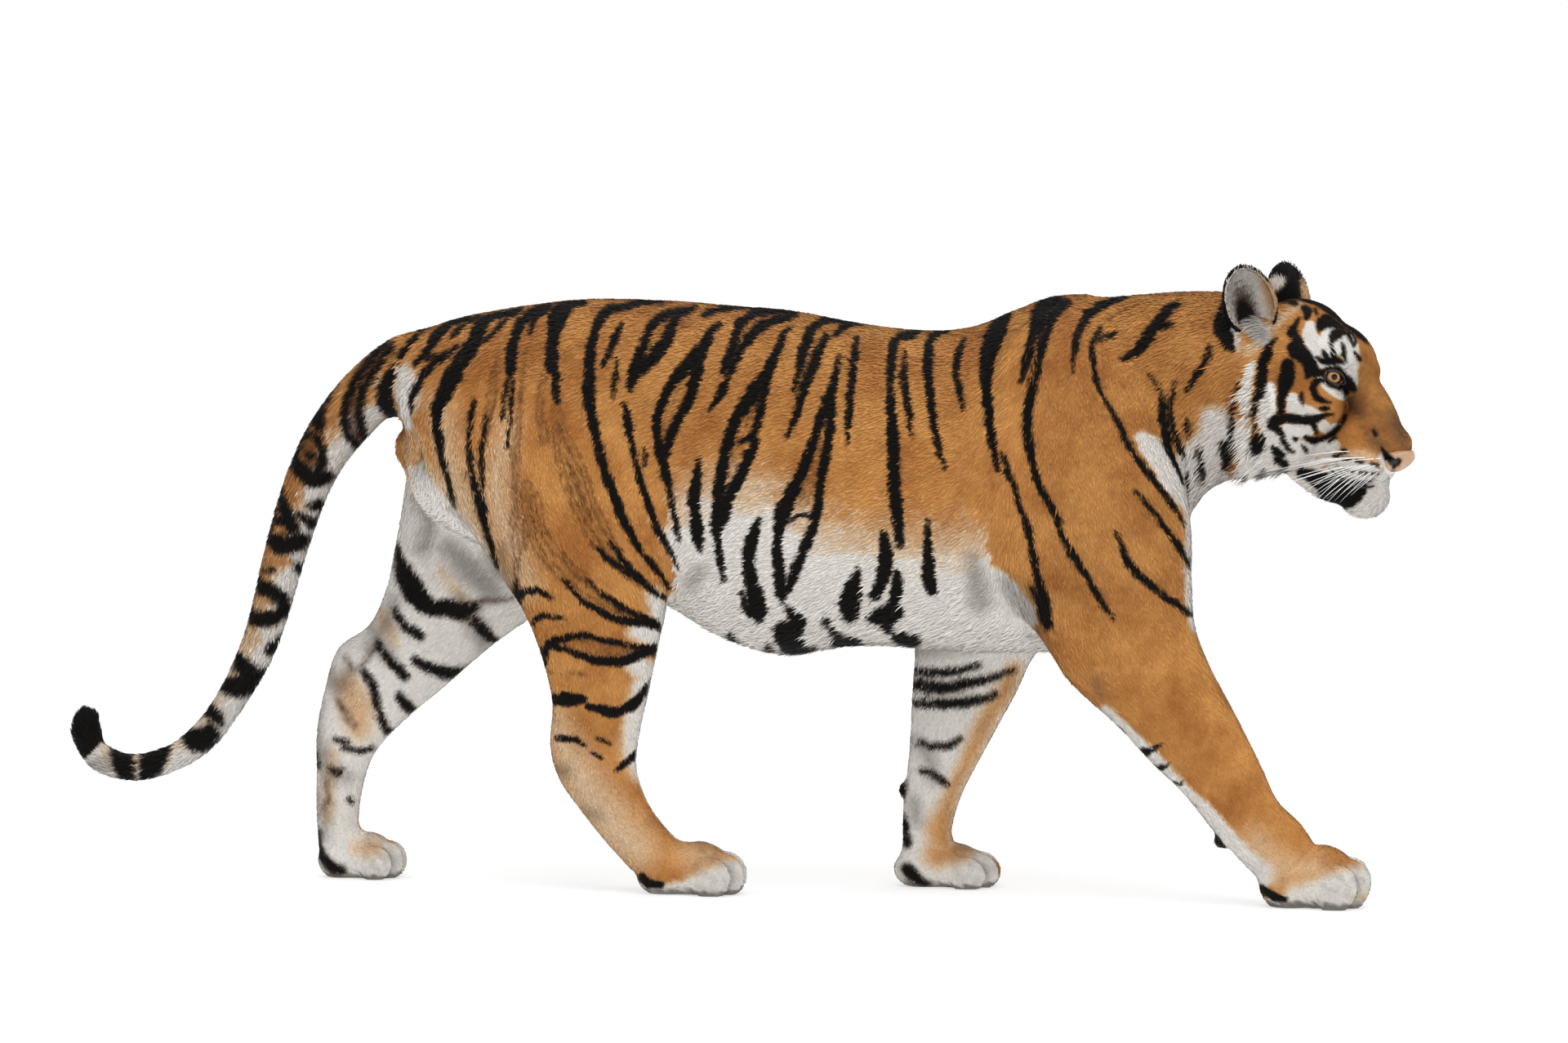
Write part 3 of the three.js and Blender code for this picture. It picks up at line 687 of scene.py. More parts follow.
@dataclass(frozen=True)
class Limb:
    """One leg: its tube, its paw and the pads behind the wrist."""

    name: str
    side: Side
    tube: Loft
    paw: Paw
    pads: tuple[tuple[Place, Place], ...] = ()

    def shells(self, depth: float) -> list[Surface]:
        """Returns the limb's closed skins, `depth` inside the tips of its coat."""
        points, faces = self.paw.form().surface(40, 72, -0.5 * depth)
        shells = [self.tube.surface(90, 48, -depth), (points + [0, self.paw.y, 0], faces)]
        return shells + [ball(centre, radii, 10) for centre, radii in self.pads]

    def paw_share(self, points: Array) -> Array:
        """Returns how far points belong to the paw rather than to the tube, 0 to 1."""
        ankle = self.paw.heel + 0.42 * self.paw.length
        height = self.paw.height
        low = smoothstep(1.5 * height, 0.95 * height, points[:, 2])
        return low * smoothstep(ankle - 90, ankle - 50, points[:, 0])

    def toe_share(self, points: Array) -> Array:
        """Returns how far points belong to the front of the paw, 0 to 1."""
        front = self.paw.heel + 0.5 * self.paw.length
        return self.paw_share(points) * smoothstep(front, front + 0.15 * self.paw.length, points[:, 0])

    def counterpart(self, points: Array, t: Array, angle: Array, other: "Limb") -> Array:
        """Returns the same spots on the leg of the other side.

        Args:
            points: places on this leg.
            t: their stations on this leg's tube.
            angle: their angles round it.
            other: the leg on the other side.
        """
        on_tube = other.tube.ring_point(t, np.pi - angle)
        on_paw = mirrored(points - [self.paw.heel, self.paw.y, 0]) + [other.paw.heel, other.paw.y, 0]
        share = self.paw_share(points)[:, None]
        return on_tube * (1 - share) + on_paw * share

    def outerness(self, points: Array, t: Array) -> Array:
        """Returns -1 on the inner face of the leg, 1 on its outer face."""
        _, _, _, wide, y = self.tube.frame_at(t)
        share = self.paw_share(points)
        middle = y * (1 - share) + self.paw.y * share
        half = wide * (1 - share) + self.paw.half * share
        return np.clip((points[:, 1] - middle) / half * self.side, -1, 1)


LIMBS = (
    Limb(
        "fore_right",
        Side.RIGHT,
        FORE_RIGHT,
        Paw(868, -119, 182, 100, 61),
        (((812, -126, 106), (13, 15, 13)), ((850, -82, 92), (14, 11, 14))),
    ),
    Limb(
        "fore_left",
        Side.LEFT,
        FORE_LEFT,
        Paw(254, 84, 178, 72, 59),
        (((281, 88, 158), (17, 15, 17)), ((287, 52, 104), (13, 11, 14))),
    ),
    Limb("hind_right", Side.RIGHT, HIND_RIGHT, Paw(-150, -78, 184, 86, 54)),
    Limb("hind_left", Side.LEFT, HIND_LEFT, Paw(-711, 77, 150, 76, 53)),
)
PARTNER = (1, 0, 3, 2)  # number of the leg of the other side, for each leg


# ---------------------------------------------------------------- the ears


@dataclass(frozen=True)
class Ear:
    """A round cup, open to the front and side, rooted in the skull."""

    side: Side
    root: Place = (880, 96, 962)
    out: float = 1.15  # how far the cup faces out from straight ahead, in radians
    roll: float = 0.28  # how far its top leans outwards
    radii: Place = (26, 42, 65)
    wall: float = 4.5
    rim: float = 1.78  # angle from the back pole to the rim, in radians
    rings: int = 44
    segments: int = 56

    @property
    def count(self) -> int:
        """Returns the number of the cup's points."""
        return self.rings * self.segments + 2

    def lean(self) -> Array:
        """Returns the matrix that leans the cup outwards."""
        c, s = math.cos(-self.side * self.roll), math.sin(-self.side * self.roll)
        return np.array([[1, 0, 0], [0, c, -s], [0, s, c]])

    def place(self, local: Array) -> Array:
        """Returns points of the cup's own frame in the frame of the unturned head."""
        return turn_z(local @ self.lean().T, self.side * self.out) + np.array(self.root) * [1, self.side, 1]

    def local(self, points: Array) -> Array:
        """Returns points of the unturned head in the cup's own frame."""
        return turn_z(points - np.array(self.root) * [1, self.side, 1], -self.side * self.out) @ self.lean()

    def coat(self, points: Array, normals: Array) -> tuple[Array, Array, Array]:
        """Returns lie, comb and whether each point is outside, for the cup's own points.

        Outside, the hair lies from the foot to the top; inside, it leans across the cup.
        """
        share = np.append(np.repeat(np.linspace(0.03, 1.97, self.rings), self.segments), [0.0, 2.0])
        outside = (share <= 1.0).astype(float)
        local = self.local(points)
        ways = np.where(outside[:, None] > 0, [0.0, 0.0, 1.0], [0.5, -0.4 * self.side, 0.7])
        lie = turn_z(turn_z(ways @ self.lean().T, self.side * self.out), HEAD_TURN)
        lie = laid_flat(lie, normals)
        comb = np.stack([local[:, 1] + 60 + 130 * (1 - outside), local[:, 2] + 90], axis=1)
        return lie, comb, outside

    def cup(self, share: Array, angle: Array) -> Array:
        """Returns points of the cup in its own frame.

        `share` runs 0 to 1 from the back pole over the outside to the rim and on to 2 at the bottom
        of the inside. Outside and inside are parts of two ellipsoids a wall apart, and the front
        edge is folded in towards its foot.
        """
        outside = np.minimum(share, 1) * self.rim
        inside = np.minimum(2 - share, 1) * self.rim
        inner = share > 1
        turn = np.where(inner, inside, outside)
        size = np.array(self.radii) - inner[:, None] * self.wall
        y, z = np.sin(turn) * np.cos(angle), np.sin(turn) * np.sin(angle)
        points = np.stack([-np.cos(turn), y, z], axis=1) * size
        points[:, 0] += inner * 0.5
        foot = smoothstep(-0.1, -0.9, np.sin(angle)) * smoothstep(0.5, 1.0, np.minimum(share, 2 - share))
        points[:, 0] -= 12 * foot
        points[:, 1] *= 1 - 0.25 * foot
        return points

    def surface(self) -> Surface:
        """Returns points and triangles of the closed cup in the standing frame."""
        rings, segments = self.rings, self.segments
        share = np.repeat(np.linspace(0.03, 1.97, rings), segments)
        angle = np.tile(np.arange(segments) * 2 * np.pi / segments, rings)
        poles = self.cup(np.array([0.0, 2.0]), np.array([0.0, 0.0]))
        return globe(from_head(self.place(np.concatenate([self.cup(share, angle), poles]))), rings, segments)


EARS = (Ear(Side.RIGHT), Ear(Side.LEFT))


# ---------------------------------------------------------------- the skin

SCROTUM_PLACE = (-533, 0, 721)
SCROTUM_RADII = (27, 33, 36)
TAIL_END, TAIL_END_RADII = (-1083, 2, 262), (21, 20, 21)  # the tail ends in a round brush
MUZZLE_TIP = (1128, 0, 742)  # the coat of the face flows away from here
FACE_EDGE = (761, 767)  # across the side view: the head's pattern takes over from the neck's


class Region(IntEnum):
    """Stretches of the skin, each with its own coat."""

    TORSO = 0
    NECK = 1
    TAIL = 2
    FORE_RIGHT = 3
    FORE_LEFT = 4
    HIND_RIGHT = 5
    HIND_LEFT = 6
    HEAD = 7
    EAR_RIGHT = 8
    EAR_LEFT = 9
    SCROTUM = 10


@dataclass
class SkinMap:
    """What is known at each vertex of the skin."""

    region: Array  # number of the Region
    lie: Array  # unit direction in which the coat lies
    comb: Array  # distance along and round the region, for hair-fine patterns and the coat's map
    flank: Array  # place in the side view of the near side
    inner: Array  # place in the side view of the far legs' inner side
    face: Array  # place in the side view of the head
    outer: Array  # share of the flank's pattern, 0 to 1
    inside: Array  # share of the inner legs' pattern
    front: Array  # share of the head's pattern
    limb: Array  # station on the leg, below 0 off the legs
    wrap: Array  # angle round the leg; on the ears 1 outside the cup and 0 inside


def side_view(points: Array) -> Array:
    """Returns where points show in the side view: across and up, in millimetres."""
    x, y, z = points.T
    lean, rise = VIEW_LEAN, VIEW_RISE
    across = x * math.cos(lean) + y * math.sin(lean)
    up = z * math.cos(rise) + (y * math.cos(lean) - x * math.sin(lean)) * math.sin(rise)
    return np.stack([across, up], axis=1)


def near_view(points: Array) -> Array:
    """Returns the side view of the right side, with the left side mirrored on to it."""
    return side_view(points * [1, 0, 1] - np.abs(points * [0, 1, 0]))


def head_view(points: Array) -> Array:
    """Returns the side view of the unturned head, with its left side mirrored on to its right."""
    return near_view(turn_z(points * [1, 0, 1] - np.abs(points * [0, 1, 0]), HEAD_TURN))


@dataclass
class Skin:
    """The tiger's body in one closed skin, which lies inside the tips of the coat."""

    voxel: float = 3.6
    fillet_rounds: int = 70
    budget: int = 176_000
    depths: dict[str, float] = field(
        default_factory=lambda: {"torso": 8.0, "neck": 10.0, "tail": 4.0, "leg": 5.0, "head": 4.5}
    )

    def shells(self) -> list[Surface]:
        """Returns the closed forms that the body is joined from."""
        depth = self.depths
        skull, skull_faces = SKULL.surface(110, 150, -depth["head"])
        jaw, jaw_faces = JAW.surface(60, 80, -2.5)
        shells = [
            TORSO.surface(180, 90, -depth["torso"]),
            NECK.surface(60, 72, -depth["neck"]),
            TAIL.surface(150, 36, -depth["tail"]),
            ball(SCROTUM_PLACE, SCROTUM_RADII),
            ball(TAIL_END, TAIL_END_RADII),
            (from_head(skull), skull_faces),
            (from_head(jaw), jaw_faces),
        ]
        for limb in LIMBS:
            shells += limb.shells(depth["leg"])
        return shells

    def build(self) -> Surface:
        """Returns points and triangles: joined, creases filled, head and paws fitted, then thinned."""
        points, faces = reworked(
            *joined(self.shells()), None, "REMESH", mode="VOXEL", voxel_size=self.voxel * MM, adaptivity=0.0
        )
        LOG.info("skin remeshed: %d triangles", len(faces))
        edges = edges_of(faces)
        points = self.relaxed(points, edges, 4)
        head = to_head(points)
        free = smoothstep(960, 900, head[:, 0])  # the face keeps its folds
        paws = np.max([limb.toe_share(points) * self.near_limb(limb, points) for limb in LIMBS], axis=0)
        points = self.filled(points, faces, edges, free * (1 - 0.9 * paws))
        points = self.fitted(points)
        points = points + vertex_normals(points, faces) * self.muscles(points)[:, None]
        points[:, 2] = np.maximum(points[:, 2], FLOOR_GAP)
        fine = np.maximum(smoothstep(900, 960, head[:, 0]), 0.5 * paws)
        weights = 0.9 - 0.87 * fine  # never 1, so that short edges go first and the mesh stays even
        points, faces = reworked(
            points, faces, weights, "DECIMATE", ratio=self.budget / len(faces), vertex_group_factor=4.0
        )
        LOG.info("skin thinned: %d triangles", len(faces))
        return points, faces

    @staticmethod
    def near_limb(limb: Limb, points: Array) -> Array:
        """Returns 1 on the limb's side of the animal."""
        return (points[:, 1] * limb.side > 0).astype(float) * (
            np.abs(points[:, 0] - limb.paw.heel - limb.paw.length / 2) < 200
        )

    @staticmethod
    def averages(points: Array, edges: Array) -> Array:
        """Returns the mean place of each vertex's neighbours."""
        count = np.bincount(edges.ravel(), minlength=len(points))
        total = np.empty_like(points)
        for axis in range(3):
            total[:, axis] = np.bincount(edges[:, 0], points[edges[:, 1], axis], len(points))
            total[:, axis] += np.bincount(edges[:, 1], points[edges[:, 0], axis], len(points))
        return total / np.maximum(count, 1)[:, None]

    def relaxed(self, points: Array, edges: Array, rounds: int) -> Array:
        """Returns the points smoothed without shrinking: each round pulls in and pushes back out."""
        for _ in range(rounds):
            for pull in (0.5, -0.52):
                points = points + pull * (self.averages(points, edges) - points)
        return points

    def filled(self, points: Array, faces: Array, edges: Array, free: Array) -> Array:
        """Returns the points with creases filled: they only move outwards, towards their neighbours."""
        for turn in range(self.fillet_rounds):
            if turn % 10 == 0:
                normals = vertex_normals(points, faces)
            step = self.averages(points, edges) - points
            rise = np.einsum("ij,ij->i", step, normals)
            slide = step - rise[:, None] * normals
            points = points + free[:, None] * (0.3 * slide + np.maximum(rise, -0.02)[:, None] * normals)
        return self.relaxed(points, edges, 3)

    def fitted(self, points: Array) -> Array:
        """Returns the points with the face and the paws pulled on to their own finer forms."""
        head = to_head(points)
        face = np.flatnonzero(head[:, 0] > 880)
        gap = FACE.distance(head[face])
        room = 12 + 26 * smoothstep(960, 1030, head[face, 0])
        off = np.abs(gap + self.depths["head"]) - room
        share = smoothstep(900, 950, head[face, 0]) * smoothstep(4, -3, off)
        face, share = face[share > 0], share[share > 0]
        near = head[face]
        grow = -self.depths["head"] * smoothstep(1105, 1040, near[:, 0]) - 1.0
        moved = FACE.pull(near, grow)
        points[face] = from_head(near + (moved - near) * share[:, None])
        points = self.opened(points)
        for limb in LIMBS:
            share = limb.toe_share(points) * self.near_limb(limb, points)
            paw = np.flatnonzero(share > 0.05)
            near = limb.paw.local(points[paw])
            form = limb.paw.form()
            fit = share[paw] * smoothstep(12, 6, np.abs(form.distance(near) + 2))
            moved = form.pull(near, -2.0, 3)
            points[paw] += (moved - near) * fit[:, None]
        return points

    @staticmethod
    def opened(points: Array) -> Array:
        """Returns the points with the lids over the eyeballs, and sunk behind them between the lids."""
        head = to_head(points)
        for eye in EYES:
            offset = head - eye.centre()
            reach = np.linalg.norm(offset, axis=1)
            near = (reach < 36) * smoothstep(0, 7, offset @ eye.axes()[0])
            sunk = smoothstep(1.12, 0.92, eye.between_lids(head))
            wanted = (1 - sunk) * np.maximum(reach, EYE_RADIUS + 2.4) + sunk * 13
            head = head + offset * (near * (wanted / np.maximum(reach, 1) - 1))[:, None]
        return from_head(head)

    @staticmethod
    def muscles(points: Array) -> Array:
        """Returns how far soft swells and dips of muscle and bone move the skin outwards."""
        side = np.abs(points[:, 1])
        swells = (
            # place (x, |y|, z), reach (x, y, z), height
            ((560, 120, 850), (60, 70, 95), 9),  # blade of the shoulder
            ((640, 150, 640), (50, 60, 70), 7),  # point of the shoulder
            ((470, 190, 520), (55, 60, 60), 6),  # elbow
            ((330, 180, 640), (40, 70, 130), -8),  # behind the shoulder
            ((-60, 170, 640), (60, 70, 110), -9),  # flank before the thigh
            ((-300, 150, 760), (90, 70, 80), 7),  # haunch
            ((180, 190, 620), (150, 60, 120), 4),  # ribs
            ((-420, 150, 650), (50, 60, 90), -5),  # behind the thigh
            ((-526, 92, 730), (38, 56, 48), -30),  # beside the scrotum
        )
        total = np.zeros(len(points))
        for (x, y, z), (rx, ry, rz), height in swells:
            near = ((points[:, 0] - x) / rx) ** 2 + ((side - y) / ry) ** 2 + ((points[:, 2] - z) / rz) ** 2
            total += height * np.exp(-near)
        return total

    @staticmethod
    def survey(points: Array, faces: Array, body: int) -> SkinMap:
        """Works out region, lie and pattern places for every vertex.

        Each vertex belongs to the tube or form whose skin it is nearest to. The coat lies along that
        tube, and on the head it flows away from the nose. These directions are smoothed over the
        mesh and laid flat on it.

        Args:
            points: vertices of the skin, followed by those of the right and the left ear.
            faces: triangles.
            body: number of vertices before the ears'.

        Returns:
            The map of all vertices.
        """
        count = len(points)
        head = to_head(points)
        normals = vertex_normals(points, faces)
        tubes = (TORSO, NECK, TAIL, *(limb.tube for limb in LIMBS))
        located = [tube.locate(points) for tube in tubes]
        gaps = [np.abs(gap) for _, _, gap in located]
        gaps[Region.NECK] = gaps[Region.NECK] + 400 * smoothstep(905, 930, head[:, 0])
        for k, limb in enumerate(LIMBS):
            paw = np.abs(limb.paw.form().distance(limb.paw.local(points)))
            here = Region.FORE_RIGHT + k
            gaps[here] = np.minimum(gaps[here], paw) + 6 * smoothstep(3, 1, located[here][0])
        skull = np.minimum(np.abs(SKULL.distance(head)), np.abs(JAW.distance(head)))
        gaps.append(np.where(head[:, 0] > 800, skull, FAR))
        gaps = np.stack(gaps, axis=1)
        region = np.argmin(gaps, axis=1)
        bag = np.abs(np.linalg.norm((points - SCROTUM_PLACE) / SCROTUM_RADII, axis=1) - 1) < 0.14
        bag &= (points[:, 0] < -520) & (np.abs(points[:, 1]) < 34)
        region[bag] = Region.SCROTUM

        lies = np.zeros((count, 3))
        comb = np.zeros((count, 2))
        share = np.exp(-((np.minimum(gaps, 200) / 14) ** 2)) + 1e-12
        for k, tube in enumerate(tubes):
            t, angle, _ = located[k]
            way = tube.heading(t)
            if k <= Region.NECK:
                way = np.stack([-np.abs(way[:, 0]), 0 * t, np.full(count, -0.42 - 0.25 * k)], axis=1)
            elif k > Region.TAIL:
                paw = LIMBS[k - Region.FORE_RIGHT].paw_share(points)[:, None]
                way = way * (1 - paw) + paw * np.array([0.9, 0, -0.35])
                way = way + [-0.35, 0, 0] * smoothstep(4, 1, t)[:, None]
            lies += share[:, k : k + 1] * way
            mine = region == k
            _, _, half, wide, _ = tube.frame_at(t[mine])
            girth = np.mod(angle[mine] + np.pi / 2, 2 * np.pi) * np.mean([half, wide], axis=0)
            comb[mine] = np.stack([tube.length_at(t[mine]), girth], axis=1)
        away = unit(head - MUZZLE_TIP)
        away = away + smoothstep(1010, 900, head[:, :1]) * [0, 0, -0.8]
        low = smoothstep(700, 660, head[:, 2])[:, None]
        away = unit(away * (1 - low) + low * np.array([-1.0, 0, -0.25]))
        lies += share[:, Region.HEAD : Region.HEAD + 1] * turn_z(away, HEAD_TURN) * 1.5
        mine = region == Region.HEAD
        round_it = np.arctan2(head[mine, 1], head[mine, 2] - 790) * 90 + 300
        comb[mine] = np.stack([MUZZLE_TIP[0] - head[mine, 0], round_it], axis=1)
        lies[bag] = [-0.3, 0, -1]
        comb[bag] = np.stack([1400 - points[bag, 2], points[bag, 1] + 100], axis=1)
        edges = edges_of(faces)
        lies = unit(lies)
        for _ in range(12):
            lies = Skin.averages(lies, edges) * 0.7 + lies * 0.3
        lies = laid_flat(lies, normals)

        flank, inner = near_view(points), side_view(points * [1, 0, 1] + np.abs(points * [0, 1, 0]))
        outer, inside = np.ones(count), np.zeros(count)
        station = np.full(count, -1.0)
        wrap = np.zeros(count)
        for k, limb in enumerate(LIMBS):
            t, angle, _ = located[Region.FORE_RIGHT + k]
            mine = np.flatnonzero(region == Region.FORE_RIGHT + k)
            p, t, angle = points[mine], t[mine], angle[mine]
            other = limb.counterpart(p, t, angle, LIMBS[PARTNER[k]])
            share = smoothstep(1.5, 5.5, t)[:, None]
            low = limb.outerness(p, t)
            out = smoothstep(-0.12, 0.12, low)
            if limb.side is Side.LEFT:
                flank[mine] = near_view(mirrored(p) * (1 - share) + other * share)
            else:
                inner[mine] = side_view(mirrored(p) * (1 - share) + other * share)
            inside[mine] = (1 - out) * smoothstep(1.5, 2.5, t)
            outer[mine] = 1 - inside[mine]
            station[mine] = t
            wrap[mine] = angle
        face = head_view(head)
        front = smoothstep(*FACE_EDGE, face[:, 0]) * (head[:, 0] > 700) * (head[:, 2] > 570)
        for k, ear in enumerate(EARS):
            start = body + k * ear.count
            mine = slice(start, start + ear.count)
            region[mine] = Region.EAR_RIGHT + k
            lies[mine], comb[mine], wrap[mine] = ear.coat(head[mine], normals[mine])
            comb[mine, 0] += 300 * k
            outer[mine] = inside[mine] = front[mine] = 0
            station[mine] = -1
        tail = region == Region.TAIL
        flat = points[tail] * [1, 0, 1] - np.abs(points[tail] - [0, 4, 0]) * [0, 1, 0]
        flank[tail] = side_view(flat)
        outer, inside = outer * (1 - front), inside * (1 - front)
        return SkinMap(region, lies, comb, flank, inner, face, outer, inside, front, station, wrap)


FACE = LobeForm(
    SKULL.centre,
    SKULL.axis,
    (
        *SKULL_LOBES[:4],
        *SKULL_LOBES[8:],
        Lobe((1055, 0, 790), (105, 35, 36), 1.13),  # bridge of the nose
        Lobe((1033, 0, 846), (27, 30, 40), 0.9),  # between brow and bridge
        Lobe((1096, 0, 743), (26, 27, 22), 0.95),  # end of the bridge, over the nose
        Lobe((1034, 0, 745), (72, 55, 52), 0.1),  # muzzle
        Lobe((1046, 36, 716), (42, 36, 38), 0.15, 0.1),  # whisker pad
        Lobe((1069, 13, 704), (21, 18, 25)),  # upper lip
        Lobe((1012, 50, 872), (30, 16, 12), 0.5, -0.5),  # ridge over the eye
        Lobe((1010, 66, 826), (24, 12, 9), 0.3, -0.75),  # pouch under the eye
        Lobe((982, 0, 688), (88, 56, 42), 0.42),  # lower jaw
        Lobe((1041, 0, 660), (43, 42, 43)),  # chin
        Lobe((1057, 0, 681), (27, 26, 18)),  # where the lips meet
    ),
    9,
    (
        Lobe((1052, 70, 838), (22, 9, 26), 0.5, -0.2),  # beside the bridge
        Lobe((1032, 42, 856), (8, 6, 6), 0.0, -0.5),  # inner corner of the eye
    ),
    14,
)


# ---------------------------------------------------------------- the markings
# Each stroke is a row of (across, up, width) in one of the side views, drawn as a smooth line.

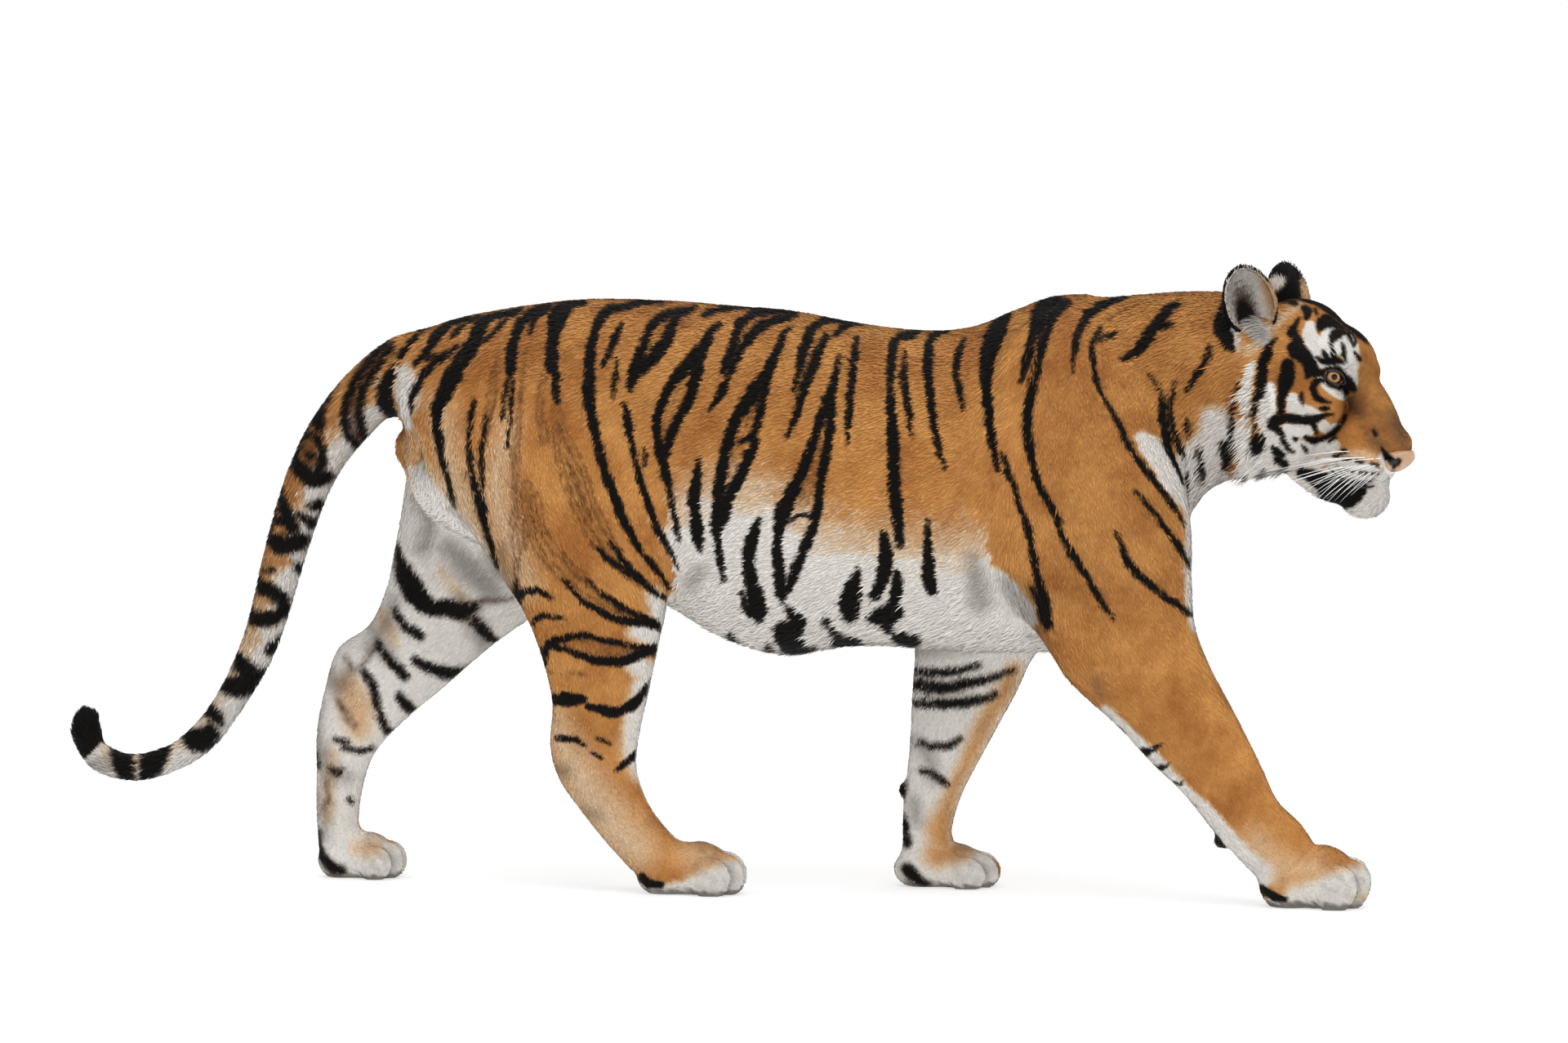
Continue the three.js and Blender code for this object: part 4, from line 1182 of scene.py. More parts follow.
FLANK_BLACK = (
    # root of the tail and rump
    ((-448, 887, 4), (-465, 871, 11), (-485, 858, 10), (-500, 840, 12), (-510, 822, 14), (-519, 805, 10),
     (-521, 780, 5)),
    ((-462, 920, 6), (-478, 908, 13), (-490, 890, 15), (-497, 875, 12), (-519, 855, 4)),
    ((-430, 935, 10), (-460, 925, 12), (-480, 912, 8)),
    ((-415, 936, 5), (-440, 918, 6), (-458, 900, 4)),
    ((-480, 873, 4), (-498, 864, 4)),
    ((-345, 946, 8), (-385, 936, 12), (-405, 925, 20), (-412, 905, 24)),
    ((-415, 905, 12), (-432, 885, 9), (-450, 858, 8), (-455, 840, 12)),
    ((-408, 905, 14), (-422, 880, 16), (-438, 855, 17), (-450, 838, 22)),
    ((-452, 834, 30), (-464, 810, 24), (-475, 788, 18), (-477, 765, 13), (-474, 735, 12), (-469, 710, 10),
     (-462, 680, 8), (-455, 650, 6), (-449, 622, 3)),
    ((-352, 940, 4), (-374, 924, 7), (-386, 908, 6), (-403, 890, 2)),
    # haunch
    ((-298, 953, 8), (-320, 944, 14), (-341, 927, 16), (-350, 905, 15), (-356, 880, 15), (-358, 855, 15),
     (-356, 838, 13)),
    ((-305, 945, 8), (-322, 930, 8), (-328, 905, 3)),
    ((-362, 830, 6), (-367, 800, 5), (-369, 765, 3)),
    ((-353, 830, 6), (-354, 800, 5), (-357, 760, 4), (-362, 720, 3)),
    ((-240, 957, 8), (-262, 953, 16), (-278, 943, 28), (-285, 928, 29), (-289, 906, 20), (-290, 878, 19),
     (-291, 853, 18), (-284, 838, 11), (-284, 815, 9), (-281, 795, 8)),
    ((-415, 800, 4), (-421, 765, 6), (-424, 727, 6), (-422, 696, 7), (-418, 664, 8), (-411, 640, 9),
     (-402, 615, 13), (-397, 595, 10), (-390, 565, 8), (-383, 540, 6), (-380, 528, 3)),
    ((-395, 770, 4), (-403, 727, 6), (-402, 690, 5), (-403, 655, 5), (-398, 620, 8)),
    # back and flank
    ((-110, 958, 5), (-148, 957, 10), (-178, 950, 12), (-198, 945, 14), (-211, 934, 18), (-220, 915, 13),
     (-226, 890, 14), (-229, 862, 14), (-229, 835, 17), (-231, 805, 18), (-226, 775, 16), (-220, 745, 13),
     (-212, 712, 13), (-203, 680, 13), (-192, 650, 13), (-173, 603, 11), (-154, 566, 9), (-130, 534, 8),
     (-104, 500, 6), (-94, 482, 3)),
    ((-179, 922, 4), (-187, 900, 11), (-198, 875, 9), (-208, 852, 3)),
    ((-182, 865, 2), (-188, 835, 7), (-192, 800, 2)),
    ((-60, 948, 5), (-100, 938, 12), (-127, 922, 14), (-140, 895, 13), (-150, 866, 15), (-157, 840, 20),
     (-164, 810, 5)),
    ((-60, 950, 6), (-85, 935, 12), (-97, 915, 14), (-105, 893, 18), (-125, 868, 20), (-148, 848, 18)),
    ((-17, 922, 4), (-33, 905, 11), (-48, 880, 20), (-70, 853, 20), (-95, 825, 14), (-111, 795, 12),
     (-120, 762, 12), (-118, 732, 12), (-110, 700, 14), (-104, 670, 9), (-96, 635, 6), (-90, 600, 7),
     (-84, 569, 3)),
    ((-50, 872, 14), (-56, 835, 16), (-66, 804, 15), (-80, 775, 13), (-95, 745, 14), (-105, 715, 14)),
    ((-172, 790, 5), (-167, 765, 13), (-160, 725, 8), (-150, 677, 9), (-134, 631, 10), (-119, 588, 10),
     (-104, 561, 8), (-86, 526, 3)),
    ((-141, 720, 3), (-139, 705, 5), (-138, 688, 2)),
    ((105, 938, 8), (70, 944, 12), (36, 938, 12), (17, 925, 14), (7, 903, 12), (0, 878, 12),
     (-9, 855, 12), (-13, 843, 8)),
    ((102, 934, 6), (67, 925, 14), (40, 911, 14), (23, 888, 12), (8, 864, 12), (-3, 839, 10),
     (-15, 810, 12), (-35, 780, 3)),
    ((60, 950, 4), (0, 948, 8), (-30, 943, 9), (-46, 935, 5)),
    ((97, 915, 4), (84, 905, 8), (75, 878, 12), (61, 847, 16), (44, 820, 20), (28, 797, 22),
     (14, 775, 18), (1, 747, 18), (-8, 716, 16), (-15, 681, 16), (-20, 642, 18), (-22, 607, 18),
     (-23, 575, 10), (-18, 542, 8), (-12, 505, 5)),
    ((60, 840, 12), (50, 800, 11), (46, 770, 12), (38, 745, 10), (15, 728, 8)),
    ((40, 732, 10), (28, 702, 14), (12, 668, 14), (-3, 640, 16), (-15, 600, 14)),
    ((205, 926, 6), (160, 928, 10), (137, 919, 12), (125, 900, 14), (115, 870, 12), (108, 843, 10),
     (100, 812, 4)),
    ((152, 900, 8), (138, 868, 13), (125, 835, 12), (113, 801, 10), (102, 766, 9), (88, 735, 3)),
    ((215, 925, 8), (190, 922, 14), (170, 905, 8)),
    ((174, 868, 4), (168, 835, 11), (157, 800, 14), (145, 770, 14), (135, 739, 12), (124, 708, 14),
     (112, 677, 16), (97, 646, 20), (83, 615, 22), (76, 584, 14), (74, 553, 14), (77, 522, 16),
     (80, 491, 14), (82, 472, 5)),
    ((160, 800, 12), (160, 758, 13), (154, 716, 12), (146, 677, 12), (141, 638, 13), (136, 607, 12),
     (124, 573, 13), (109, 538, 14), (98, 507, 14), (84, 478, 6)),
    ((137, 607, 4), (110, 612, 4), (90, 600, 4)),
    # belly
    ((45, 606, 5), (36, 580, 15), (28, 549, 17), (30, 518, 20), (38, 487, 24), (46, 460, 22),
     (48, 448, 10)),
    ((17, 484, 8), (28, 460, 14), (46, 446, 10)),
    ((-52, 702, 3), (-55, 672, 12), (-60, 642, 18), (-56, 611, 14), (-55, 584, 20), (-50, 555, 4)),
    ((0, 418, 12), (8, 402, 10)),
    ((92, 463, 6), (108, 440, 26)),
    ((105, 430, 24), (80, 430, 16), (95, 405, 34), (122, 392, 14)),
    ((60, 400, 8), (66, 388, 8)),
    ((134, 398, 8), (130, 388, 6)),
    ((152, 443, 8), (166, 422, 10)),
    ((172, 410, 20), (195, 402, 26), (208, 400, 20)),
    ((205, 528, 4), (197, 503, 20), (192, 476, 32), (193, 456, 28)),
    ((243, 584, 6), (248, 555, 18), (247, 530, 22), (242, 505, 18), (232, 482, 12)),
    ((266, 520, 8), (266, 490, 16), (260, 470, 10)),
    ((225, 448, 10), (250, 452, 34), (270, 458, 14)),
    ((250, 445, 26), (255, 428, 14)),
    ((315, 604, 3), (315, 566, 12), (317, 530, 18), (319, 505, 20), (322, 490, 14)),
    ((268, 415, 14), (285, 412, 20), (300, 410, 18)),
    ((478, 500, 6), (492, 475, 10), (500, 450, 12), (510, 432, 6)),
    # ribs
    ((201, 898, 5), (198, 860, 12), (193, 819, 10), (190, 785, 9), (188, 754, 8), (186, 727, 3)),
    ((305, 909, 6), (288, 902, 14), (268, 896, 14), (260, 877, 12), (256, 842, 12), (255, 804, 11),
     (258, 765, 14), (260, 723, 17), (261, 681, 17), (263, 642, 19), (267, 604, 15), (271, 562, 8)),
    ((281, 878, 3), (277, 842, 8), (281, 808, 8), (285, 777, 8), (289, 738, 3)),
    ((350, 909, 5), (335, 906, 10), (322, 894, 12), (317, 868, 13), (316, 842, 14), (319, 808, 13),
     (322, 781, 11), (326, 750, 9), (333, 719, 8), (343, 684, 3)),
    ((376, 896, 3), (365, 870, 9), (361, 842, 9), (366, 812, 8), (372, 778, 4)),
    ((450, 938, 6), (440, 925, 16), (428, 908, 26), (418, 885, 26), (411, 860, 22), (410, 827, 17),
     (411, 792, 14), (415, 754, 12), (420, 719, 10), (428, 681, 4)),
    ((434, 712, 3), (447, 672, 8), (460, 631, 6), (474, 597, 8), (480, 558, 7), (489, 519, 9),
     (501, 475, 12), (512, 436, 6)),
    # shoulder
    ((530, 957, 14), (508, 950, 24), (497, 932, 22), (490, 910, 18), (480, 885, 14), (472, 852, 10),
     (463, 823, 3)),
    ((545, 955, 8), (530, 944, 14), (515, 925, 12), (504, 898, 12), (495, 872, 11), (488, 838, 10),
     (479, 800, 12), (474, 769, 12), (474, 738, 12), (480, 704, 10), (490, 665, 9), (506, 635, 9),
     (520, 608, 10), (528, 580, 8), (546, 548, 8), (566, 515, 9), (589, 477, 7), (609, 446, 4)),
    ((640, 962, 5), (609, 954, 11), (582, 940, 13), (565, 921, 11), (554, 897, 8), (548, 869, 6),
     (546, 839, 3)),
    ((597, 912, 4), (584, 897, 7), (578, 873, 7), (579, 845, 7), (585, 821, 6), (599, 791, 5),
     (619, 756, 7), (633, 725, 8), (650, 698, 7), (671, 671, 7), (695, 640, 7), (712, 615, 5),
     (722, 594, 2)),
    ((590, 893, 4), (604, 897, 7), (618, 903, 5)),
    ((803, 974, 6), (799, 955, 16), (792, 934, 24), (788, 911, 27), (793, 890, 20), (800, 877, 6)),
    ((719, 950, 8), (702, 940, 14), (685, 921, 14), (669, 897, 18), (655, 878, 16), (640, 867, 10),
     (624, 862, 5)),
    ((708, 918, 4), (692, 915, 10), (675, 905, 10)),
    ((643, 652, 2), (666, 624, 5), (687, 596, 7), (704, 575, 8), (721, 551, 8), (734, 526, 4)),
    ((612, 585, 3), (623, 561, 5), (633, 537, 9), (650, 516, 11), (674, 496, 10), (694, 480, 10),
     (715, 466, 8), (735, 452, 6)),
    # neck
    ((766, 882, 4), (758, 855, 8), (745, 835, 8), (728, 811, 4)),
    ((712, 828, 2), (704, 797, 6), (702, 773, 7), (709, 746, 6), (718, 719, 8), (726, 688, 7),
     (731, 660, 5), (734, 640, 2)),
    ((690, 800, 5), (690, 765, 12), (696, 735, 13), (704, 706, 10), (717, 682, 8), (728, 657, 4)),
    ((668, 838, 2), (680, 822, 3), (690, 805, 4)),
    ((729, 770, 2), (731, 752, 5), (733, 735, 2)),
    ((750, 718, 6), (754, 690, 9), (758, 662, 3)),
    ((790, 728, 8), (793, 708, 12), (797, 688, 8)),
    ((811, 822, 4), (804, 792, 7), (800, 760, 6), (802, 730, 7), (806, 700, 8)),
    ((815, 668, 8), (820, 655, 4)),
    # thigh, lower edges of the rust bands
    ((-196, 570, 4), (-175, 540, 9), (-150, 512, 9), (-128, 490, 7), (-104, 474, 4)),
    ((-215, 560, 5), (-190, 535, 8), (-165, 515, 8)),
    ((-270, 505, 4), (-245, 480, 7), (-220, 462, 8), (-190, 446, 10), (-158, 438, 11), (-130, 436, 11),
     (-112, 425, 9)),
    ((-235, 508, 3), (-208, 486, 6), (-175, 462, 7), (-150, 449, 8), (-125, 438, 10)),
    ((-349, 505, 5), (-347, 480, 9), (-352, 465, 8)),
    # near hind leg
    ((-346, 470, 8), (-340, 484, 9), (-325, 492, 9), (-308, 489, 8), (-291, 480, 4)),
    ((-320, 436, 5), (-308, 447, 9), (-290, 449, 6), (-270, 446, 3)),
    ((-303, 370, 6), (-303, 388, 9), (-296, 402, 10), (-285, 408, 10), (-262, 415, 9), (-236, 418, 8),
     (-210, 411, 7), (-182, 405, 7), (-152, 398, 9), (-120, 397, 11)),
    ((-298, 402, 8), (-268, 395, 7), (-244, 386, 9), (-218, 377, 12), (-190, 374, 14), (-164, 380, 13),
     (-138, 389, 13), (-118, 395, 11)),
    ((-292, 312, 12), (-278, 314, 18), (-262, 312, 20), (-240, 312, 10)),
    ((-232, 302, 8), (-210, 297, 13), (-188, 292, 15), (-165, 302, 13), (-145, 321, 10), (-126, 350, 4)),
    ((-284, 249, 6), (-266, 250, 9), (-256, 250, 7), (-240, 240, 5)),
    ((-217, 249, 4), (-198, 241, 5)),
    ((-228, 227, 3), (-211, 219, 5)),
    ((-145, 247, 4), (-152, 231, 6), (-167, 212, 8), (-190, 196, 3)),
    ((-146, 22, 12), (-135, 14, 14), (-115, 11, 8)),
    # near foreleg
    ((652, 235, 6), (662, 232, 10), (675, 236, 6), (688, 246, 2)),
    ((676, 209, 4), (686, 207, 7), (698, 212, 3)),
    ((714, 182, 4), (722, 183, 4)),
    ((776, 98, 6), (783, 85, 10), (794, 71, 8)),
    ((850, 14, 10), (865, 5, 12), (885, -2, 8)),
)

FLANK_RUST = (
    ((-326, 887, 3), (-337, 868, 7), (-337, 835, 8), (-341, 800, 7), (-345, 760, 5)),
    ((-378, 880, 2), (-385, 850, 5), (-392, 810, 6), (-395, 770, 6), (-400, 730, 6)),
    ((-374, 862, 2), (-379, 830, 6), (-385, 790, 6), (-392, 750, 6), (-400, 715, 4)),
    ((-341, 800, 8), (-342, 760, 9), (-345, 725, 10), (-345, 690, 9), (-352, 650, 8)),
    ((-300, 845, 10), (-307, 812, 12), (-309, 775, 12), (-300, 735, 16)),
    ((-283, 790, 16), (-278, 750, 24), (-268, 715, 36), (-255, 680, 44), (-243, 645, 44), (-225, 605, 40),
     (-205, 570, 34), (-180, 535, 26), (-155, 512, 16), (-129, 492, 10), (-104, 475, 5)),
    ((-320, 640, 30), (-315, 600, 30), (-300, 560, 34), (-270, 525, 34), (-240, 498, 34), (-215, 478, 30),
     (-190, 462, 26), (-160, 448, 20), (-130, 438, 14)),
    ((-352, 720, 8), (-350, 680, 8), (-348, 640, 10), (-350, 600, 12), (-346, 560, 12), (-347, 520, 10),
     (-350, 485, 10), (-352, 468, 8)),
    ((-330, 660, 16), (-328, 620, 18), (-330, 590, 14), (-335, 560, 8)),
    # brown between doubled stripes
    ((-75, 925, 22), (-112, 905, 18), (-128, 880, 14)),
    ((-60, 850, 14), (-84, 800, 18), (-108, 745, 16)),
    ((60, 933, 12), (24, 905, 8), (5, 866, 8)),
    ((50, 818, 14), (30, 770, 22), (20, 740, 16), (5, 690, 16), (-8, 640, 14)),
    ((135, 890, 10), (122, 850, 10), (108, 810, 10)),
    ((150, 770, 14), (145, 720, 16), (130, 670, 18), (116, 630, 14)),
    ((402, 898, 6), (417, 912, 6)),
    ((606, 928, 6), (622, 936, 8), (642, 945, 5)),
    ((-262, 405, 12), (-230, 400, 18), (-195, 393, 16), (-165, 392, 8)),
    ((-298, 357, 3), (-290, 357, 5)),
    ((-258, 356, 3), (-245, 354, 6), (-235, 352, 3)),
    ((738, 150, 3), (746, 146, 4)),
    ((624, 270, 3), (632, 262, 5)),
)

FLANK_WHITE = (
    ((800, 925, 6), (808, 908, 12), (810, 888, 12)),
    ((-506, 690, 6), (-490, 655, 14), (-462, 615, 14), (-430, 575, 12), (-400, 535, 8), (-375, 505, 4)),
    ((-535, 840, 22), (-530, 815, 34), (-535, 790, 30)),
    ((-520, 690, 6), (-512, 662, 20), (-500, 636, 20)),
    ((655, 735, 14), (675, 715, 34), (695, 690, 40), (712, 660, 36), (728, 630, 20)),
    ((740, 700, 40), (770, 720, 50), (740, 660, 30)),
    ((775, 760, 40), (790, 735, 50)),
    ((418, 520, 16), (440, 485, 44), (462, 448, 50)),
    ((-125, 480, 14), (-118, 460, 16), (-112, 425, 14)),
    ((-150, 425, 20), (-125, 415, 24)),
    ((-160, 375, 14), (-140, 360, 24), (-130, 345, 20)),
    ((-146, 335, 18), (-152, 295, 24), (-160, 250, 24), (-160, 215, 16), (-146, 185, 8)),
    ((-60, 10, 18), (-30, 18, 30), (5, 28, 36)),
    ((600, 300, 10), (640, 258, 16), (680, 215, 20), (720, 170, 24), (766, 125, 26), (812, 69, 28),
     (845, 35, 26)),
    ((905, 0, 24), (940, 8, 30), (975, 20, 38), (1010, 28, 38)),
    ((733, 640, 14), (735, 600, 16), (736, 550, 18), (738, 500, 20), (738, 460, 14), (742, 430, 10)),
)

FLANK_CREAM = (
    ((-470, 790, 20), (-455, 700, 40), (-430, 620, 50), (-400, 560, 40)),
    ((-290, 290, 30), (-262, 210, 60), (-215, 130, 76), (-160, 70, 70)),
    ((-360, 760, 20), (-380, 640, 40), (-330, 500, 30)),
    ((840, 90, 30), (880, 50, 30), (930, 50, 20)),
    ((-70, 60, 20), (-40, 60, 20)),
)

FLANK_SMOKE_AND_SHADE = (
    # the first two rows are painted shade in the armpit behind the near foreleg
    ((386, 545, 10), (394, 510, 26), (402, 475, 30)),
    ((440, 505, 14), (468, 472, 34), (492, 430, 20)),
    ((-66, 500, 8), (-50, 520, 16)),
    ((583, 350, 8), (592, 325, 8)),
    ((-282, 198, 8), (-270, 195, 12)),
    ((-236, 128, 10), (-220, 122, 10)),
    ((-372, 560, 10), (-366, 520, 16), (-356, 490, 12)),
)

INNER_SMOKE_AND_SHADE = (
    # grey on the inner faces of the far legs, mostly painted shade, deepest in the crease where the far thigh
    # meets the belly
    ((-470, 560, 24), (-430, 520, 40), (-400, 490, 34)),
    ((-450, 470, 20), (-425, 430, 30), (-415, 400, 20)),
    ((-690, 305, 8), (-694, 260, 12), (-694, 215, 12)),
    ((-560, 470, 10), (-575, 430, 20), (-600, 395, 16)),
    ((-410, 610, 20), (-395, 565, 34), (-385, 520, 30)),
    ((-520, 640, 10), (-500, 600, 20), (-510, 560, 20)),
    ((-690, 250, 14), (-680, 210, 22), (-670, 170, 18)),
    ((-690, 150, 8), (-680, 110, 8)),
    ((-668, 350, 14), (-655, 328, 26), (-640, 350, 16)),
    ((-655, 192, 8), (-640, 176, 14)),
    ((-600, 430, 10), (-585, 400, 22), (-570, 380, 14)),
    ((-674, 130, 8), (-678, 80, 12)),
    ((300, 330, 10), (340, 325, 16), (380, 330, 10)),
    ((390, 400, 20), (330, 395, 26), (300, 390, 20)),
    ((296, 240, 10), (320, 225, 14), (330, 180, 12)),
    ((300, 140, 10), (304, 110, 10)),
)

INNER_BLACK = (
    # far hind leg
    ((-556, 560, 4), (-553, 540, 12), (-543, 514, 28), (-528, 488, 34), (-513, 468, 28), (-495, 457, 22),
     (-475, 458, 22), (-455, 453, 26), (-438, 455, 18), (-425, 462, 10)),
    ((-428, 440, 8), (-416, 424, 14), (-400, 408, 12), (-390, 402, 6)),
    ((-560, 455, 5), (-545, 430, 8), (-530, 420, 10), (-515, 411, 8)),
    ((-528, 374, 5), (-510, 362, 12), (-490, 356, 15), (-472, 350, 17), (-455, 352, 12), (-443, 357, 6)),
    ((-588, 400, 5), (-575, 380, 10), (-560, 362, 12), (-543, 345, 10)),
    ((-612, 352, 5), (-597, 330, 9), (-590, 300, 8), (-585, 280, 8), (-577, 262, 10), (-567, 242, 6)),
    ((-552, 312, 8), (-541, 296, 14), (-528, 283, 8)),
    ((-645, 228, 3), (-622, 220, 5), (-598, 225, 3)),
    ((-668, 192, 3), (-655, 183, 6), (-648, 188, 3)),
    ((-637, 142, 4), (-634, 136, 5)),
    ((-660, 240, 3), (-640, 236, 4)),
    ((-695, 215, 6), (-692, 195, 8)),
    ((-690, 85, 8), (-688, 60, 8), (-680, 42, 12), (-664, 28, 16), (-648, 22, 10)),
    # far foreleg
    ((294, 355, 8), (328, 353, 10), (364, 356, 8), (405, 366, 3)),
    ((294, 335, 10), (318, 331, 14), (354, 329, 13), (390, 338, 10), (425, 345, 7), (461, 358, 3)),
    ((294, 303, 5), (328, 302, 10), (364, 302, 12), (399, 308, 9), (430, 318, 6)),
    ((308, 238, 3), (328, 233, 6), (354, 234, 7), (374, 246, 3)),
    ((312, 192, 3), (330, 187, 5), (345, 177, 6), (350, 170, 4)),
    ((264, 170, 38), (268, 158, 34)),
    ((270, 112, 26), (276, 98, 26)),
    ((284, 80, 16), (288, 74, 10)),
    ((287, 31, 16), (304, 14, 14), (322, 7, 6)),
)

INNER_RUST = (
    ((-640, 375, 8), (-632, 360, 8), (-618, 360, 6), (-605, 378, 6), (-590, 395, 8)),
    ((-415, 470, 10), (-390, 472, 8), (-365, 474, 6)),
    ((-655, 305, 6), (-642, 284, 12), (-628, 262, 8)),
    ((-676, 168, 4), (-672, 146, 7), (-676, 124, 4)),
)

INNER_TAN = (
    ((-585, 450, 22), (-572, 425, 26), (-560, 405, 20)),
    ((-640, 330, 50), (-622, 295, 64), (-620, 260, 50)),
    ((-664, 215, 20), (-670, 160, 24), (-672, 110, 22)),
    ((-480, 520, 14), (-450, 480, 20), (-430, 440, 14)),
    ((-620, 60, 30), (-595, 62, 40)),
    ((462, 360, 20), (447, 325, 30), (421, 284, 30), (401, 243, 30), (386, 208, 26), (370, 177, 24),
     (355, 142, 26), (345, 111, 40), (340, 90, 44), (350, 65, 30)),
    ((335, 55, 40), (365, 60, 34), (391, 65, 20)),
)

TAIL_BLACK = (
    ((-572, 893, 14), (-586, 875, 10), (-604, 850, 9), (-620, 828, 9), (-632, 795, 9), (-636, 765, 9),
     (-626, 735, 10), (-610, 722, 14)),
    ((-560, 885, 10), (-582, 855, 9), (-600, 825, 9), (-610, 795, 9), (-612, 765, 10), (-606, 735, 10)),
    ((-508, 918, 6), (-526, 893, 13), (-542, 866, 14), (-556, 843, 18), (-568, 818, 22), (-568, 795, 22),
     (-558, 778, 16)),
    ((-655, 822, 5), (-670, 800, 14), (-680, 780, 18), (-681, 760, 16), (-678, 748, 6)),
    ((-700, 760, 5), (-706, 745, 8)),
    ((-700, 742, 8), (-712, 732, 12), (-719, 712, 12), (-716, 692, 18), (-700, 675, 22), (-680, 672, 22),
     (-664, 676, 12)),
    ((-700, 742, 8), (-684, 738, 10), (-675, 722, 10), (-675, 700, 12), (-680, 685, 14)),
    ((-692, 711, 7), (-693, 707, 7)),
    ((-745, 655, 6), (-741, 635, 12), (-733, 612, 16), (-724, 590, 18)),
    ((-750, 640, 6), (-756, 618, 8), (-750, 604, 10), (-735, 600, 10)),
    ((-768, 574, 14), (-752, 566, 22), (-735, 562, 26), (-718, 566, 24), (-706, 572, 14)),
    ((-762, 592, 8), (-768, 580, 10)),
    ((-694, 627, 8), (-680, 627, 16)),
    ((-715, 612, 6), (-702, 604, 10), (-688, 596, 12)),
    ((-768, 520, 4), (-758, 522, 4)),
    ((-719, 527, 8), (-712, 520, 10)),
    ((-782, 500, 12), (-772, 490, 20), (-755, 483, 16), (-742, 468, 18), (-738, 450, 16)),
    ((-797, 455, 10), (-792, 444, 18), (-775, 438, 20), (-757, 444, 18), (-742, 452, 14)),
    ((-750, 405, 8), (-758, 392, 18), (-765, 386, 8)),
    ((-820, 378, 12), (-812, 365, 22), (-800, 352, 26)),
    ((-842, 332, 16), (-825, 328, 28), (-805, 332, 32), (-788, 342, 22), (-780, 352, 10)),
    ((-868, 290, 16), (-858, 282, 18), (-850, 272, 10)),
    ((-905, 250, 14), (-892, 240, 30), (-878, 240, 34), (-866, 252, 24)),
    ((-950, 232, 36), (-962, 205, 36), (-972, 180, 22)),
    ((-1018, 222, 24), (-1012, 205, 28), (-1006, 180, 24)),
)

TAIL_RUST = (
    ((-572, 880, 14), (-600, 845, 26), (-620, 800, 30), (-622, 765, 26), (-614, 735, 22)),
    ((-697, 720, 22), (-695, 700, 18)),
)

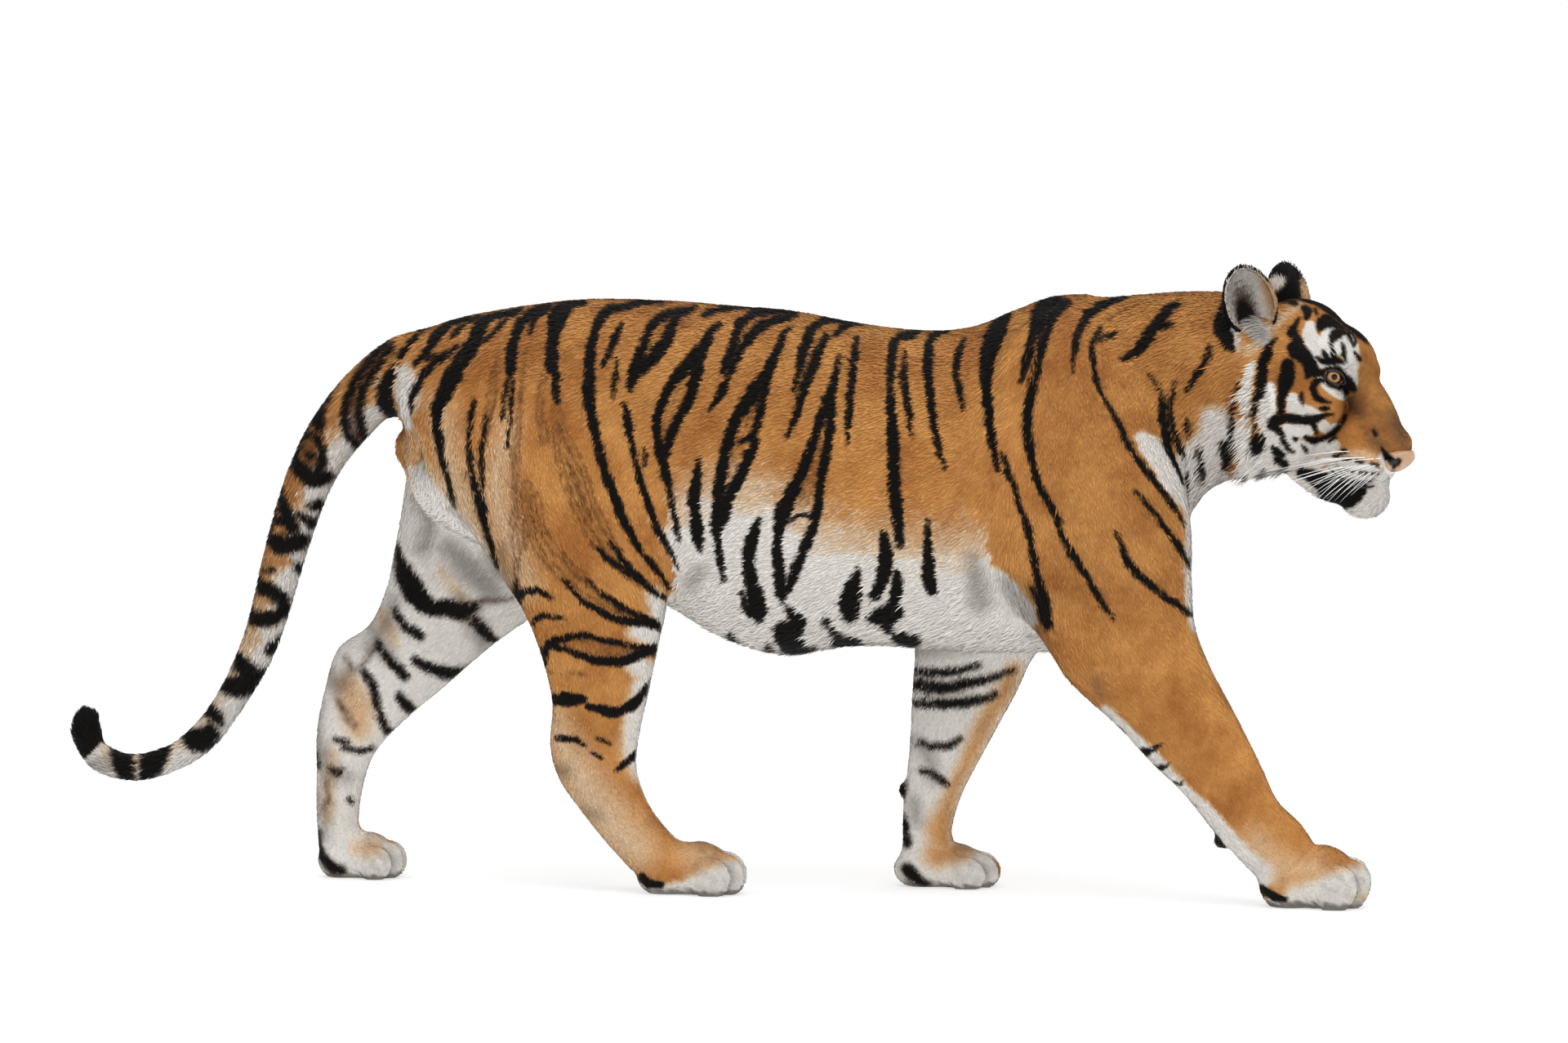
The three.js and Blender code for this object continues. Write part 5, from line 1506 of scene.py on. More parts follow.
HEAD_BLACK = (
    # crown and brow
    ((834, 947, 5), (853, 947, 9), (870, 942, 9), (887, 935, 10), (903, 925, 10), (918, 912, 10),
     (934, 899, 9), (950, 884, 8), (963, 874, 3)),
    ((838, 940, 8), (846, 938, 9)),
    ((822, 940, 4), (834, 940, 6)),
    ((858, 930, 6), (865, 925, 14), (862, 914, 8)),
    ((877, 928, 4), (879, 921, 4)),
    ((882, 896, 8), (886, 903, 18), (896, 909, 22), (908, 904, 16), (920, 898, 8), (930, 893, 5)),
    ((925, 896, 6), (935, 888, 6), (940, 880, 5), (938, 870, 4)),
    ((900, 868, 3), (902, 878, 10), (908, 886, 16), (917, 891, 12), (926, 889, 8), (932, 880, 5),
     (936, 868, 3)),
    ((917, 872, 3), (919, 858, 6), (922, 843, 3)),
    ((875, 850, 4), (885, 845, 9), (897, 844, 12), (909, 845, 10), (917, 841, 4)),
    ((886, 861, 4), (890, 852, 8), (897, 847, 8)),
    ((901, 866, 4), (903, 853, 9), (910, 846, 8)),
    ((938, 858, 3), (945, 848, 7), (948, 845, 3)),
    # round the eye
    ((884, 827, 5), (893, 832, 6), (909, 833, 6), (918, 825, 8), (926, 812, 14), (936, 802, 12),
     (940, 798, 5)),
    ((886, 826, 6), (889, 815, 5), (897, 806, 5), (909, 802, 6), (920, 804, 11), (927, 795, 8)),
    # temple and cheek
    ((846, 874, 16), (843, 862, 28), (850, 856, 26), (862, 842, 22), (868, 830, 22), (876, 826, 14),
     (885, 823, 8)),
    ((860, 845, 10), (863, 828, 16), (861, 818, 6)),
    ((850, 912, 4), (843, 900, 8), (838, 890, 15), (845, 880, 10)),
    ((886, 812, 5), (876, 813, 9), (870, 803, 10), (871, 793, 10), (878, 784, 10), (890, 779, 5),
     (897, 778, 2)),
    ((881, 769, 5), (888, 768, 8), (895, 769, 4)),
    ((850, 794, 3), (851, 785, 6), (853, 775, 3)),
    ((812, 880, 3), (803, 868, 9), (796, 852, 18), (792, 838, 17), (790, 822, 17), (788, 806, 17),
     (784, 790, 14), (778, 775, 9), (775, 760, 9), (777, 748, 4)),
    ((776, 745, 4), (780, 730, 12), (783, 715, 24), (780, 703, 16)),
    ((830, 838, 18), (829, 828, 22), (827, 815, 24), (824, 800, 18), (820, 785, 13), (819, 770, 11),
     (820, 757, 12)),
    ((804, 742, 14), (812, 750, 18), (822, 753, 14), (840, 752, 14), (856, 751, 14), (872, 751, 14),
     (884, 755, 9), (902, 760, 3)),
    ((806, 740, 14), (816, 733, 12), (822, 725, 6)),
    ((868, 748, 10), (873, 738, 8), (876, 730, 5)),
    ((858, 723, 5), (868, 717, 10), (882, 719, 9), (894, 724, 8), (904, 729, 10), (914, 740, 8),
     (921, 750, 6), (927, 758, 3)),
    ((898, 716, 4), (908, 722, 5)),
    ((839, 722, 4), (843, 720, 7)),
    ((820, 722, 5), (826, 712, 8), (832, 703, 5), (840, 700, 3)),
    ((853, 710, 3), (860, 701, 6)),
    ((806, 708, 4), (813, 700, 12), (822, 693, 10)),
    ((814, 688, 10), (826, 680, 12)),
    ((818, 667, 8), (832, 665, 8)),
    ((751, 675, 8), (751, 663, 6)),
    ((766, 660, 8), (766, 646, 6)),
    ((795, 670, 8), (795, 658, 6)),
    # corner of the mouth and lower lip
    ((856, 668, 14), (875, 660, 22), (895, 648, 34), (912, 636, 44), (928, 632, 44), (945, 640, 26),
     (955, 645, 8)),
    # roots of the whiskers, in rows
    ((921, 700, 7), (922, 700, 7)),
    ((908, 694, 5), (916, 694, 5)),
    ((922, 688, 4), (930, 687, 4)),
    ((939, 685, 4), (950, 683, 4)),
    ((962, 681, 3), (974, 677, 3)),
    ((926, 670, 4), (935, 668, 4)),
    ((945, 666, 4), (955, 665, 4)),
    ((964, 665, 3), (974, 665, 3)),
    ((926, 654, 3), (940, 653, 3)),
    ((951, 652, 3), (964, 653, 3)),
    ((968, 733, 4), (972, 727, 5)),
    # the opening of the nostril, painted black on the fur beside the leather: painted shade
    ((980.5, 706, 3), (985, 698, 8), (992, 688, 12), (1000, 682, 13)),
)

HEAD_RUST_AND_SHADE = (
    # brown down the side of the bridge of the nose, from below the eye to the muzzle: partly darker hair,
    # partly painted shade
    ((955, 850, 20), (965, 810, 50), (975, 770, 70), (985, 735, 70)),
)

HEAD_SMOKE_AND_SHADE = (
    # painted shade below the inner corner of the eye
    ((936, 800, 2), (940, 782, 4), (944, 762, 2)),
    # grey over the end of the bridge above the nose leather, partly painted shade
    ((1000, 760, 6), (1012, 735, 18), (1020, 712, 10)),
    ((766, 916, 20), (778, 900, 34), (792, 884, 24)),
    ((968, 722, 4), (976, 708, 6)),
)

HEAD_CREAM = (
    ((765, 858, 16), (790, 880, 20), (810, 903, 18), (835, 922, 12), (856, 939, 8)),
    ((925, 690, 20), (950, 690, 24), (970, 688, 16)),
)

TAIL_SMOKE = (
    ((-1062, 190, 30), (-1040, 200, 30)),
)

HEAD_WHITE = (
    ((764, 920, 20), (775, 902, 30), (790, 886, 20), (800, 872, 8)),
    ((868, 900, 16), (866, 880, 26), (878, 865, 36), (888, 855, 36)),
    ((900, 885, 30), (905, 870, 36)),
    ((925, 880, 24), (932, 860, 26), (930, 835, 26), (934, 815, 18), (939, 805, 8)),
    ((875, 845, 8), (888, 836, 9), (905, 838, 8), (918, 838, 10)),
    ((880, 826, 6), (884, 815, 9), (891, 806, 12), (904, 797, 15), (916, 791, 14), (924, 787, 7)),
    ((800, 800, 20), (798, 780, 26), (797, 760, 30), (802, 735, 26), (812, 722, 24)),
    ((838, 785, 14), (840, 772, 24), (850, 765, 20), (868, 762, 14), (880, 757, 8)),
    ((832, 735, 26), (845, 735, 26), (858, 735, 26), (868, 740, 16)),
    ((830, 715, 18), (850, 705, 24), (880, 705, 24), (905, 710, 20)),
    ((885, 742, 14), (895, 735, 12), (905, 740, 8)),
    ((740, 690, 50), (780, 690, 60), (820, 690, 50), (860, 690, 30)),
    ((775, 840, 8), (768, 820, 14), (762, 790, 20), (757, 760, 22), (755, 720, 30)),
    ((880, 680, 14), (900, 690, 14), (915, 683, 16)),
    ((905, 672, 18), (930, 662, 26), (955, 655, 26), (980, 655, 26), (992, 660, 18)),
    ((985, 690, 16), (990, 675, 16), (998, 668, 8)),
    ((935, 625, 18), (955, 620, 34), (975, 635, 30), (985, 645, 16)),
    ((925, 680, 10), (950, 675, 12), (968, 670, 10)),
)

BELLY_LINE = (
    (-140, 520), (-100, 585), (-60, 612), (0, 622), (60, 612), (110, 580), (160, 552), (220, 538), (300, 528),
    (380, 530), (440, 522), (480, 490), (510, 430),
)
TAIL_TIP = ((-1047, 237), (-1078, 206))  # the tail is black beyond this line


@dataclass(frozen=True)
class Strokes:
    """A set of strokes, each a smooth line through rows of (across, up, width)."""

    lines: tuple[Rows, ...]
    reach: float  # how far outside a stroke its distance is still worked out
    finer: int = 3

    def distance(self, places: Array) -> Array:
        """Returns how far places lie outside the nearest stroke, at most `reach`, below 0 inside."""
        found = np.full(len(places), self.reach)
        for line in self.lines:
            rows = np.array(line, float)
            rows = spline(rows, np.linspace(0, len(rows) - 1, (len(rows) - 1) * self.finer + 1))
            margin = self.reach + rows[:, 2].max() / 2
            low, high = rows[:, :2].min(axis=0) - margin, rows[:, :2].max(axis=0) + margin
            near = np.flatnonzero(((places > low) & (places < high)).all(axis=1))
            if not near.size:
                continue
            spots, least = places[near], found[near]
            for (ax, ay, aw), (bx, by, bw) in zip(rows[:-1], rows[1:]):
                dx, dy = bx - ax, by - ay
                x, y = spots[:, 0] - ax, spots[:, 1] - ay
                t = np.clip((x * dx + y * dy) / max(dx * dx + dy * dy, 1e-9), 0, 1)
                gap = np.hypot(x - t * dx, y - t * dy) - (aw + t * (bw - aw)) / 2
                np.minimum(least, gap, out=least)
            found[near] = least
        return found

    def cover(self, places: Array, soft: float) -> Array:
        """Returns 1 inside the strokes, falling smoothly to 0 over `soft` at their edges."""
        return smoothstep(soft * 0.6, -soft * 0.4, self.distance(places))


def ear_places(points: Array, known: SkinMap) -> Iterator[tuple[Array, Array, Array]]:
    """Yields for each ear which points are its own, how far ahead in the cup they lie, and how high."""
    head = to_head(points)
    for ear, region in zip(EARS, (Region.EAR_RIGHT, Region.EAR_LEFT)):
        mine = known.region == region
        local = ear.local(head[mine])
        yield mine, -ear.side * local[:, 1], local[:, 2]


@dataclass(frozen=True)
class Pelt:
    """The colours of the coat: how orange, how rusty and how black it is at any place."""

    edge_reach: float = 12.0  # distance from a stripe's edge over which black is graded
    apart: float = 24.0  # added to that distance where a set of strokes doesn't hold
    fine_reach: float = 14.0  # the same for small patches of brown and white
    smoke_and_shade_reach: float = 26.0
    wide_reach: float = 60.0

    def shade(self, points: Array, normals: Array, known: SkinMap) -> Array:
        """Works out the colour of the coat.

        Args:
            points: places on the skin.
            normals: the skin's normals there.
            known: what the skin's map says there.

        Returns:
            For each place: orange against white; rust, with painted shade beside the bridge of the nose;
            black; and smoke, which is grey hair and painted shade in creases, grooves and hollows; each
            0 to 1. Black is 0.5 at the edge of a stripe and grows with the distance inside it.
        """
        across = wander(points, 1.6, 24, 1) + wander(points, 0.9, 7, 2)
        ragged = np.stack([across, wander(points, 1.6, 26, 3)], axis=1)
        other_side = smoothstep(0, 70, points[:, 1]) * (known.front < 0.5) * (known.inside < 0.5)
        swerve = np.stack([wander(points, 15, 260, 4), wander(points, 12, 200, 5)], axis=1)
        ragged += swerve * other_side[:, None]
        flank = known.flank + ragged
        inner = known.inner + ragged * 0.8
        face = known.face + ragged * 0.45
        tail = (known.region == Region.TAIL).astype(float)
        sets = (
            # strokes, where they are drawn, share that they hold for, sharpness of edge, widening
            (FLANK_BLACK, flank, known.outer, 1.0, 1.2),
            (INNER_BLACK, inner, known.inside, 0.5, 1.0),
            (HEAD_BLACK, face, known.front, 1.0, 0.3),
            (TAIL_BLACK, flank, tail, 0.5, 1.2),
        )
        out = [
            Strokes(lines, self.edge_reach).distance(spots) * soft - wider + (1 - share) * self.apart
            for lines, spots, share, soft, wider in sets
        ]
        (ax, ay), (bx, by) = TAIL_TIP
        beyond = (flank[:, 0] - ax) * (by - ay) - (flank[:, 1] - ay) * (bx - ax)
        beyond = beyond / math.hypot(bx - ax, by - ay)
        past_bend = (flank[:, 0] < -990) & (tail > 0)
        out.append(np.where(past_bend, -beyond, self.edge_reach))
        out.append(self.ear_black(points, known))
        distance = np.clip(np.min(out, axis=0), -self.edge_reach, self.edge_reach)
        black = 0.5 - 0.5 * distance / self.edge_reach

        saddle = smoothstep(640, 900, points[:, 2]) * (known.limb < 0) * (1 - known.front) * (1 - tail)
        shoulder = 0.8 * smoothstep(480, 560, points[:, 0]) * smoothstep(420, 520, points[:, 2])
        saddle = np.maximum(saddle, shoulder * (1 - known.front))
        edges = Strokes(FLANK_RUST, self.fine_reach).distance(flank)
        lines = np.cos(2 * np.pi * (edges + 1) / 9.5)  # brown bands are darker lines side by side
        rust = np.max(
            [
                (0.6 + 0.4 * lines) * smoothstep(5, -3, edges) * known.outer,
                Strokes(INNER_RUST, self.fine_reach).cover(inner, 14) * known.inside,
                Strokes(HEAD_RUST_AND_SHADE, 24.0).cover(face, 30) * known.front * 0.5,
                0.26 * saddle,
                Strokes(TAIL_RUST, self.fine_reach).cover(flank, 14) * tail,
            ],
            axis=0,
        )
        tone = self.tone(points, normals, known, flank, inner, face)
        # grey hair and painted shade: armpit, inner faces of the far legs, toe grooves, ear hollows, beside
        # the nose
        smoke_and_shade = np.max(
            [
                Strokes(FLANK_SMOKE_AND_SHADE, self.smoke_and_shade_reach).cover(flank, 34) * known.outer * 0.55,
                Strokes(INNER_SMOKE_AND_SHADE, self.smoke_and_shade_reach).cover(inner, 34) * known.inside * 0.58,
                Strokes(HEAD_SMOKE_AND_SHADE, self.smoke_and_shade_reach).cover(face, 34) * known.front * 0.68,
                Strokes(TAIL_SMOKE, self.fine_reach).cover(flank, 14) * tail * 0.5,
                0.14 * tail,
                self.toe_shade_and_dust(points, known),
                self.ear_hollow_hair_and_shade(points, known),
            ],
            axis=0,
        )
        return np.stack([tone, rust, black, smoke_and_shade], axis=1)

    @staticmethod
    def toe_shade_and_dust(points: Array, known: SkinMap) -> Array:
        """Returns the painted shade in the grooves between the toes, a darkening along the bottom edge of the
        sole, and dust on the toes.
        """
        found = np.zeros(len(points))
        for k, limb in enumerate(LIMBS):
            mine = np.flatnonzero((known.region == Region.FORE_RIGHT + k) & (points[:, 2] < 110))
            local = limb.paw.local(points[mine]) / [1, limb.paw.half, limb.paw.height]
            off = np.minimum(np.abs(local[:, 1]), np.abs(np.abs(local[:, 1]) - 0.51))
            # painted shade in the grooves between the toes
            groove = np.exp(-((off / 0.08) ** 2)) * smoothstep(0.85, 0.5, local[:, 2])
            sole = smoothstep(0.2, 0.06, local[:, 2] + wander(points[mine], 0.04, 16, 9))
            front = limb.toe_share(points[mine])
            dust = (0.16 + wander(points[mine], 0.08, 18, 10)) * smoothstep(0.2, 0.8, front)
            # darker along the bottom edge of the paw
            low_edge_dark = 0.8 * sole * limb.paw_share(points[mine])
            found[mine] = np.max([0.9 * groove * front, low_edge_dark, dust], axis=0)
        return found

    @staticmethod
    def ear_hollow_hair_and_shade(points: Array, known: SkinMap) -> Array:
        """Returns the darkening inside the ears, partly dark hair and partly painted shade of the hollow:
        darkest low in the cup, pale towards its edge.
        """
        found = np.zeros(len(points))
        for mine, ahead, up in ear_places(points, known):
            deep = np.hypot((ahead + 9) / 25, (up + 6) / 56) + wander(points[mine], 0.14, 9, 8)
            low = smoothstep(0.95, 0.2, np.hypot((ahead + 12) / 17, (up + 24) / 34))
            dark = 0.2 + 0.8 * smoothstep(1.15, 0.35, deep) + 0.34 * low
            found[mine] = (known.wrap[mine] < 0.5) * np.clip(dark, 0, 1.0)
        return found

    @staticmethod
    def ear_black(points: Array, known: SkinMap) -> Array:
        """Returns the distance outside the black back of the ears, less their white spots, and outside the
        black painted low in the hollow of the cups as shade.
        """
        reach = Pelt.edge_reach
        found = np.full(len(points), reach)
        for mine, ahead, up in ear_places(points, known):
            spot = 14 * (1 - np.hypot((ahead + 6) / 26, (up - 30) / 14))
            bare = np.max([spot, -56 - up, ahead - 38], axis=0)
            # painted shade: black low in the hollow of the cup
            hollow = reach * np.hypot((ahead + 12) / 14, (up + 22) / 33) - reach
            found[mine] = np.where(known.wrap[mine] > 0.5, bare, np.clip(hollow, -reach, reach))
        return found

    @staticmethod
    def tone(points: Array, normals: Array, known: SkinMap, flank: Array, inner: Array, face: Array) -> Array:
        """Returns how orange the coat is, from 0, white, to 1."""
        line = np.array(BELLY_LINE, float)
        across, up = flank[:, 0], flank[:, 1]
        fade = wander(points, 9, 45, 6) + wander(points, 6, 12, 7)
        above = up - np.interp(across, line[:, 0], line[:, 1], left=480, right=400) + fade
        body = 0.5 * smoothstep(-42, 20, above) + 0.5 * smoothstep(0, 130, above)
        under = smoothstep(-0.35, -0.75, normals[:, 2])
        trunk = np.isin(known.region, (Region.TORSO, Region.NECK))
        tone = np.where(trunk, body * (1 - 0.9 * under), 1.0)
        throat = smoothstep(40, 0, np.abs(points[:, 1])) * smoothstep(600, 680, points[:, 0])
        throat = throat * smoothstep(840, 760, points[:, 2])
        tone = np.where(trunk, tone * (1 - throat), tone)

        limb = known.limb >= 0
        cream = 0.42 * Strokes(FLANK_CREAM, Pelt.wide_reach).cover(flank, 90)
        tone = tone * (1 - cream)
        inside_tone = Strokes(INNER_TAN, 40.0).cover(inner, 60) * np.where(points[:, 0] > 0, 0.84, 0.62)
        foot = smoothstep(120, 60, points[:, 2])
        soft = np.where(limb & (points[:, 0] > 0), 18 + 26 * foot, 40)
        white = Strokes(FLANK_WHITE, 40.0).distance(flank)
        outside_tone = np.where(limb, 1 - cream, tone) * (1 - smoothstep(soft * 0.6, -soft * 0.4, white))
        outside_tone = outside_tone * (1 - 0.85 * limb * smoothstep(30, 8, points[:, 2] + 0.4 * fade))
        tone = np.where(limb, outside_tone * known.outer + inside_tone * known.inside, outside_tone)

        tail = known.region == Region.TAIL
        low = smoothstep(-0.65, 0.2, -normals[:, 0] * 0.5 + normals[:, 2] * 0.8 + 0.02 * fade)
        tone = np.where(tail, low * (0.45 + 0.45 * smoothstep(300, 600, points[:, 2] + 2 * fade)), tone)

        front = (1 - Strokes(HEAD_WHITE, Pelt.fine_reach).cover(face, 9)) * known.front
        front = front * (1 - 0.4 * Strokes(HEAD_CREAM, Pelt.fine_reach).cover(face, 20))
        muzzle = smoothstep(858, 872, face[:, 0]) * smoothstep(664, 680, face[:, 1])
        jaw = smoothstep(700, 712, face[:, 1] + fade * 0.3) + muzzle
        front = front * np.clip(jaw, 0, 1)
        tone = tone * (1 - known.front) + front
        bag = np.hypot((flank[:, 0] + 519) / 25, (flank[:, 1] - 724) / 35)
        bag = smoothstep(1.1, 0.85, bag) * (known.region != Region.TAIL) * (points[:, 0] < -480)
        tone = np.maximum(tone * (1 - bag) + 0.72 * bag, 0.72 * (known.region == Region.SCROTUM))
        for mine, ahead, _ in ear_places(points, known):
            tone[mine] = 0.05 + 0.6 * smoothstep(8, 34, ahead)
        return tone


# ---------------------------------------------------------------- the coat


@dataclass(frozen=True)
class Fur:
    """Measures of the coat on one region."""

    length: float
    width: float
    lift: float  # sine of the angle between a tuft and the skin
    spacing: float  # distance between roots


PATCH = 0.003  # size of a tuft's patch on the unwrap
FURS = {
    Region.TORSO: Fur(13, 2.6, 0.15, 3.8),
    Region.NECK: Fur(15, 2.5, 0.16, 3.6),
    Region.TAIL: Fur(13, 2.4, 0.2, 3.5),
    Region.FORE_RIGHT: Fur(10.5, 2.2, 0.15, 3.5),
    Region.FORE_LEFT: Fur(10.5, 2.2, 0.15, 3.5),
    Region.HIND_RIGHT: Fur(10.5, 2.2, 0.15, 3.5),
    Region.HIND_LEFT: Fur(10.5, 2.2, 0.15, 3.5),
    Region.HEAD: Fur(6.5, 1.25, 0.18, 2.2),
    Region.EAR_RIGHT: Fur(7, 1.4, 0.25, 2.6),
    Region.EAR_LEFT: Fur(7, 1.4, 0.25, 2.6),
    Region.SCROTUM: Fur(9, 1.8, 0.25, 3.2),
}


@dataclass
class CoatField:
    """How the coat grows at each place: one number for each, in millimetres where it is a size."""

    length: Array
    width: Array
    lift: Array
    spacing: Array
    shag: Array  # share of the roots that carry a long lock

    @classmethod
    def over(cls, points: Array, normals: Array, known: SkinMap) -> "CoatField":
        """Works out the field from each region's measures, longer where the real coat is.

        Belly, chest, throat, cheeks, chin and the rear edges of the legs carry long locks. Feet and
        face carry the shortest tufts.
        """
        measures = np.array([[f.length, f.width, f.lift, f.spacing] for f in FURS.values()])[known.region]
        length, width, lift, spacing = measures.T.copy()
        head = to_head(points)
        limb = known.limb >= 0
        low = limb * smoothstep(6, 10, known.limb)
        feet = [leg.paw_share(points) * Skin.near_limb(leg, points) for leg in LIMBS]
        foot = limb * np.max(feet, axis=0)
        length = length * (1 - 0.4 * low) * (1 - 0.4 * foot)
        width = width * (1 - 0.12 * low) * (1 - 0.25 * foot)
        spacing = spacing * (1 - 0.08 * low) * (1 - 0.2 * foot)

        trunk = known.region == Region.TORSO
        neck = known.region == Region.NECK
        face = known.region == Region.HEAD
        side = np.abs(points[:, 1])
        under = smoothstep(-0.2, -0.7, normals[:, 2])
        shag = np.where(trunk, 0.5 * under, 0.0)
        shag = np.maximum(shag, neck * (0.55 * smoothstep(790, 720, points[:, 2]) + 0.1))
        chest = trunk * smoothstep(640, 700, points[:, 0])
        shag = np.maximum(shag, 0.4 * chest)
        rear = smoothstep(0.4, -0.5, np.sin(known.wrap)) * limb
        hind = np.isin(known.region, (Region.HIND_RIGHT, Region.HIND_LEFT))
        shag = np.maximum(shag, rear * hind * smoothstep(7, 4, known.limb) * 0.4)
        shag = np.maximum(shag, rear * ~hind * smoothstep(8, 5, known.limb) * 0.25)

        ruff = face * smoothstep(950, 880, head[:, 0]) * smoothstep(900, 830, head[:, 2])
        chin = face * smoothstep(672, 655, head[:, 2])
        crown = face * smoothstep(985, 900, head[:, 0])
        length = length + 5 * crown + 9 * ruff
        width = width + 0.35 * crown + 0.4 * ruff
        spacing = spacing + 0.5 * crown + 0.3 * ruff
        length = length + 3.5 * chin
        shag = np.maximum(shag, 0.5 * ruff + 0.6 * chin)
        bare_face = face * smoothstep(1010, 1060, head[:, 0])
        length = length - 2.2 * bare_face
        spacing = spacing - 0.25 * bare_face
        width = width - 0.15 * bare_face
        lift = lift + 0.06 * shag
        return cls(length, width, lift, spacing, np.clip(shag, 0, 0.8))


@dataclass
class Roots:
    """Where tufts grow, and all that is known there."""

    points: Array
    normals: Array
    field: CoatField
    known: SkinMap


def scatter(
    points: Array, faces: Array, field_: CoatField, known: SkinMap, bare: Array, rng: Rng
) -> Roots:
    """Spreads roots evenly over the skin.

    Each triangle gets its share of the roots by area over the square of the spacing. What the roots
    know is mixed from the triangle's corners, and their places in the side views are moved on from
    the nearest corner's.
    """
    a, b, c = (points[faces[:, k]] for k in range(3))
    area = np.linalg.norm(np.cross(b - a, c - a), axis=1) / 2
    spacing = field_.spacing[faces].mean(axis=1)
    hoped = np.cumsum(area / spacing**2 * (1 - bare[faces].max(axis=1)))
    count = int(hoped[-1])
    face = np.searchsorted(hoped, (np.arange(count) + rng.random(count)) * hoped[-1] / count)
    face = np.minimum(face, len(faces) - 1)
    r, s = np.sqrt(rng.random(count)), rng.random(count)
    share = np.stack([1 - r, r * (1 - s), r * s], axis=1)
    corners = faces[face]
    nearest = corners[np.arange(count), share.argmax(axis=1)]
    mix = lambda values: np.einsum("ij,ij...->i...", share, values[corners])
    spots, normals = mix(points), unit(mix(vertex_normals(points, faces)))
    moved = near_view(spots) - near_view(points[nearest])
    moved_head = head_view(to_head(spots)) - head_view(to_head(points[nearest]))
    there = SkinMap(
        known.region[nearest],
        unit(mix(known.lie)),
        known.comb[nearest],
        known.flank[nearest] + moved,
        known.inner[nearest] + moved,
        known.face[nearest] + moved_head,
        mix(known.outer),
        mix(known.inside),
        smoothstep(*FACE_EDGE, known.face[nearest][:, 0] + moved_head[:, 0]) * (known.front[nearest] > 0),
        known.limb[nearest],
        known.wrap[nearest],
    )
    grown = CoatField(*(mix(values) for values in vars(field_).values()))
    return Roots(spots, normals, grown, there)


def further_on(roots: Roots, distance: Array) -> SkinMap:
    """Returns what is known where the roots come to when moved along the lie by `distance`."""
    ahead = roots.points + roots.known.lie * distance[:, None]
    moved = near_view(ahead) - near_view(roots.points)
    moved_head = head_view(to_head(ahead)) - head_view(to_head(roots.points))
    known = roots.known
    return replace(known, flank=known.flank + moved, inner=known.inner + moved, face=known.face + moved_head)


@dataclass
class Tufts:
    """Many tufts as one mesh: points, triangles, normals, colours, tints and bake patches."""

    points: Array
    faces: Array
    normals: Array
    shade: Array
    tint: Array
    patch: Array  # corner of each point's patch on the unwrap


def tuft_axes(roots: Roots, pick: Array, rng: Rng, stray: float) -> tuple[Array, Array, Array]:
    """Returns the directions of the picked tufts: along the lie, to the side, and off the skin."""
    normal = roots.normals[pick]
    lie = laid_flat(roots.known.lie[pick], normal)
    side = np.cross(normal, lie)
    clump = wander(roots.points[pick], 0.16, 38, 11) + wander(roots.points[pick], 0.1, 13, 12)
    turn = clump + rng.normal(0, stray, len(pick))
    lie = unit(lie * np.cos(turn)[:, None] + side * np.sin(turn)[:, None])
    return lie, np.cross(normal, lie), normal


def graded(shades: Shades, pick: Array, along: tuple[float, ...], rng: Rng) -> Array:
    """Returns the colour of each point of the picked tufts.

    Args:
        shades: colours near the roots and near the tips.
        pick: numbers of the roots.
        along: how far along the tuft each of its points is, 0 to 1.
        rng: source of a small shift of every tuft's black, which frays the stripes' edges.
    """
    share = np.array(along)[None, :, None]
    low, high = (shade[pick][:, None] for shade in shades)
    mixed = low * (1 - share) + high * share
    mixed[:, :, 2] += rng.normal(0, 0.036, (len(pick), 1)) * (mixed[:, :, 2] > 0.05)
    mixed[:, :, 0] += rng.normal(0, 0.055, (len(pick), 1)) * (mixed[:, :, 0] < 0.98)
    return mixed.reshape(-1, mixed.shape[2])


def short_tufts(roots: Roots, pick: Array, shades: Shades, chart: Array, rng: Rng) -> Tufts:
    """Makes flat-lying tufts: a leaf of four triangles each, widest halfway to its tip."""
    lie, side, normal = tuft_axes(roots, pick, rng, 0.13)
    count = len(pick)
    f = roots.field
    length = (f.length[pick] * rng.uniform(0.75, 1.25, count))[:, None]
    half = (f.width[pick] * rng.uniform(0.35, 0.65, count))[:, None]
    lift = (f.lift[pick] * rng.uniform(0.6, 1.5, count))[:, None]
    root = roots.points[pick] - 0.9 * normal
    way = lie * np.sqrt(1 - lift**2) + normal * lift
    middle = roots.points[pick] + way * length * 0.45 + normal * 0.35
    tip = roots.points[pick] + way * length
    points = np.stack([root, middle - side * half, middle + side * half, tip], axis=1)
    pattern = np.array([[0, 1, 2], [1, 3, 2], [0, 2, 3], [0, 3, 1]])
    faces = (np.arange(count)[:, None, None] * 4 + pattern).reshape(-1, 3)
    sheen = unit(normal + side * rng.normal(0, 0.16, (count, 1)) + lie * rng.normal(0.05, 0.12, (count, 1)))
    tint = rng.normal(0.5, 0.17, count).clip(0, 1)
    corners = np.array([[0, 0.5], [0.4, 0], [0.4, 1], [1, 0.5]]) * PATCH
    patch = chart[pick][:, None] + corners
    return Tufts(
        points.reshape(-1, 3),
        faces,
        np.repeat(sheen, 4, axis=0),
        graded(shades, pick, (0.0, 0.0, 0.0, 1.0), rng),
        np.repeat(tint, 4),
        patch.reshape(-1, 2),
    )


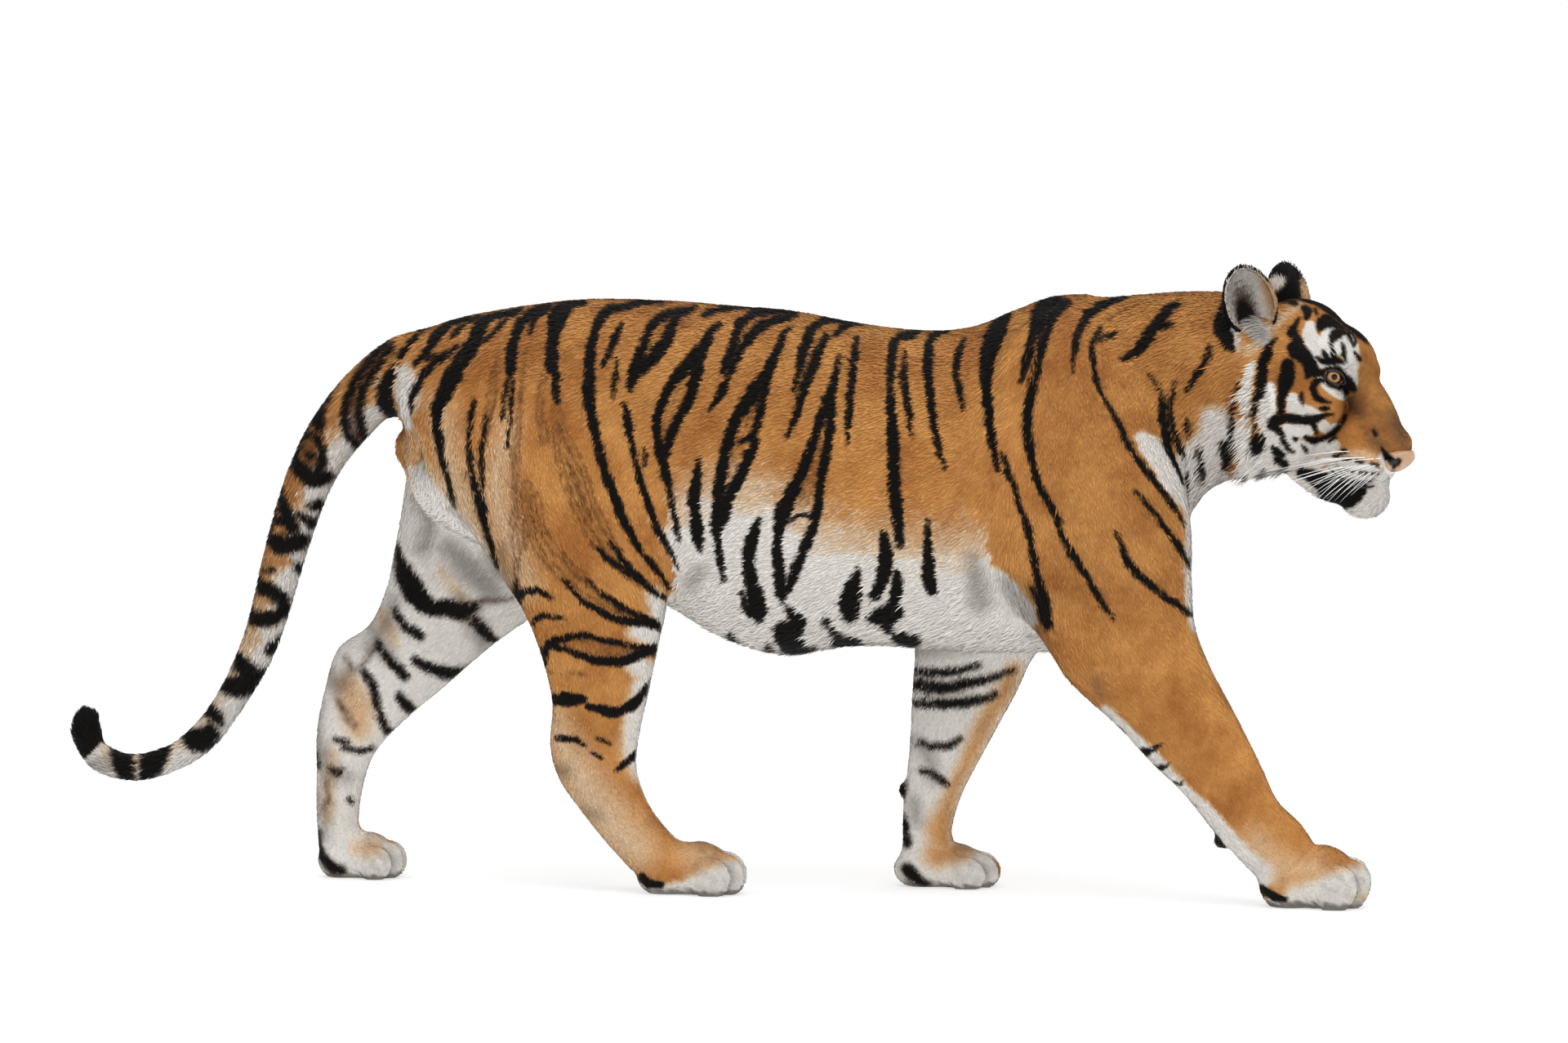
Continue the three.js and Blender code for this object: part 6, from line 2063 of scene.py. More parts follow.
def long_locks(roots: Roots, pick: Array, shades: Shades, chart: Array, rng: Rng) -> Tufts:
    """Makes long locks: a keeled blade of twelve triangles each, bent down by its own weight.

    A lock leaves the skin at its lift, and its height over the lie falls with the square of the
    way along it.
    """
    lie, side, normal = tuft_axes(roots, pick, rng, 0.18)
    count = len(pick)
    f = roots.field
    length = (f.length[pick] * rng.uniform(1.4, 2.1, count))[:, None]
    half = (f.width[pick] * rng.uniform(0.28, 0.5, count))[:, None]
    lift = (f.lift[pick] * rng.uniform(0.6, 1.3, count))[:, None]
    sway = side * rng.normal(0, 0.12, (count, 1))

    def at(u: float) -> Array:
        """Returns the places at share `u` of the way along the locks."""
        rise = normal * length * lift * (u - 0.45 * u * u)
        fall = np.array([0, 0, -1.0]) * length * 0.16 * u * u
        return roots.points[pick] + lie * length * u * 0.96 + rise + fall + sway * length * u * u

    rings = []
    for u, share in ((0.3, 1.0), (0.68, 0.8)):
        middle = at(u)
        edge, keel = side * half * share, normal * half * 0.5 * share
        rings += [middle - edge, middle + edge, middle - keel]
    points = np.stack([roots.points[pick] - normal, *rings, at(1.0)], axis=1)
    pattern = np.array(
        [
            [0, 1, 2], [0, 2, 3], [0, 3, 1],
            [1, 4, 5], [1, 5, 2], [2, 5, 6], [2, 6, 3], [3, 6, 4], [3, 4, 1],
            [4, 7, 5], [5, 7, 6], [6, 7, 4],
        ]
    )
    faces = (np.arange(count)[:, None, None] * 8 + pattern).reshape(-1, 3)
    sheen = unit(normal + side * rng.normal(0, 0.18, (count, 1)) + lie * rng.normal(0, 0.15, (count, 1)))
    sheen = np.repeat(sheen[:, None], 8, axis=1)
    sheen[:, [1, 4]] -= 0.35 * side[:, None]
    sheen[:, [2, 5]] += 0.35 * side[:, None]
    tint = rng.normal(0.55, 0.18, count).clip(0, 1)
    near, far = [[0.3, 0], [0.3, 1], [0.3, 0.5]], [[0.7, 0], [0.7, 1], [0.7, 0.5]]
    corners = np.array([[0, 0.5], *near, *far, [1, 0.5]]) * PATCH
    patch = chart[pick][:, None] + corners
    return Tufts(
        points.reshape(-1, 3),
        faces,
        unit(sheen.reshape(-1, 3)),
        graded(shades, pick, (0.0, 0.0, 0.0, 0.0, 0.6, 0.6, 0.6, 1.0), rng),
        np.repeat(tint, 8),
        patch.reshape(-1, 2),
    )


def merged(parts: list[Tufts]) -> Tufts:
    """Returns several sets of tufts as one."""
    points, faces = joined([(part.points, part.faces) for part in parts])
    names = ("normals", "shade", "tint", "patch")
    rest = (np.concatenate([getattr(part, name) for part in parts]) for name in names)
    return Tufts(points, faces, *rest)


@dataclass
class Coat:
    """The whole coat, in one piece for each stretch of the body."""

    seed: int = 20
    coarser: float = 1.0
    pieces: dict[str, tuple[Region, ...]] = field(
        default_factory=lambda: {
            "torso": (Region.TORSO,),
            "neck": (Region.NECK,),
            "tail": (Region.TAIL, Region.SCROTUM),
            "fore_right": (Region.FORE_RIGHT,),
            "fore_left": (Region.FORE_LEFT,),
            "hind_right": (Region.HIND_RIGHT,),
            "hind_left": (Region.HIND_LEFT,),
            "head": (Region.HEAD,),
            "ears": (Region.EAR_RIGHT, Region.EAR_LEFT),
        }
    )
    two_sided: tuple[str, ...] = ("torso", "head")

    def build(
        self, points: Array, faces: Array, known: SkinMap, finish: bpy.types.Material
    ) -> list[bpy.types.Object]:
        """Grows the coat on the skin and returns its pieces."""
        rng = np.random.default_rng(self.seed)
        normals = vertex_normals(points, faces)
        field_ = CoatField.over(points, normals, known)
        field_.spacing = field_.spacing * self.coarser
        field_.width = field_.width * self.coarser**0.8
        roots = scatter(points, faces, field_, known, bare_skin(points), rng)
        places = (further_on(roots, roots.field.length * share) for share in (0.45, 1.0))
        shades = tuple(Pelt().shade(roots.points, roots.normals, place) for place in places)
        LOG.info("coat: %d roots", len(roots.points))
        made = []
        for name, regions in self.pieces.items():
            mine = np.isin(roots.known.region, regions)
            halves = {"": mine}
            if name in self.two_sided:
                y = to_head(roots.points)[:, 1] if name == "head" else roots.points[:, 1]
                halves = {"_right": mine & (y < 0), "_left": mine & (y >= 0)}
            for half, chosen in halves.items():
                pick = np.flatnonzero(chosen)
                chart = self.chart(roots.known.comb, pick)
                long = rng.random(len(pick)) < roots.field.shag[pick] * 0.55
                short = short_tufts(roots, pick[~long], shades, chart, rng)
                tufts = merged([short, long_locks(roots, pick[long], shades, chart, rng)])
                made.append(self.piece("coat_" + name + half, tufts, finish))
        return made

    @staticmethod
    def chart(comb: Array, pick: Array) -> Array:
        """Returns the corner of every root's patch: its place along and round the stretch, in 0 to 1."""
        low, high = comb[pick].min(axis=0), comb[pick].max(axis=0)
        return 0.01 + 0.975 * (comb - low) / np.maximum(high - low, 1.0)

    @staticmethod
    def piece(name: str, tufts: Tufts, finish: bpy.types.Material) -> bpy.types.Object:
        """Puts one set of tufts into a mesh object with its colours, normals and bake map."""
        tufts.points[:, 2] = np.maximum(tufts.points[:, 2], FLOOR_GAP)
        made = make_object(name, tufts.points, tufts.faces, finish)
        mesh = made.data
        set_attribute(mesh, "pelt", "FLOAT_COLOR", tufts.shade)
        set_attribute(mesh, "tint", "FLOAT", tufts.tint)
        layer = mesh.uv_layers.new(name="OFBake")
        layer.data.foreach_set("uv", tufts.patch[tufts.faces.ravel()].astype(np.float32).ravel())
        mesh.normals_split_custom_set_from_vertices(tufts.normals.astype(np.float32))
        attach(made, "root")
        LOG.info("%s: %d triangles", name, len(tufts.faces))
        return made


def bare_skin(points: Array) -> Array:
    """Returns 1 where no hair grows: between the lids, on the nose, on the lips and under the feet."""
    head = to_head(points)
    bare = np.zeros(len(points))
    for eye in EYES:
        bare = np.maximum(bare, eye.between_lids(head) < 1.18)
    nose = np.linalg.norm((head - Nose.centre) / np.array(Nose.radii), axis=1)
    bare = np.maximum(bare, nose < 1.03)
    bare = np.maximum(bare, points[:, 2] < 1.0)
    return bare


# ---------------------------------------------------------------- finishes

VALUE, FROM_LOW, FROM_HIGH, TO_LOW, TO_HIGH = range(5)  # inputs of a Map Range node
MIX_A, MIX_B, MIXED = 6, 7, 2  # colour inputs and colour output of a Mix node
Adder = Callable[..., bpy.types.Node]


def linear(code: str) -> tuple[float, float, float, float]:
    """Returns an sRGB hex colour as linear red, green, blue and alpha."""
    parts = (int(code[k : k + 2], 16) / 255 for k in (1, 3, 5))
    return (*(c / 12.92 if c <= 0.04045 else ((c + 0.055) / 1.055) ** 2.4 for c in parts), 1.0)


def add_node(
    tree: bpy.types.NodeTree, kind: str, inputs: dict | None = None, **settings: object
) -> bpy.types.Node:
    """Adds a shader node to a tree.

    Args:
        tree: the material's or world's node tree.
        kind: type of the node, without ShaderNode before it.
        inputs: for each input, by name or number, a constant or an output to link.
        settings: the node's own settings.

    Returns:
        The node.
    """
    made = tree.nodes.new("ShaderNode" + kind)
    for key, value in settings.items():
        setattr(made, key, value)
    for key, value in (inputs or {}).items():
        if isinstance(value, bpy.types.NodeSocket):
            tree.links.new(value, made.inputs[key])
        else:
            made.inputs[key].default_value = value
    return made


def emptied(owner: bpy.types.Material | bpy.types.World) -> Adder:
    """Empties the node tree of a material or world and returns add_node for that tree."""
    owner.use_nodes = True
    owner.node_tree.nodes.clear()
    return partial(add_node, owner.node_tree)


def new_material(name: str) -> tuple[bpy.types.Material, Adder]:
    """Returns a material with no nodes, and what adds them."""
    made = bpy.data.materials.new(name)
    return made, emptied(made)


def set_stops(ramp: bpy.types.Node, stops: list[tuple[float, str]]) -> None:
    """Sets a colour ramp's stops from places and hex colours."""
    elements = ramp.color_ramp.elements
    while len(elements) < len(stops):
        elements.new(0.5)
    for element, (place, colour) in zip(elements, stops):
        element.position = place
        element.color = linear(colour)


def surface(node: Adder, inputs: dict) -> None:
    """Adds the shader and the output."""
    shader = node("BsdfPrincipled", inputs)
    node("OutputMaterial", {"Surface": shader.outputs[0]})


@dataclass(frozen=True)
class HairFinish:
    """Tiger hair: dry keratin, matt across the hairs, orange, white and black in one coat."""

    white: str = "#E6E1DA"
    cream: str = "#DDBE98"
    orange: str = "#CE9150"
    orange_deep: str = "#A96C36"
    rust: str = "#5E3A1E"
    bark: str = "#3A2616"  # hairs of both colours at the edge of a stripe
    # grey: grey hair, and painted shade in creases, grooves and hollows
    smoke_and_shade: str = "#4A4038"
    black: str = "#0C0A08"
    roughness: float = 0.62
    lick_mm: tuple[float, float] = (9.0, 2.2)  # length and width of a lick of hair in the bump

    def material(self) -> bpy.types.Material:
        """Builds the material; skin and tufts share it."""
        made, node = new_material("tiger_hair")
        pelt = node("Attribute", attribute_name="pelt")
        tint = node("Attribute", attribute_name="tint")
        comb = node("Attribute", attribute_name="comb")
        tone, rust, black = node("SeparateXYZ", {0: pelt.outputs["Color"]}).outputs
        place = node("TexCoord").outputs["Object"]
        patches = node("TexNoise", {"Vector": place, "Scale": 11.0, "Detail": 6.0, "Roughness": 0.6})
        spread = node("MapRange", {VALUE: patches.outputs[0], FROM_LOW: 0.36, FROM_HIGH: 0.62})
        oranges = {MIX_A: linear(self.orange_deep), MIX_B: linear(self.orange)}
        warm = node("Mix", {"Factor": spread.outputs[0], **oranges}, data_type="RGBA")
        pale = node("ValToRGB", {0: tone})
        set_stops(pale, [(0.0, self.white), (0.25, self.white), (0.62, self.cream)])
        smooth = partial(node, "MapRange", interpolation_type="SMOOTHSTEP")
        ripe = smooth({VALUE: tone, FROM_LOW: 0.45, FROM_HIGH: 0.95})
        sides = {MIX_A: pale.outputs[0], MIX_B: warm.outputs[MIXED]}
        colour = node("Mix", {"Factor": ripe.outputs[0], **sides}, data_type="RGBA").outputs[MIXED]

        flecks = node("TexNoise", {"Vector": place, "Scale": 70.0, "Detail": 4.0})
        amount = {VALUE: flecks.outputs[0], FROM_LOW: 0.3, FROM_HIGH: 0.62, TO_LOW: 0.5}
        amount = node("MapRange", amount)
        rusty = node("Math", {0: rust, 1: amount.outputs[0]}, operation="MULTIPLY")
        halo = node("MapRange", {VALUE: black, FROM_LOW: 0.36, FROM_HIGH: 0.52, TO_HIGH: 0.8})
        dark = smooth({VALUE: black, FROM_LOW: 0.44, FROM_HIGH: 0.6})
        layers = (
            # rust: brown hair, and beside the bridge of the nose painted shade
            (rusty.outputs[0], self.rust),
            # smoke: grey hair, and painted shade in creases, grooves and hollows
            (pelt.outputs["Alpha"], self.smoke_and_shade),
            (halo.outputs[0], self.bark),
            (dark.outputs[0], self.black),
        )
        for share, pigment in layers:
            layer = {"Factor": share, MIX_A: colour, MIX_B: linear(pigment)}
            colour = node("Mix", layer, data_type="RGBA").outputs[MIXED]

        bright = node("MapRange", {VALUE: tint.outputs["Fac"], TO_LOW: 0.76, TO_HIGH: 1.24})
        toned = node("HueSaturation", {"Value": bright.outputs[0], "Color": colour})
        length, width = self.lick_mm
        stretch = node("Mapping", {"Vector": comb.outputs["Vector"], "Scale": (1 / length, 1 / width, 1)})
        licks = node("TexNoise", {"Vector": stretch.outputs[0], "Scale": 1.0, "Detail": 4.0})
        bump = node("Bump", {"Strength": 0.35, "Distance": 0.0012, "Height": licks.outputs[0]})
        surface(
            node,
            {
                "Base Color": toned.outputs[0],
                "Roughness": self.roughness,
                "Normal": bump.outputs[0],
                "Specular IOR Level": 0.1,
            },
        )
        return made


@dataclass(frozen=True)
class SoftSkinFinish:
    """Bare skin of nose, lids and lips: moist, finely pebbled leather."""

    name: str
    colour: str
    dark: str
    roughness: float = 0.42
    pebble_mm: float = 1.6

    def material(self) -> bpy.types.Material:
        """Builds the material: pebbles from a cell pattern, darker where the pit attribute says, which on the
        nose is painted shade in the nostrils and a darker lower edge.
        """
        made, node = new_material(self.name)
        place = node("TexCoord").outputs["Object"]
        pit = node("Attribute", attribute_name="pit")
        cells = node("TexVoronoi", {"Vector": place, "Scale": 1 / (self.pebble_mm * MM)})
        mottle = node("TexNoise", {"Vector": place, "Scale": 120.0, "Detail": 4.0})
        share = {VALUE: mottle.outputs[0], FROM_LOW: 0.35, FROM_HIGH: 0.8, TO_HIGH: 0.25}
        share = node("MapRange", share)
        deep = node("Math", {0: share.outputs[0], 1: pit.outputs["Fac"]}, operation="MAXIMUM")
        shades = {MIX_A: linear(self.colour), MIX_B: linear(self.dark)}
        colour = node("Mix", {"Factor": deep.outputs[0], **shades}, data_type="RGBA")
        bump = node("Bump", {"Strength": 0.35, "Distance": 0.0004, "Height": cells.outputs[0]})
        surface(
            node,
            {
                "Base Color": colour.outputs[MIXED],
                "Roughness": self.roughness,
                "Normal": bump.outputs[0],
                "Subsurface Weight": 0.08,
                "Subsurface Radius": (1.0, 0.4, 0.25),
                "Subsurface Scale": 0.004,
            },
        )
        return made


@dataclass(frozen=True)
class EyeFinish:
    """Wet eyeball: amber iris with radial fibres, round pupil and dark rim, under clear tears."""

    pupil: float = 0.42
    amber: str = "#A97B48"
    deep: str = "#6B4A20"
    rim: str = "#1A120C"
    white: str = "#2A1D16"  # the dark white of the eye
    hole: tuple[str, str] = ("#030303", "#040303")  # middle and edge of the pupil

    def material(self) -> bpy.types.Material:
        """Builds the material from the distance to the pupil's middle and the angle round it."""
        made, node = new_material("wet_eye")
        gaze = node("Attribute", attribute_name="gaze").outputs["Vector"]
        radius = node("SeparateXYZ", {0: gaze}).outputs[0]
        fibres = node("Mapping", {"Vector": gaze, "Scale": (1.5, 9, 9)})
        noise = node("TexNoise", {"Vector": fibres.outputs[0], "Scale": 1.6, "Detail": 3.0})
        shift = node("Math", {0: noise.outputs[0], 1: 0.16, 2: -0.08}, operation="MULTIPLY_ADD")
        place = node("Math", {0: radius, 1: shift.outputs[0]}, operation="ADD")
        half = node("Math", {0: place.outputs[0], 1: 0.5}, operation="MULTIPLY")
        ramp = node("ValToRGB", {0: half.outputs[0]})
        edge = self.pupil / 2
        iris = [(edge + 0.015, self.deep), (0.23, self.amber), (0.43, self.amber), (0.48, self.deep)]
        rest = [(0.51, self.rim), (0.62, self.white)]
        set_stops(ramp, [(0.0, self.hole[0]), (edge, self.hole[1]), *iris, *rest])
        surface(
            node,
            {
                "Base Color": ramp.outputs[0],
                "Roughness": 0.25,
                "Coat Weight": 0.35,
                "Specular IOR Level": 0.25,
                "Coat Roughness": 0.03,
                "Coat IOR": 1.376,
            },
        )
        return made


@dataclass(frozen=True)
class HornFinish:
    """Whiskers and claws: smooth, slightly clear keratin."""

    name: str
    colour: str
    roughness: float = 0.35

    def material(self) -> bpy.types.Material:
        """Builds the material, a little mottled along its growth."""
        made, node = new_material(self.name)
        noise = node("TexNoise", {"Vector": node("TexCoord").outputs["Object"], "Scale": 300.0})
        bright = node("MapRange", {VALUE: noise.outputs[0], TO_LOW: 0.9, TO_HIGH: 1.1})
        colour = node("HueSaturation", {"Value": bright.outputs[0], "Color": linear(self.colour)})
        surface(node, {"Base Color": colour.outputs[0], "Roughness": self.roughness})
        return made


# ---------------------------------------------------------------- the face


@dataclass(frozen=True)
class Eye:
    """One eye and the slit between its lids, in the frame of the unturned head."""

    side: Side
    iris_radius: float = 10.9
    look: float = 0.93  # direction of the gaze, in radians from straight ahead

    def axes(self) -> Array:
        """Returns unit vectors out of the slit, across it to the outer corner, and up it."""
        out = np.array([math.cos(GAZE), self.side * math.sin(GAZE), 0.0])
        across = np.array([-math.sin(GAZE), self.side * math.cos(GAZE), 0.0])
        up = np.array([0.0, 0.0, 1.0])
        c, s = math.cos(SLIT_SLANT), math.sin(SLIT_SLANT)
        return np.stack([out, c * across + s * up, c * up - s * across])

    def centre(self) -> Array:
        """Returns the middle of the eyeball."""
        return EYE_CENTRE * [1, self.side, 1]

    def between_lids(self, points: Array) -> Array:
        """Returns how far points before the eye stand from the slit's middle: 1 at the lids, 9 elsewhere."""
        local = (points - self.centre()) @ self.axes().T
        wide, high = SLIT_HALF
        across = local[:, 1] / wide
        room = np.maximum(1 - across**2, 1e-4) ** 0.75
        level = np.maximum(np.abs(across), np.abs(local[:, 2]) / (high * room))
        return np.where((local[:, 0] > 4) & (np.linalg.norm(local, axis=1) < 40), level, 9.0)

    def ball(self) -> tuple[Array, Array, Array]:
        """Returns points, triangles and gaze places of the eyeball, with the bulge of the cornea."""
        rings, segments = 60, 64
        theta, phi = globe_angles(rings, segments)
        radial = EYE_RADIUS * np.sin(theta) / self.iris_radius
        bulge = 1.6 * smoothstep(1.15, 0.0, np.where(theta < 1.5, radial, 9.0))
        out = np.array([math.cos(self.look), self.side * math.sin(self.look), 0.02])
        across = unit(np.cross([0, 0, 1.0], out))
        up = np.cross(out, across)
        reach = (EYE_RADIUS - 0.4 + bulge)[:, None]
        ways = np.cos(theta)[:, None] * out + np.sin(theta)[:, None] * (
            np.cos(phi)[:, None] * across + np.sin(phi)[:, None] * up
        )
        points = self.centre() + ways * reach
        gaze = np.stack([np.where(theta < 1.5, radial, 2.0), np.cos(phi), np.sin(phi)], axis=1)
        points, faces = globe(points, rings, segments)
        return from_head(points), faces, gaze

    def rim(self) -> Surface:
        """Returns the black rim of the lids: a soft ring carried round the almond of the slit."""
        steps, segments = 96, 10
        turn = np.arange(steps + 1) * 2 * np.pi / steps
        wide, high = SLIT_HALF
        across = wide * np.cos(turn) * 1.02
        up = high * np.sign(np.sin(turn)) * np.abs(np.sin(turn)) ** 1.5
        inner = smoothstep(-0.55, -1.0, np.cos(turn))
        across = across - 5 * inner
        up = up - 3.2 * inner
        deep = np.sqrt(np.maximum((EYE_RADIUS + 2.0) ** 2 - across**2 - up**2, 40.0)) + 3 * inner
        path = np.stack([deep, across, up], axis=1)
        thick = 1.4 + 0.7 * (np.sin(turn) > 0) * np.abs(np.sin(turn))
        points, faces = tube_along(path, thick, segments, closed=True)
        return from_head(points @ self.axes() + self.centre()), outward(points @ self.axes(), faces)


EYES = (Eye(Side.RIGHT), Eye(Side.LEFT))


def tube_along(path: Array, thick: Array, segments: int, closed: bool = False) -> Surface:
    """Returns a round tube along a path.

    Args:
        path: points of the middle line.
        thick: radius at each of them.
        segments: points round the tube.
        closed: whether the path ends where it starts; its last point then repeats the first.

    Returns:
        Points and triangles; an open tube ends in poles.
    """
    along = unit(np.gradient(path, axis=0))
    if closed:
        along[0] = along[-1] = unit(path[1] - path[-2])
    helper = np.eye(3)[np.abs(along).max(axis=0).argmin()]
    side = unit(np.cross(along, helper))
    up = np.cross(side, along)
    phi = np.arange(segments) * 2 * np.pi / segments
    ring = np.cos(phi)[None, :, None] * side[:, None] + np.sin(phi)[None, :, None] * up[:, None]
    rings = path[:, None] + ring * np.asarray(thick).reshape(-1, 1, 1)
    if closed:
        count = len(path)
        faces = strip_faces(count, segments)
        faces = np.where(faces >= (count - 1) * segments, faces - (count - 1) * segments, faces)
        return rings[:-1].reshape(-1, 3), faces
    return closed_tube(rings, path[0] - along[0] * thick[0] * 0.4, path[-1] + along[-1] * thick[-1] * 0.4)


def on_face(places: Array, side: int) -> Array:
    """Returns the points of the face that show at `places` in the side view of the head, on one side."""
    low, high = np.zeros(len(places)), np.full(len(places), 95.0)
    lean, rise = VIEW_LEAN - HEAD_TURN, VIEW_RISE

    def point(y: Array) -> Array:
        """Returns the point at distance `y` from the middle plane that shows at its place."""
        x = (places[:, 0] + y * math.sin(lean)) / math.cos(lean)
        z = (places[:, 1] + math.sin(rise) * (x * math.sin(lean) + y * math.cos(lean))) / math.cos(rise)
        return np.stack([x, y, z], axis=1)

    for _ in range(16):
        middle = (low + high) / 2
        inside = FACE.distance(point(middle)) < 0
        low, high = np.where(inside, middle, low), np.where(inside, high, middle)
    return point(low) * [1, side, 1]


@dataclass(frozen=True)
class Nose:
    """The nose leather: a wide wedge with two comma-shaped nostrils and a groove below."""

    centre: Place = (1096, 0, 714)
    radii: Place = (24, 41, 19)
    lean: float = 0.5  # how far the front of the leather slopes forward towards its top
    nostril: tuple[Rows, ...] = (
        # in the side view of the head
        ((980.5, 706, 3), (985, 698, 8), (993, 687, 13), (1002, 681, 15), (1007, 685, 12)),
        ((1001, 679, 12), (1000, 673, 6)),
    )
    rings: int = 80
    segments: int = 110

    def surface(self) -> tuple[Array, Array, Array]:
        """Returns points, triangles and darkness of the leather, with painted shade in the nostrils.

        It is an ellipsoid round an axis that points ahead, narrowed downwards and leaning forward
        towards its top. The nostrils are sunk towards its middle, with a raised edge that follows a
        bell curve, and so is the groove below them.
        """
        theta, phi = globe_angles(self.rings, self.segments)
        way = np.stack([np.cos(theta), np.sin(theta) * np.cos(phi), np.sin(theta) * np.sin(phi)], axis=1)
        side, up = np.abs(way[:, 1]), way[:, 2]
        points = way * self.radii
        points[:, 1] *= 1 - 0.4 * smoothstep(0.3, -1.0, up)
        points[:, 2] *= 1 + 0.14 * smoothstep(0.0, 0.6, up) * smoothstep(1.0, 0.6, up)
        points[:, 0] += self.lean * points[:, 2]
        points = points + self.centre
        gap = Strokes(self.nostril, 10.0).distance(head_view(points))
        open_side = smoothstep(0.3, 0.5, side)
        pit = smoothstep(2.5, -6, gap) * open_side
        wing = 0.06 * np.exp(-(((gap - 3) / 2.5) ** 2)) * open_side
        groove = 0.12 * np.exp(-((side / 0.06) ** 2)) * smoothstep(0.1, -0.4, up)
        points = self.centre + (points - self.centre) * (1 - 0.3 * pit + wing - groove)[:, None]
        # painted shade: the nostrils' openings darkened; the leather is also darker towards its bottom
        dark = np.maximum(smoothstep(1.0, -1.5, gap) * open_side, 0.7 * smoothstep(-0.6, -0.9, up))
        points, faces = globe(points, self.rings, self.segments)
        return from_head(points), faces, dark


@dataclass(frozen=True)
class Whiskers:
    """Stiff white hairs in rows on the whisker pads and over the eyes."""

    seed: int = 5
    rows: tuple[tuple[float, float, float, int, float, float], ...] = (
        # first across, last across, up, count, length, droop
        (906, 925, 700, 3, 125, 0.02),
        (904, 975, 690, 7, 135, 0.06),
        (905, 978, 677, 8, 118, 0.25),
        (910, 972, 666, 7, 72, 0.62),
        (915, 960, 655, 6, 58, 0.85),
    )

    def surface(self) -> Surface:
        """Returns all whiskers as thin cones that bow outwards and down."""
        rng = np.random.default_rng(self.seed)
        parts = []
        for side in Side:
            for first, last, up, count, length, droop in self.rows:
                places = np.stack([np.linspace(first, last, count), np.full(count, up)], axis=1)
                roots = on_face(places + rng.normal(0, 1.2, places.shape), side)
                for k, root in enumerate(roots):
                    reach = length * rng.uniform(0.8, 1.1) * (1 - 0.45 * k / max(count - 1, 1))
                    out = 0.3 + 0.4 * droop + rng.normal(0, 0.07)
                    way = unit(np.array([-1.0, side * out, -droop + rng.normal(0, 0.06)]))
                    bend = np.array([-0.25, side * 0.05, -0.12 - 0.28 * droop])
                    t = np.linspace(0, 1, 8)[:, None]
                    path = root + reach * (way * t + bend * t * t) - way * 2
                    parts.append(tube_along(path, 0.7 * (1.02 - t[:, 0]) + 0.06, 5))
        for side in Side:
            for k in range(4):
                root = on_face(np.array([[898.0 + 6 * k, 850.0 + 3 * k]]), side)[0]
                way = unit(np.array([-0.1 - 0.1 * k, side * 0.6, 0.75]))
                t = np.linspace(0, 1, 7)[:, None]
                path = root + 48 * (way * t + np.array([-0.45, 0, -0.25]) * t * t)
                parts.append(tube_along(path, 0.32 * (1.02 - t[:, 0]) + 0.04, 5))
        points, faces = joined(parts)
        return from_head(points), faces


@dataclass(frozen=True)
class Lips:
    """The closed mouth: a thin black edge of lip along each side, meeting under the nose."""

    line: Rows = ((897, 674), (914, 660), (928, 650), (945, 644), (960, 643), (970, 645))

    def path(self, side: int) -> Array:
        """Returns the line of the mouth from its corner to the front, on one side."""
        places = spline(np.array(self.line, float), np.linspace(0, len(self.line) - 1, 40))
        return on_face(places, side)

    def surface(self) -> Surface:
        """Returns the lips as soft tubes sunk half their width into the skin."""
        parts = []
        for side in Side:
            path = self.path(side)
            share = np.linspace(0, 1, len(path))
            thick = 1.0 + 1.7 * np.sin(np.pi * np.clip(share, 0.05, 0.97))
            parts.append(tube_along(path - [0, side * 1.2, 0], thick, 10))
        points, faces = joined(parts)
        return from_head(points), faces


@dataclass(frozen=True)
class Claws:
    """Tips of the drawn-in claws between the fur of the toes."""

    length: float = 10.0
    thick: float = 2.6

    def surface(self) -> Surface:
        """Returns all claws as hooked cones, four on each paw."""
        parts = []
        t = np.linspace(0, 1, 10)[:, None]
        for limb in LIMBS:
            paw = limb.paw
            for share, reach in ((-0.74, 0.84), (-0.26, 0.92), (0.26, 0.92), (0.74, 0.84)):
                root = np.array([paw.heel + paw.length * reach, paw.y + share * paw.half, paw.height * 0.3])
                path = root + self.length * np.concatenate([0.9 * t, 0 * t, -0.85 * t * t], axis=1)
                parts.append(tube_along(path, self.thick * (1.02 - t[:, 0]) ** 0.8 + 0.1, 8))
        return joined(parts)


# ---------------------------------------------------------------- the studio


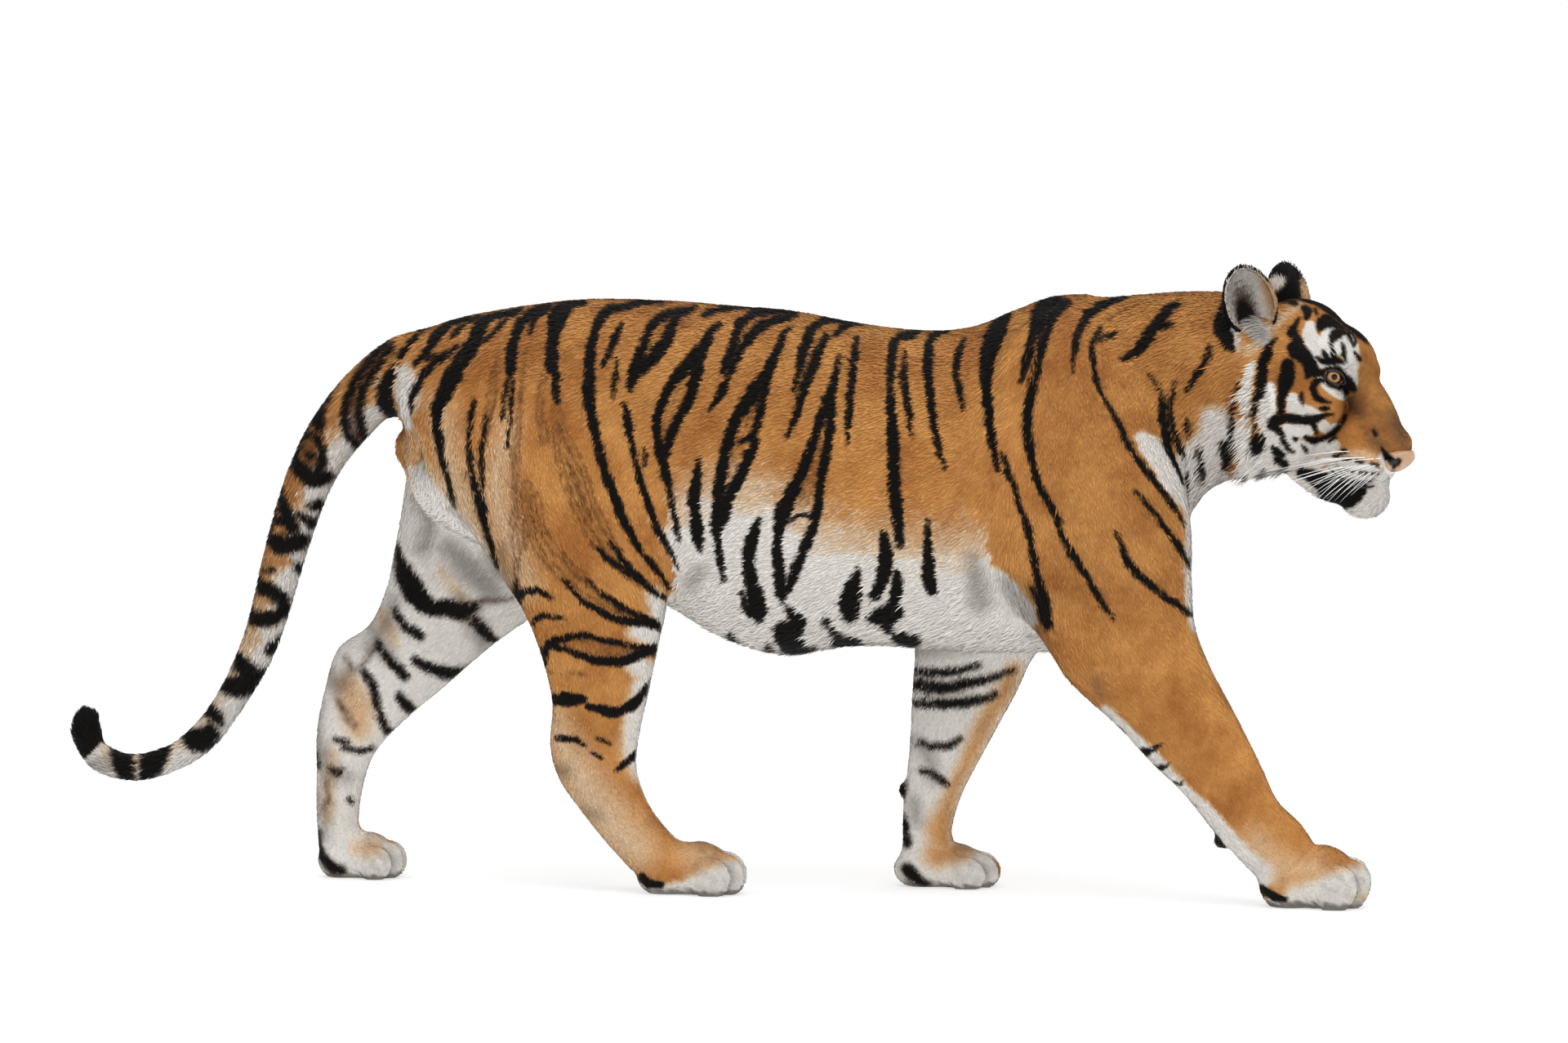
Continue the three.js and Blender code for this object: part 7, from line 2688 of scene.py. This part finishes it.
@dataclass(frozen=True)
class Studio:
    """Camera, pale floor and soft lights."""

    target: Place = (86.0, 0.0, 603.5)
    distance: float = 11_000.0
    azimuth: float = VIEW_LEAN
    elevation: float = VIEW_RISE
    lens_mm: float = 154.7
    floor_half: float = 60_000.0
    floor_grey: str = "#B4B4B4"

    def camera(self) -> None:
        """Sets the camera, looking at the tiger's right side from a little before the middle and above."""
        away = Vector(
            (
                math.sin(self.azimuth) * math.cos(self.elevation),
                -math.cos(self.azimuth) * math.cos(self.elevation),
                math.sin(self.elevation),
            )
        )
        data = bpy.data.cameras.new("camera")
        data.lens = self.lens_mm
        made = bpy.data.objects.new("camera", data)
        bpy.context.scene.collection.objects.link(made)
        made.location = (Vector(self.target) + self.distance * away) * MM
        made.rotation_euler = away.to_track_quat("Z", "Y").to_euler()
        bpy.context.scene.camera = made

    def floor(self) -> None:
        """Lays a matt floor, lit from below like a light table, so that it shows no edge."""
        made, node = new_material("light_table")
        grain = node("TexNoise", {"Vector": node("TexCoord").outputs["Object"], "Scale": 40.0})
        tone = node("MapRange", {VALUE: grain.outputs[0], TO_LOW: 0.99, TO_HIGH: 1.01})
        colour = node("HueSaturation", {"Value": tone.outputs[0], "Color": linear(self.floor_grey)})
        glow = {"Emission Color": (1.0, 1.0, 1.0, 1.0), "Emission Strength": 0.58}
        surface(node, {"Base Color": colour.outputs[0], "Roughness": 0.9, "Specular IOR Level": 0.0, **glow})
        square = np.array([[-1, -1], [1, -1], [1, 1], [-1, 1]]) * self.floor_half
        corners = np.column_stack([square, np.full(4, -0.1)])
        make_object("floor", corners, np.array([[0, 1, 2], [0, 2, 3]]), made)

    def light(self, name: str, place: Place, size: float, power: float) -> None:
        """Hangs one square soft light, aimed at the tiger."""
        data = bpy.data.lights.new(name, "AREA")
        data.size = size
        data.energy = power
        made = bpy.data.objects.new(name, data)
        made.location = place
        made.rotation_euler = (Vector(place) - Vector((0, 0, 0.5))).to_track_quat("Z", "Y").to_euler()
        bpy.context.scene.collection.objects.link(made)

    def build(self) -> None:
        """Sets floor, lights and surround: white round the horizon, a wide soft light overhead."""
        self.floor()
        self.light("key", (1.5, -3.0, 6.0), 4.0, 120.0)
        world = bpy.data.worlds.new("surround")
        bpy.context.scene.world = world
        node = emptied(world)
        height = node("SeparateXYZ", {0: node("TexCoord").outputs["Generated"]}).outputs[2]
        ramp = node("ValToRGB", {0: height})
        white = "#FFFFFF"
        set_stops(ramp, [(0.0, white), (0.16, white), (0.3, "#909090"), (0.55, "#A8A8A8"), (0.75, white)])
        high = {VALUE: height, FROM_LOW: 0.5, FROM_HIGH: 0.8, TO_LOW: 1.02, TO_HIGH: 1.7}
        high = node("MapRange", high)
        sky = node("Background", {"Color": ramp.outputs[0], "Strength": high.outputs[0]})
        node("OutputWorld", {"Surface": sky.outputs[0]})
        bpy.context.scene.view_settings.view_transform = "Standard"


# ---------------------------------------------------------------- the whole


def dress_piece(
    name: str,
    points: Array,
    faces: Array,
    finish: bpy.types.Material,
    slot: str,
    replaces: tuple[str, ...] = (),
) -> bpy.types.Object:
    """Makes one rigid piece that rides on the body and reports it."""
    made = make_object(name, points, faces, finish)
    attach(made, "root")
    if replaces:
        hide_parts(*replaces)
    LOG.info("%s: %d triangles", name, len(faces))
    return made


def main() -> None:
    """Builds the tiger piece by piece."""
    logging.basicConfig(level=logging.INFO, format="%(name)s: %(message)s")
    studio = Studio()
    studio.camera()
    hair = HairFinish().material()

    skin = Skin()
    points, faces = skin.build()
    body_count = len(points)
    ears = [ear.surface() for ear in EARS]
    points, faces = joined([(points, faces), *ears])
    known = skin.survey(points, faces, body_count)
    apart = ("eye_right", "eye_left", "nose")
    flesh = tuple(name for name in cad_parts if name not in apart)
    body = dress_piece("skin", points, faces, hair, "coat", flesh)
    normals = vertex_normals(points, faces)
    set_attribute(body.data, "pelt", "FLOAT_COLOR", Pelt().shade(points, normals, known))
    set_attribute(body.data, "tint", "FLOAT", np.full(len(points), 0.42))
    set_attribute(body.data, "comb", "FLOAT_VECTOR", np.column_stack([known.comb, np.zeros(len(points))]))

    Coat(coarser=1.0).build(points, faces, known, hair)

    wet = EyeFinish().material()
    black_skin = SoftSkinFinish("black_lid_and_lip_skin", "#0C0A09", "#050404", 0.5).material()
    for eye in EYES:
        side = eye.side.name.lower()
        ball_points, ball_faces, gaze = eye.ball()
        made = dress_piece("eyeball_" + side, ball_points, ball_faces, wet, "eye", ("eye_" + side,))
        set_attribute(made.data, "gaze", "FLOAT_VECTOR", gaze)
        rim = dress_piece("lid_rim_" + side, *eye.rim(), black_skin, "dark_coat")
        set_attribute(rim.data, "pit", "FLOAT", np.zeros(len(rim.data.vertices)))

    nose_points, nose_faces, pit = Nose().surface()
    leather = SoftSkinFinish("nose_leather", "#C29B7A", "#0C0807").material()
    nose = dress_piece("nose_leather", nose_points, nose_faces, leather, "nose_leather", ("nose",))
    set_attribute(nose.data, "pit", "FLOAT", pit)
    dress_piece("lips", *Lips().surface(), black_skin, "dark_coat")
    keratin = HornFinish("whisker_keratin", "#FBFAF7").material()
    dress_piece("whiskers", *Whiskers().surface(), keratin, "pale_coat")
    dress_piece("claws", *Claws().surface(), HornFinish("claw_horn", "#B8A88E").material(), "pale_coat")
    studio.build()


if __name__ == "__main__":
    main()
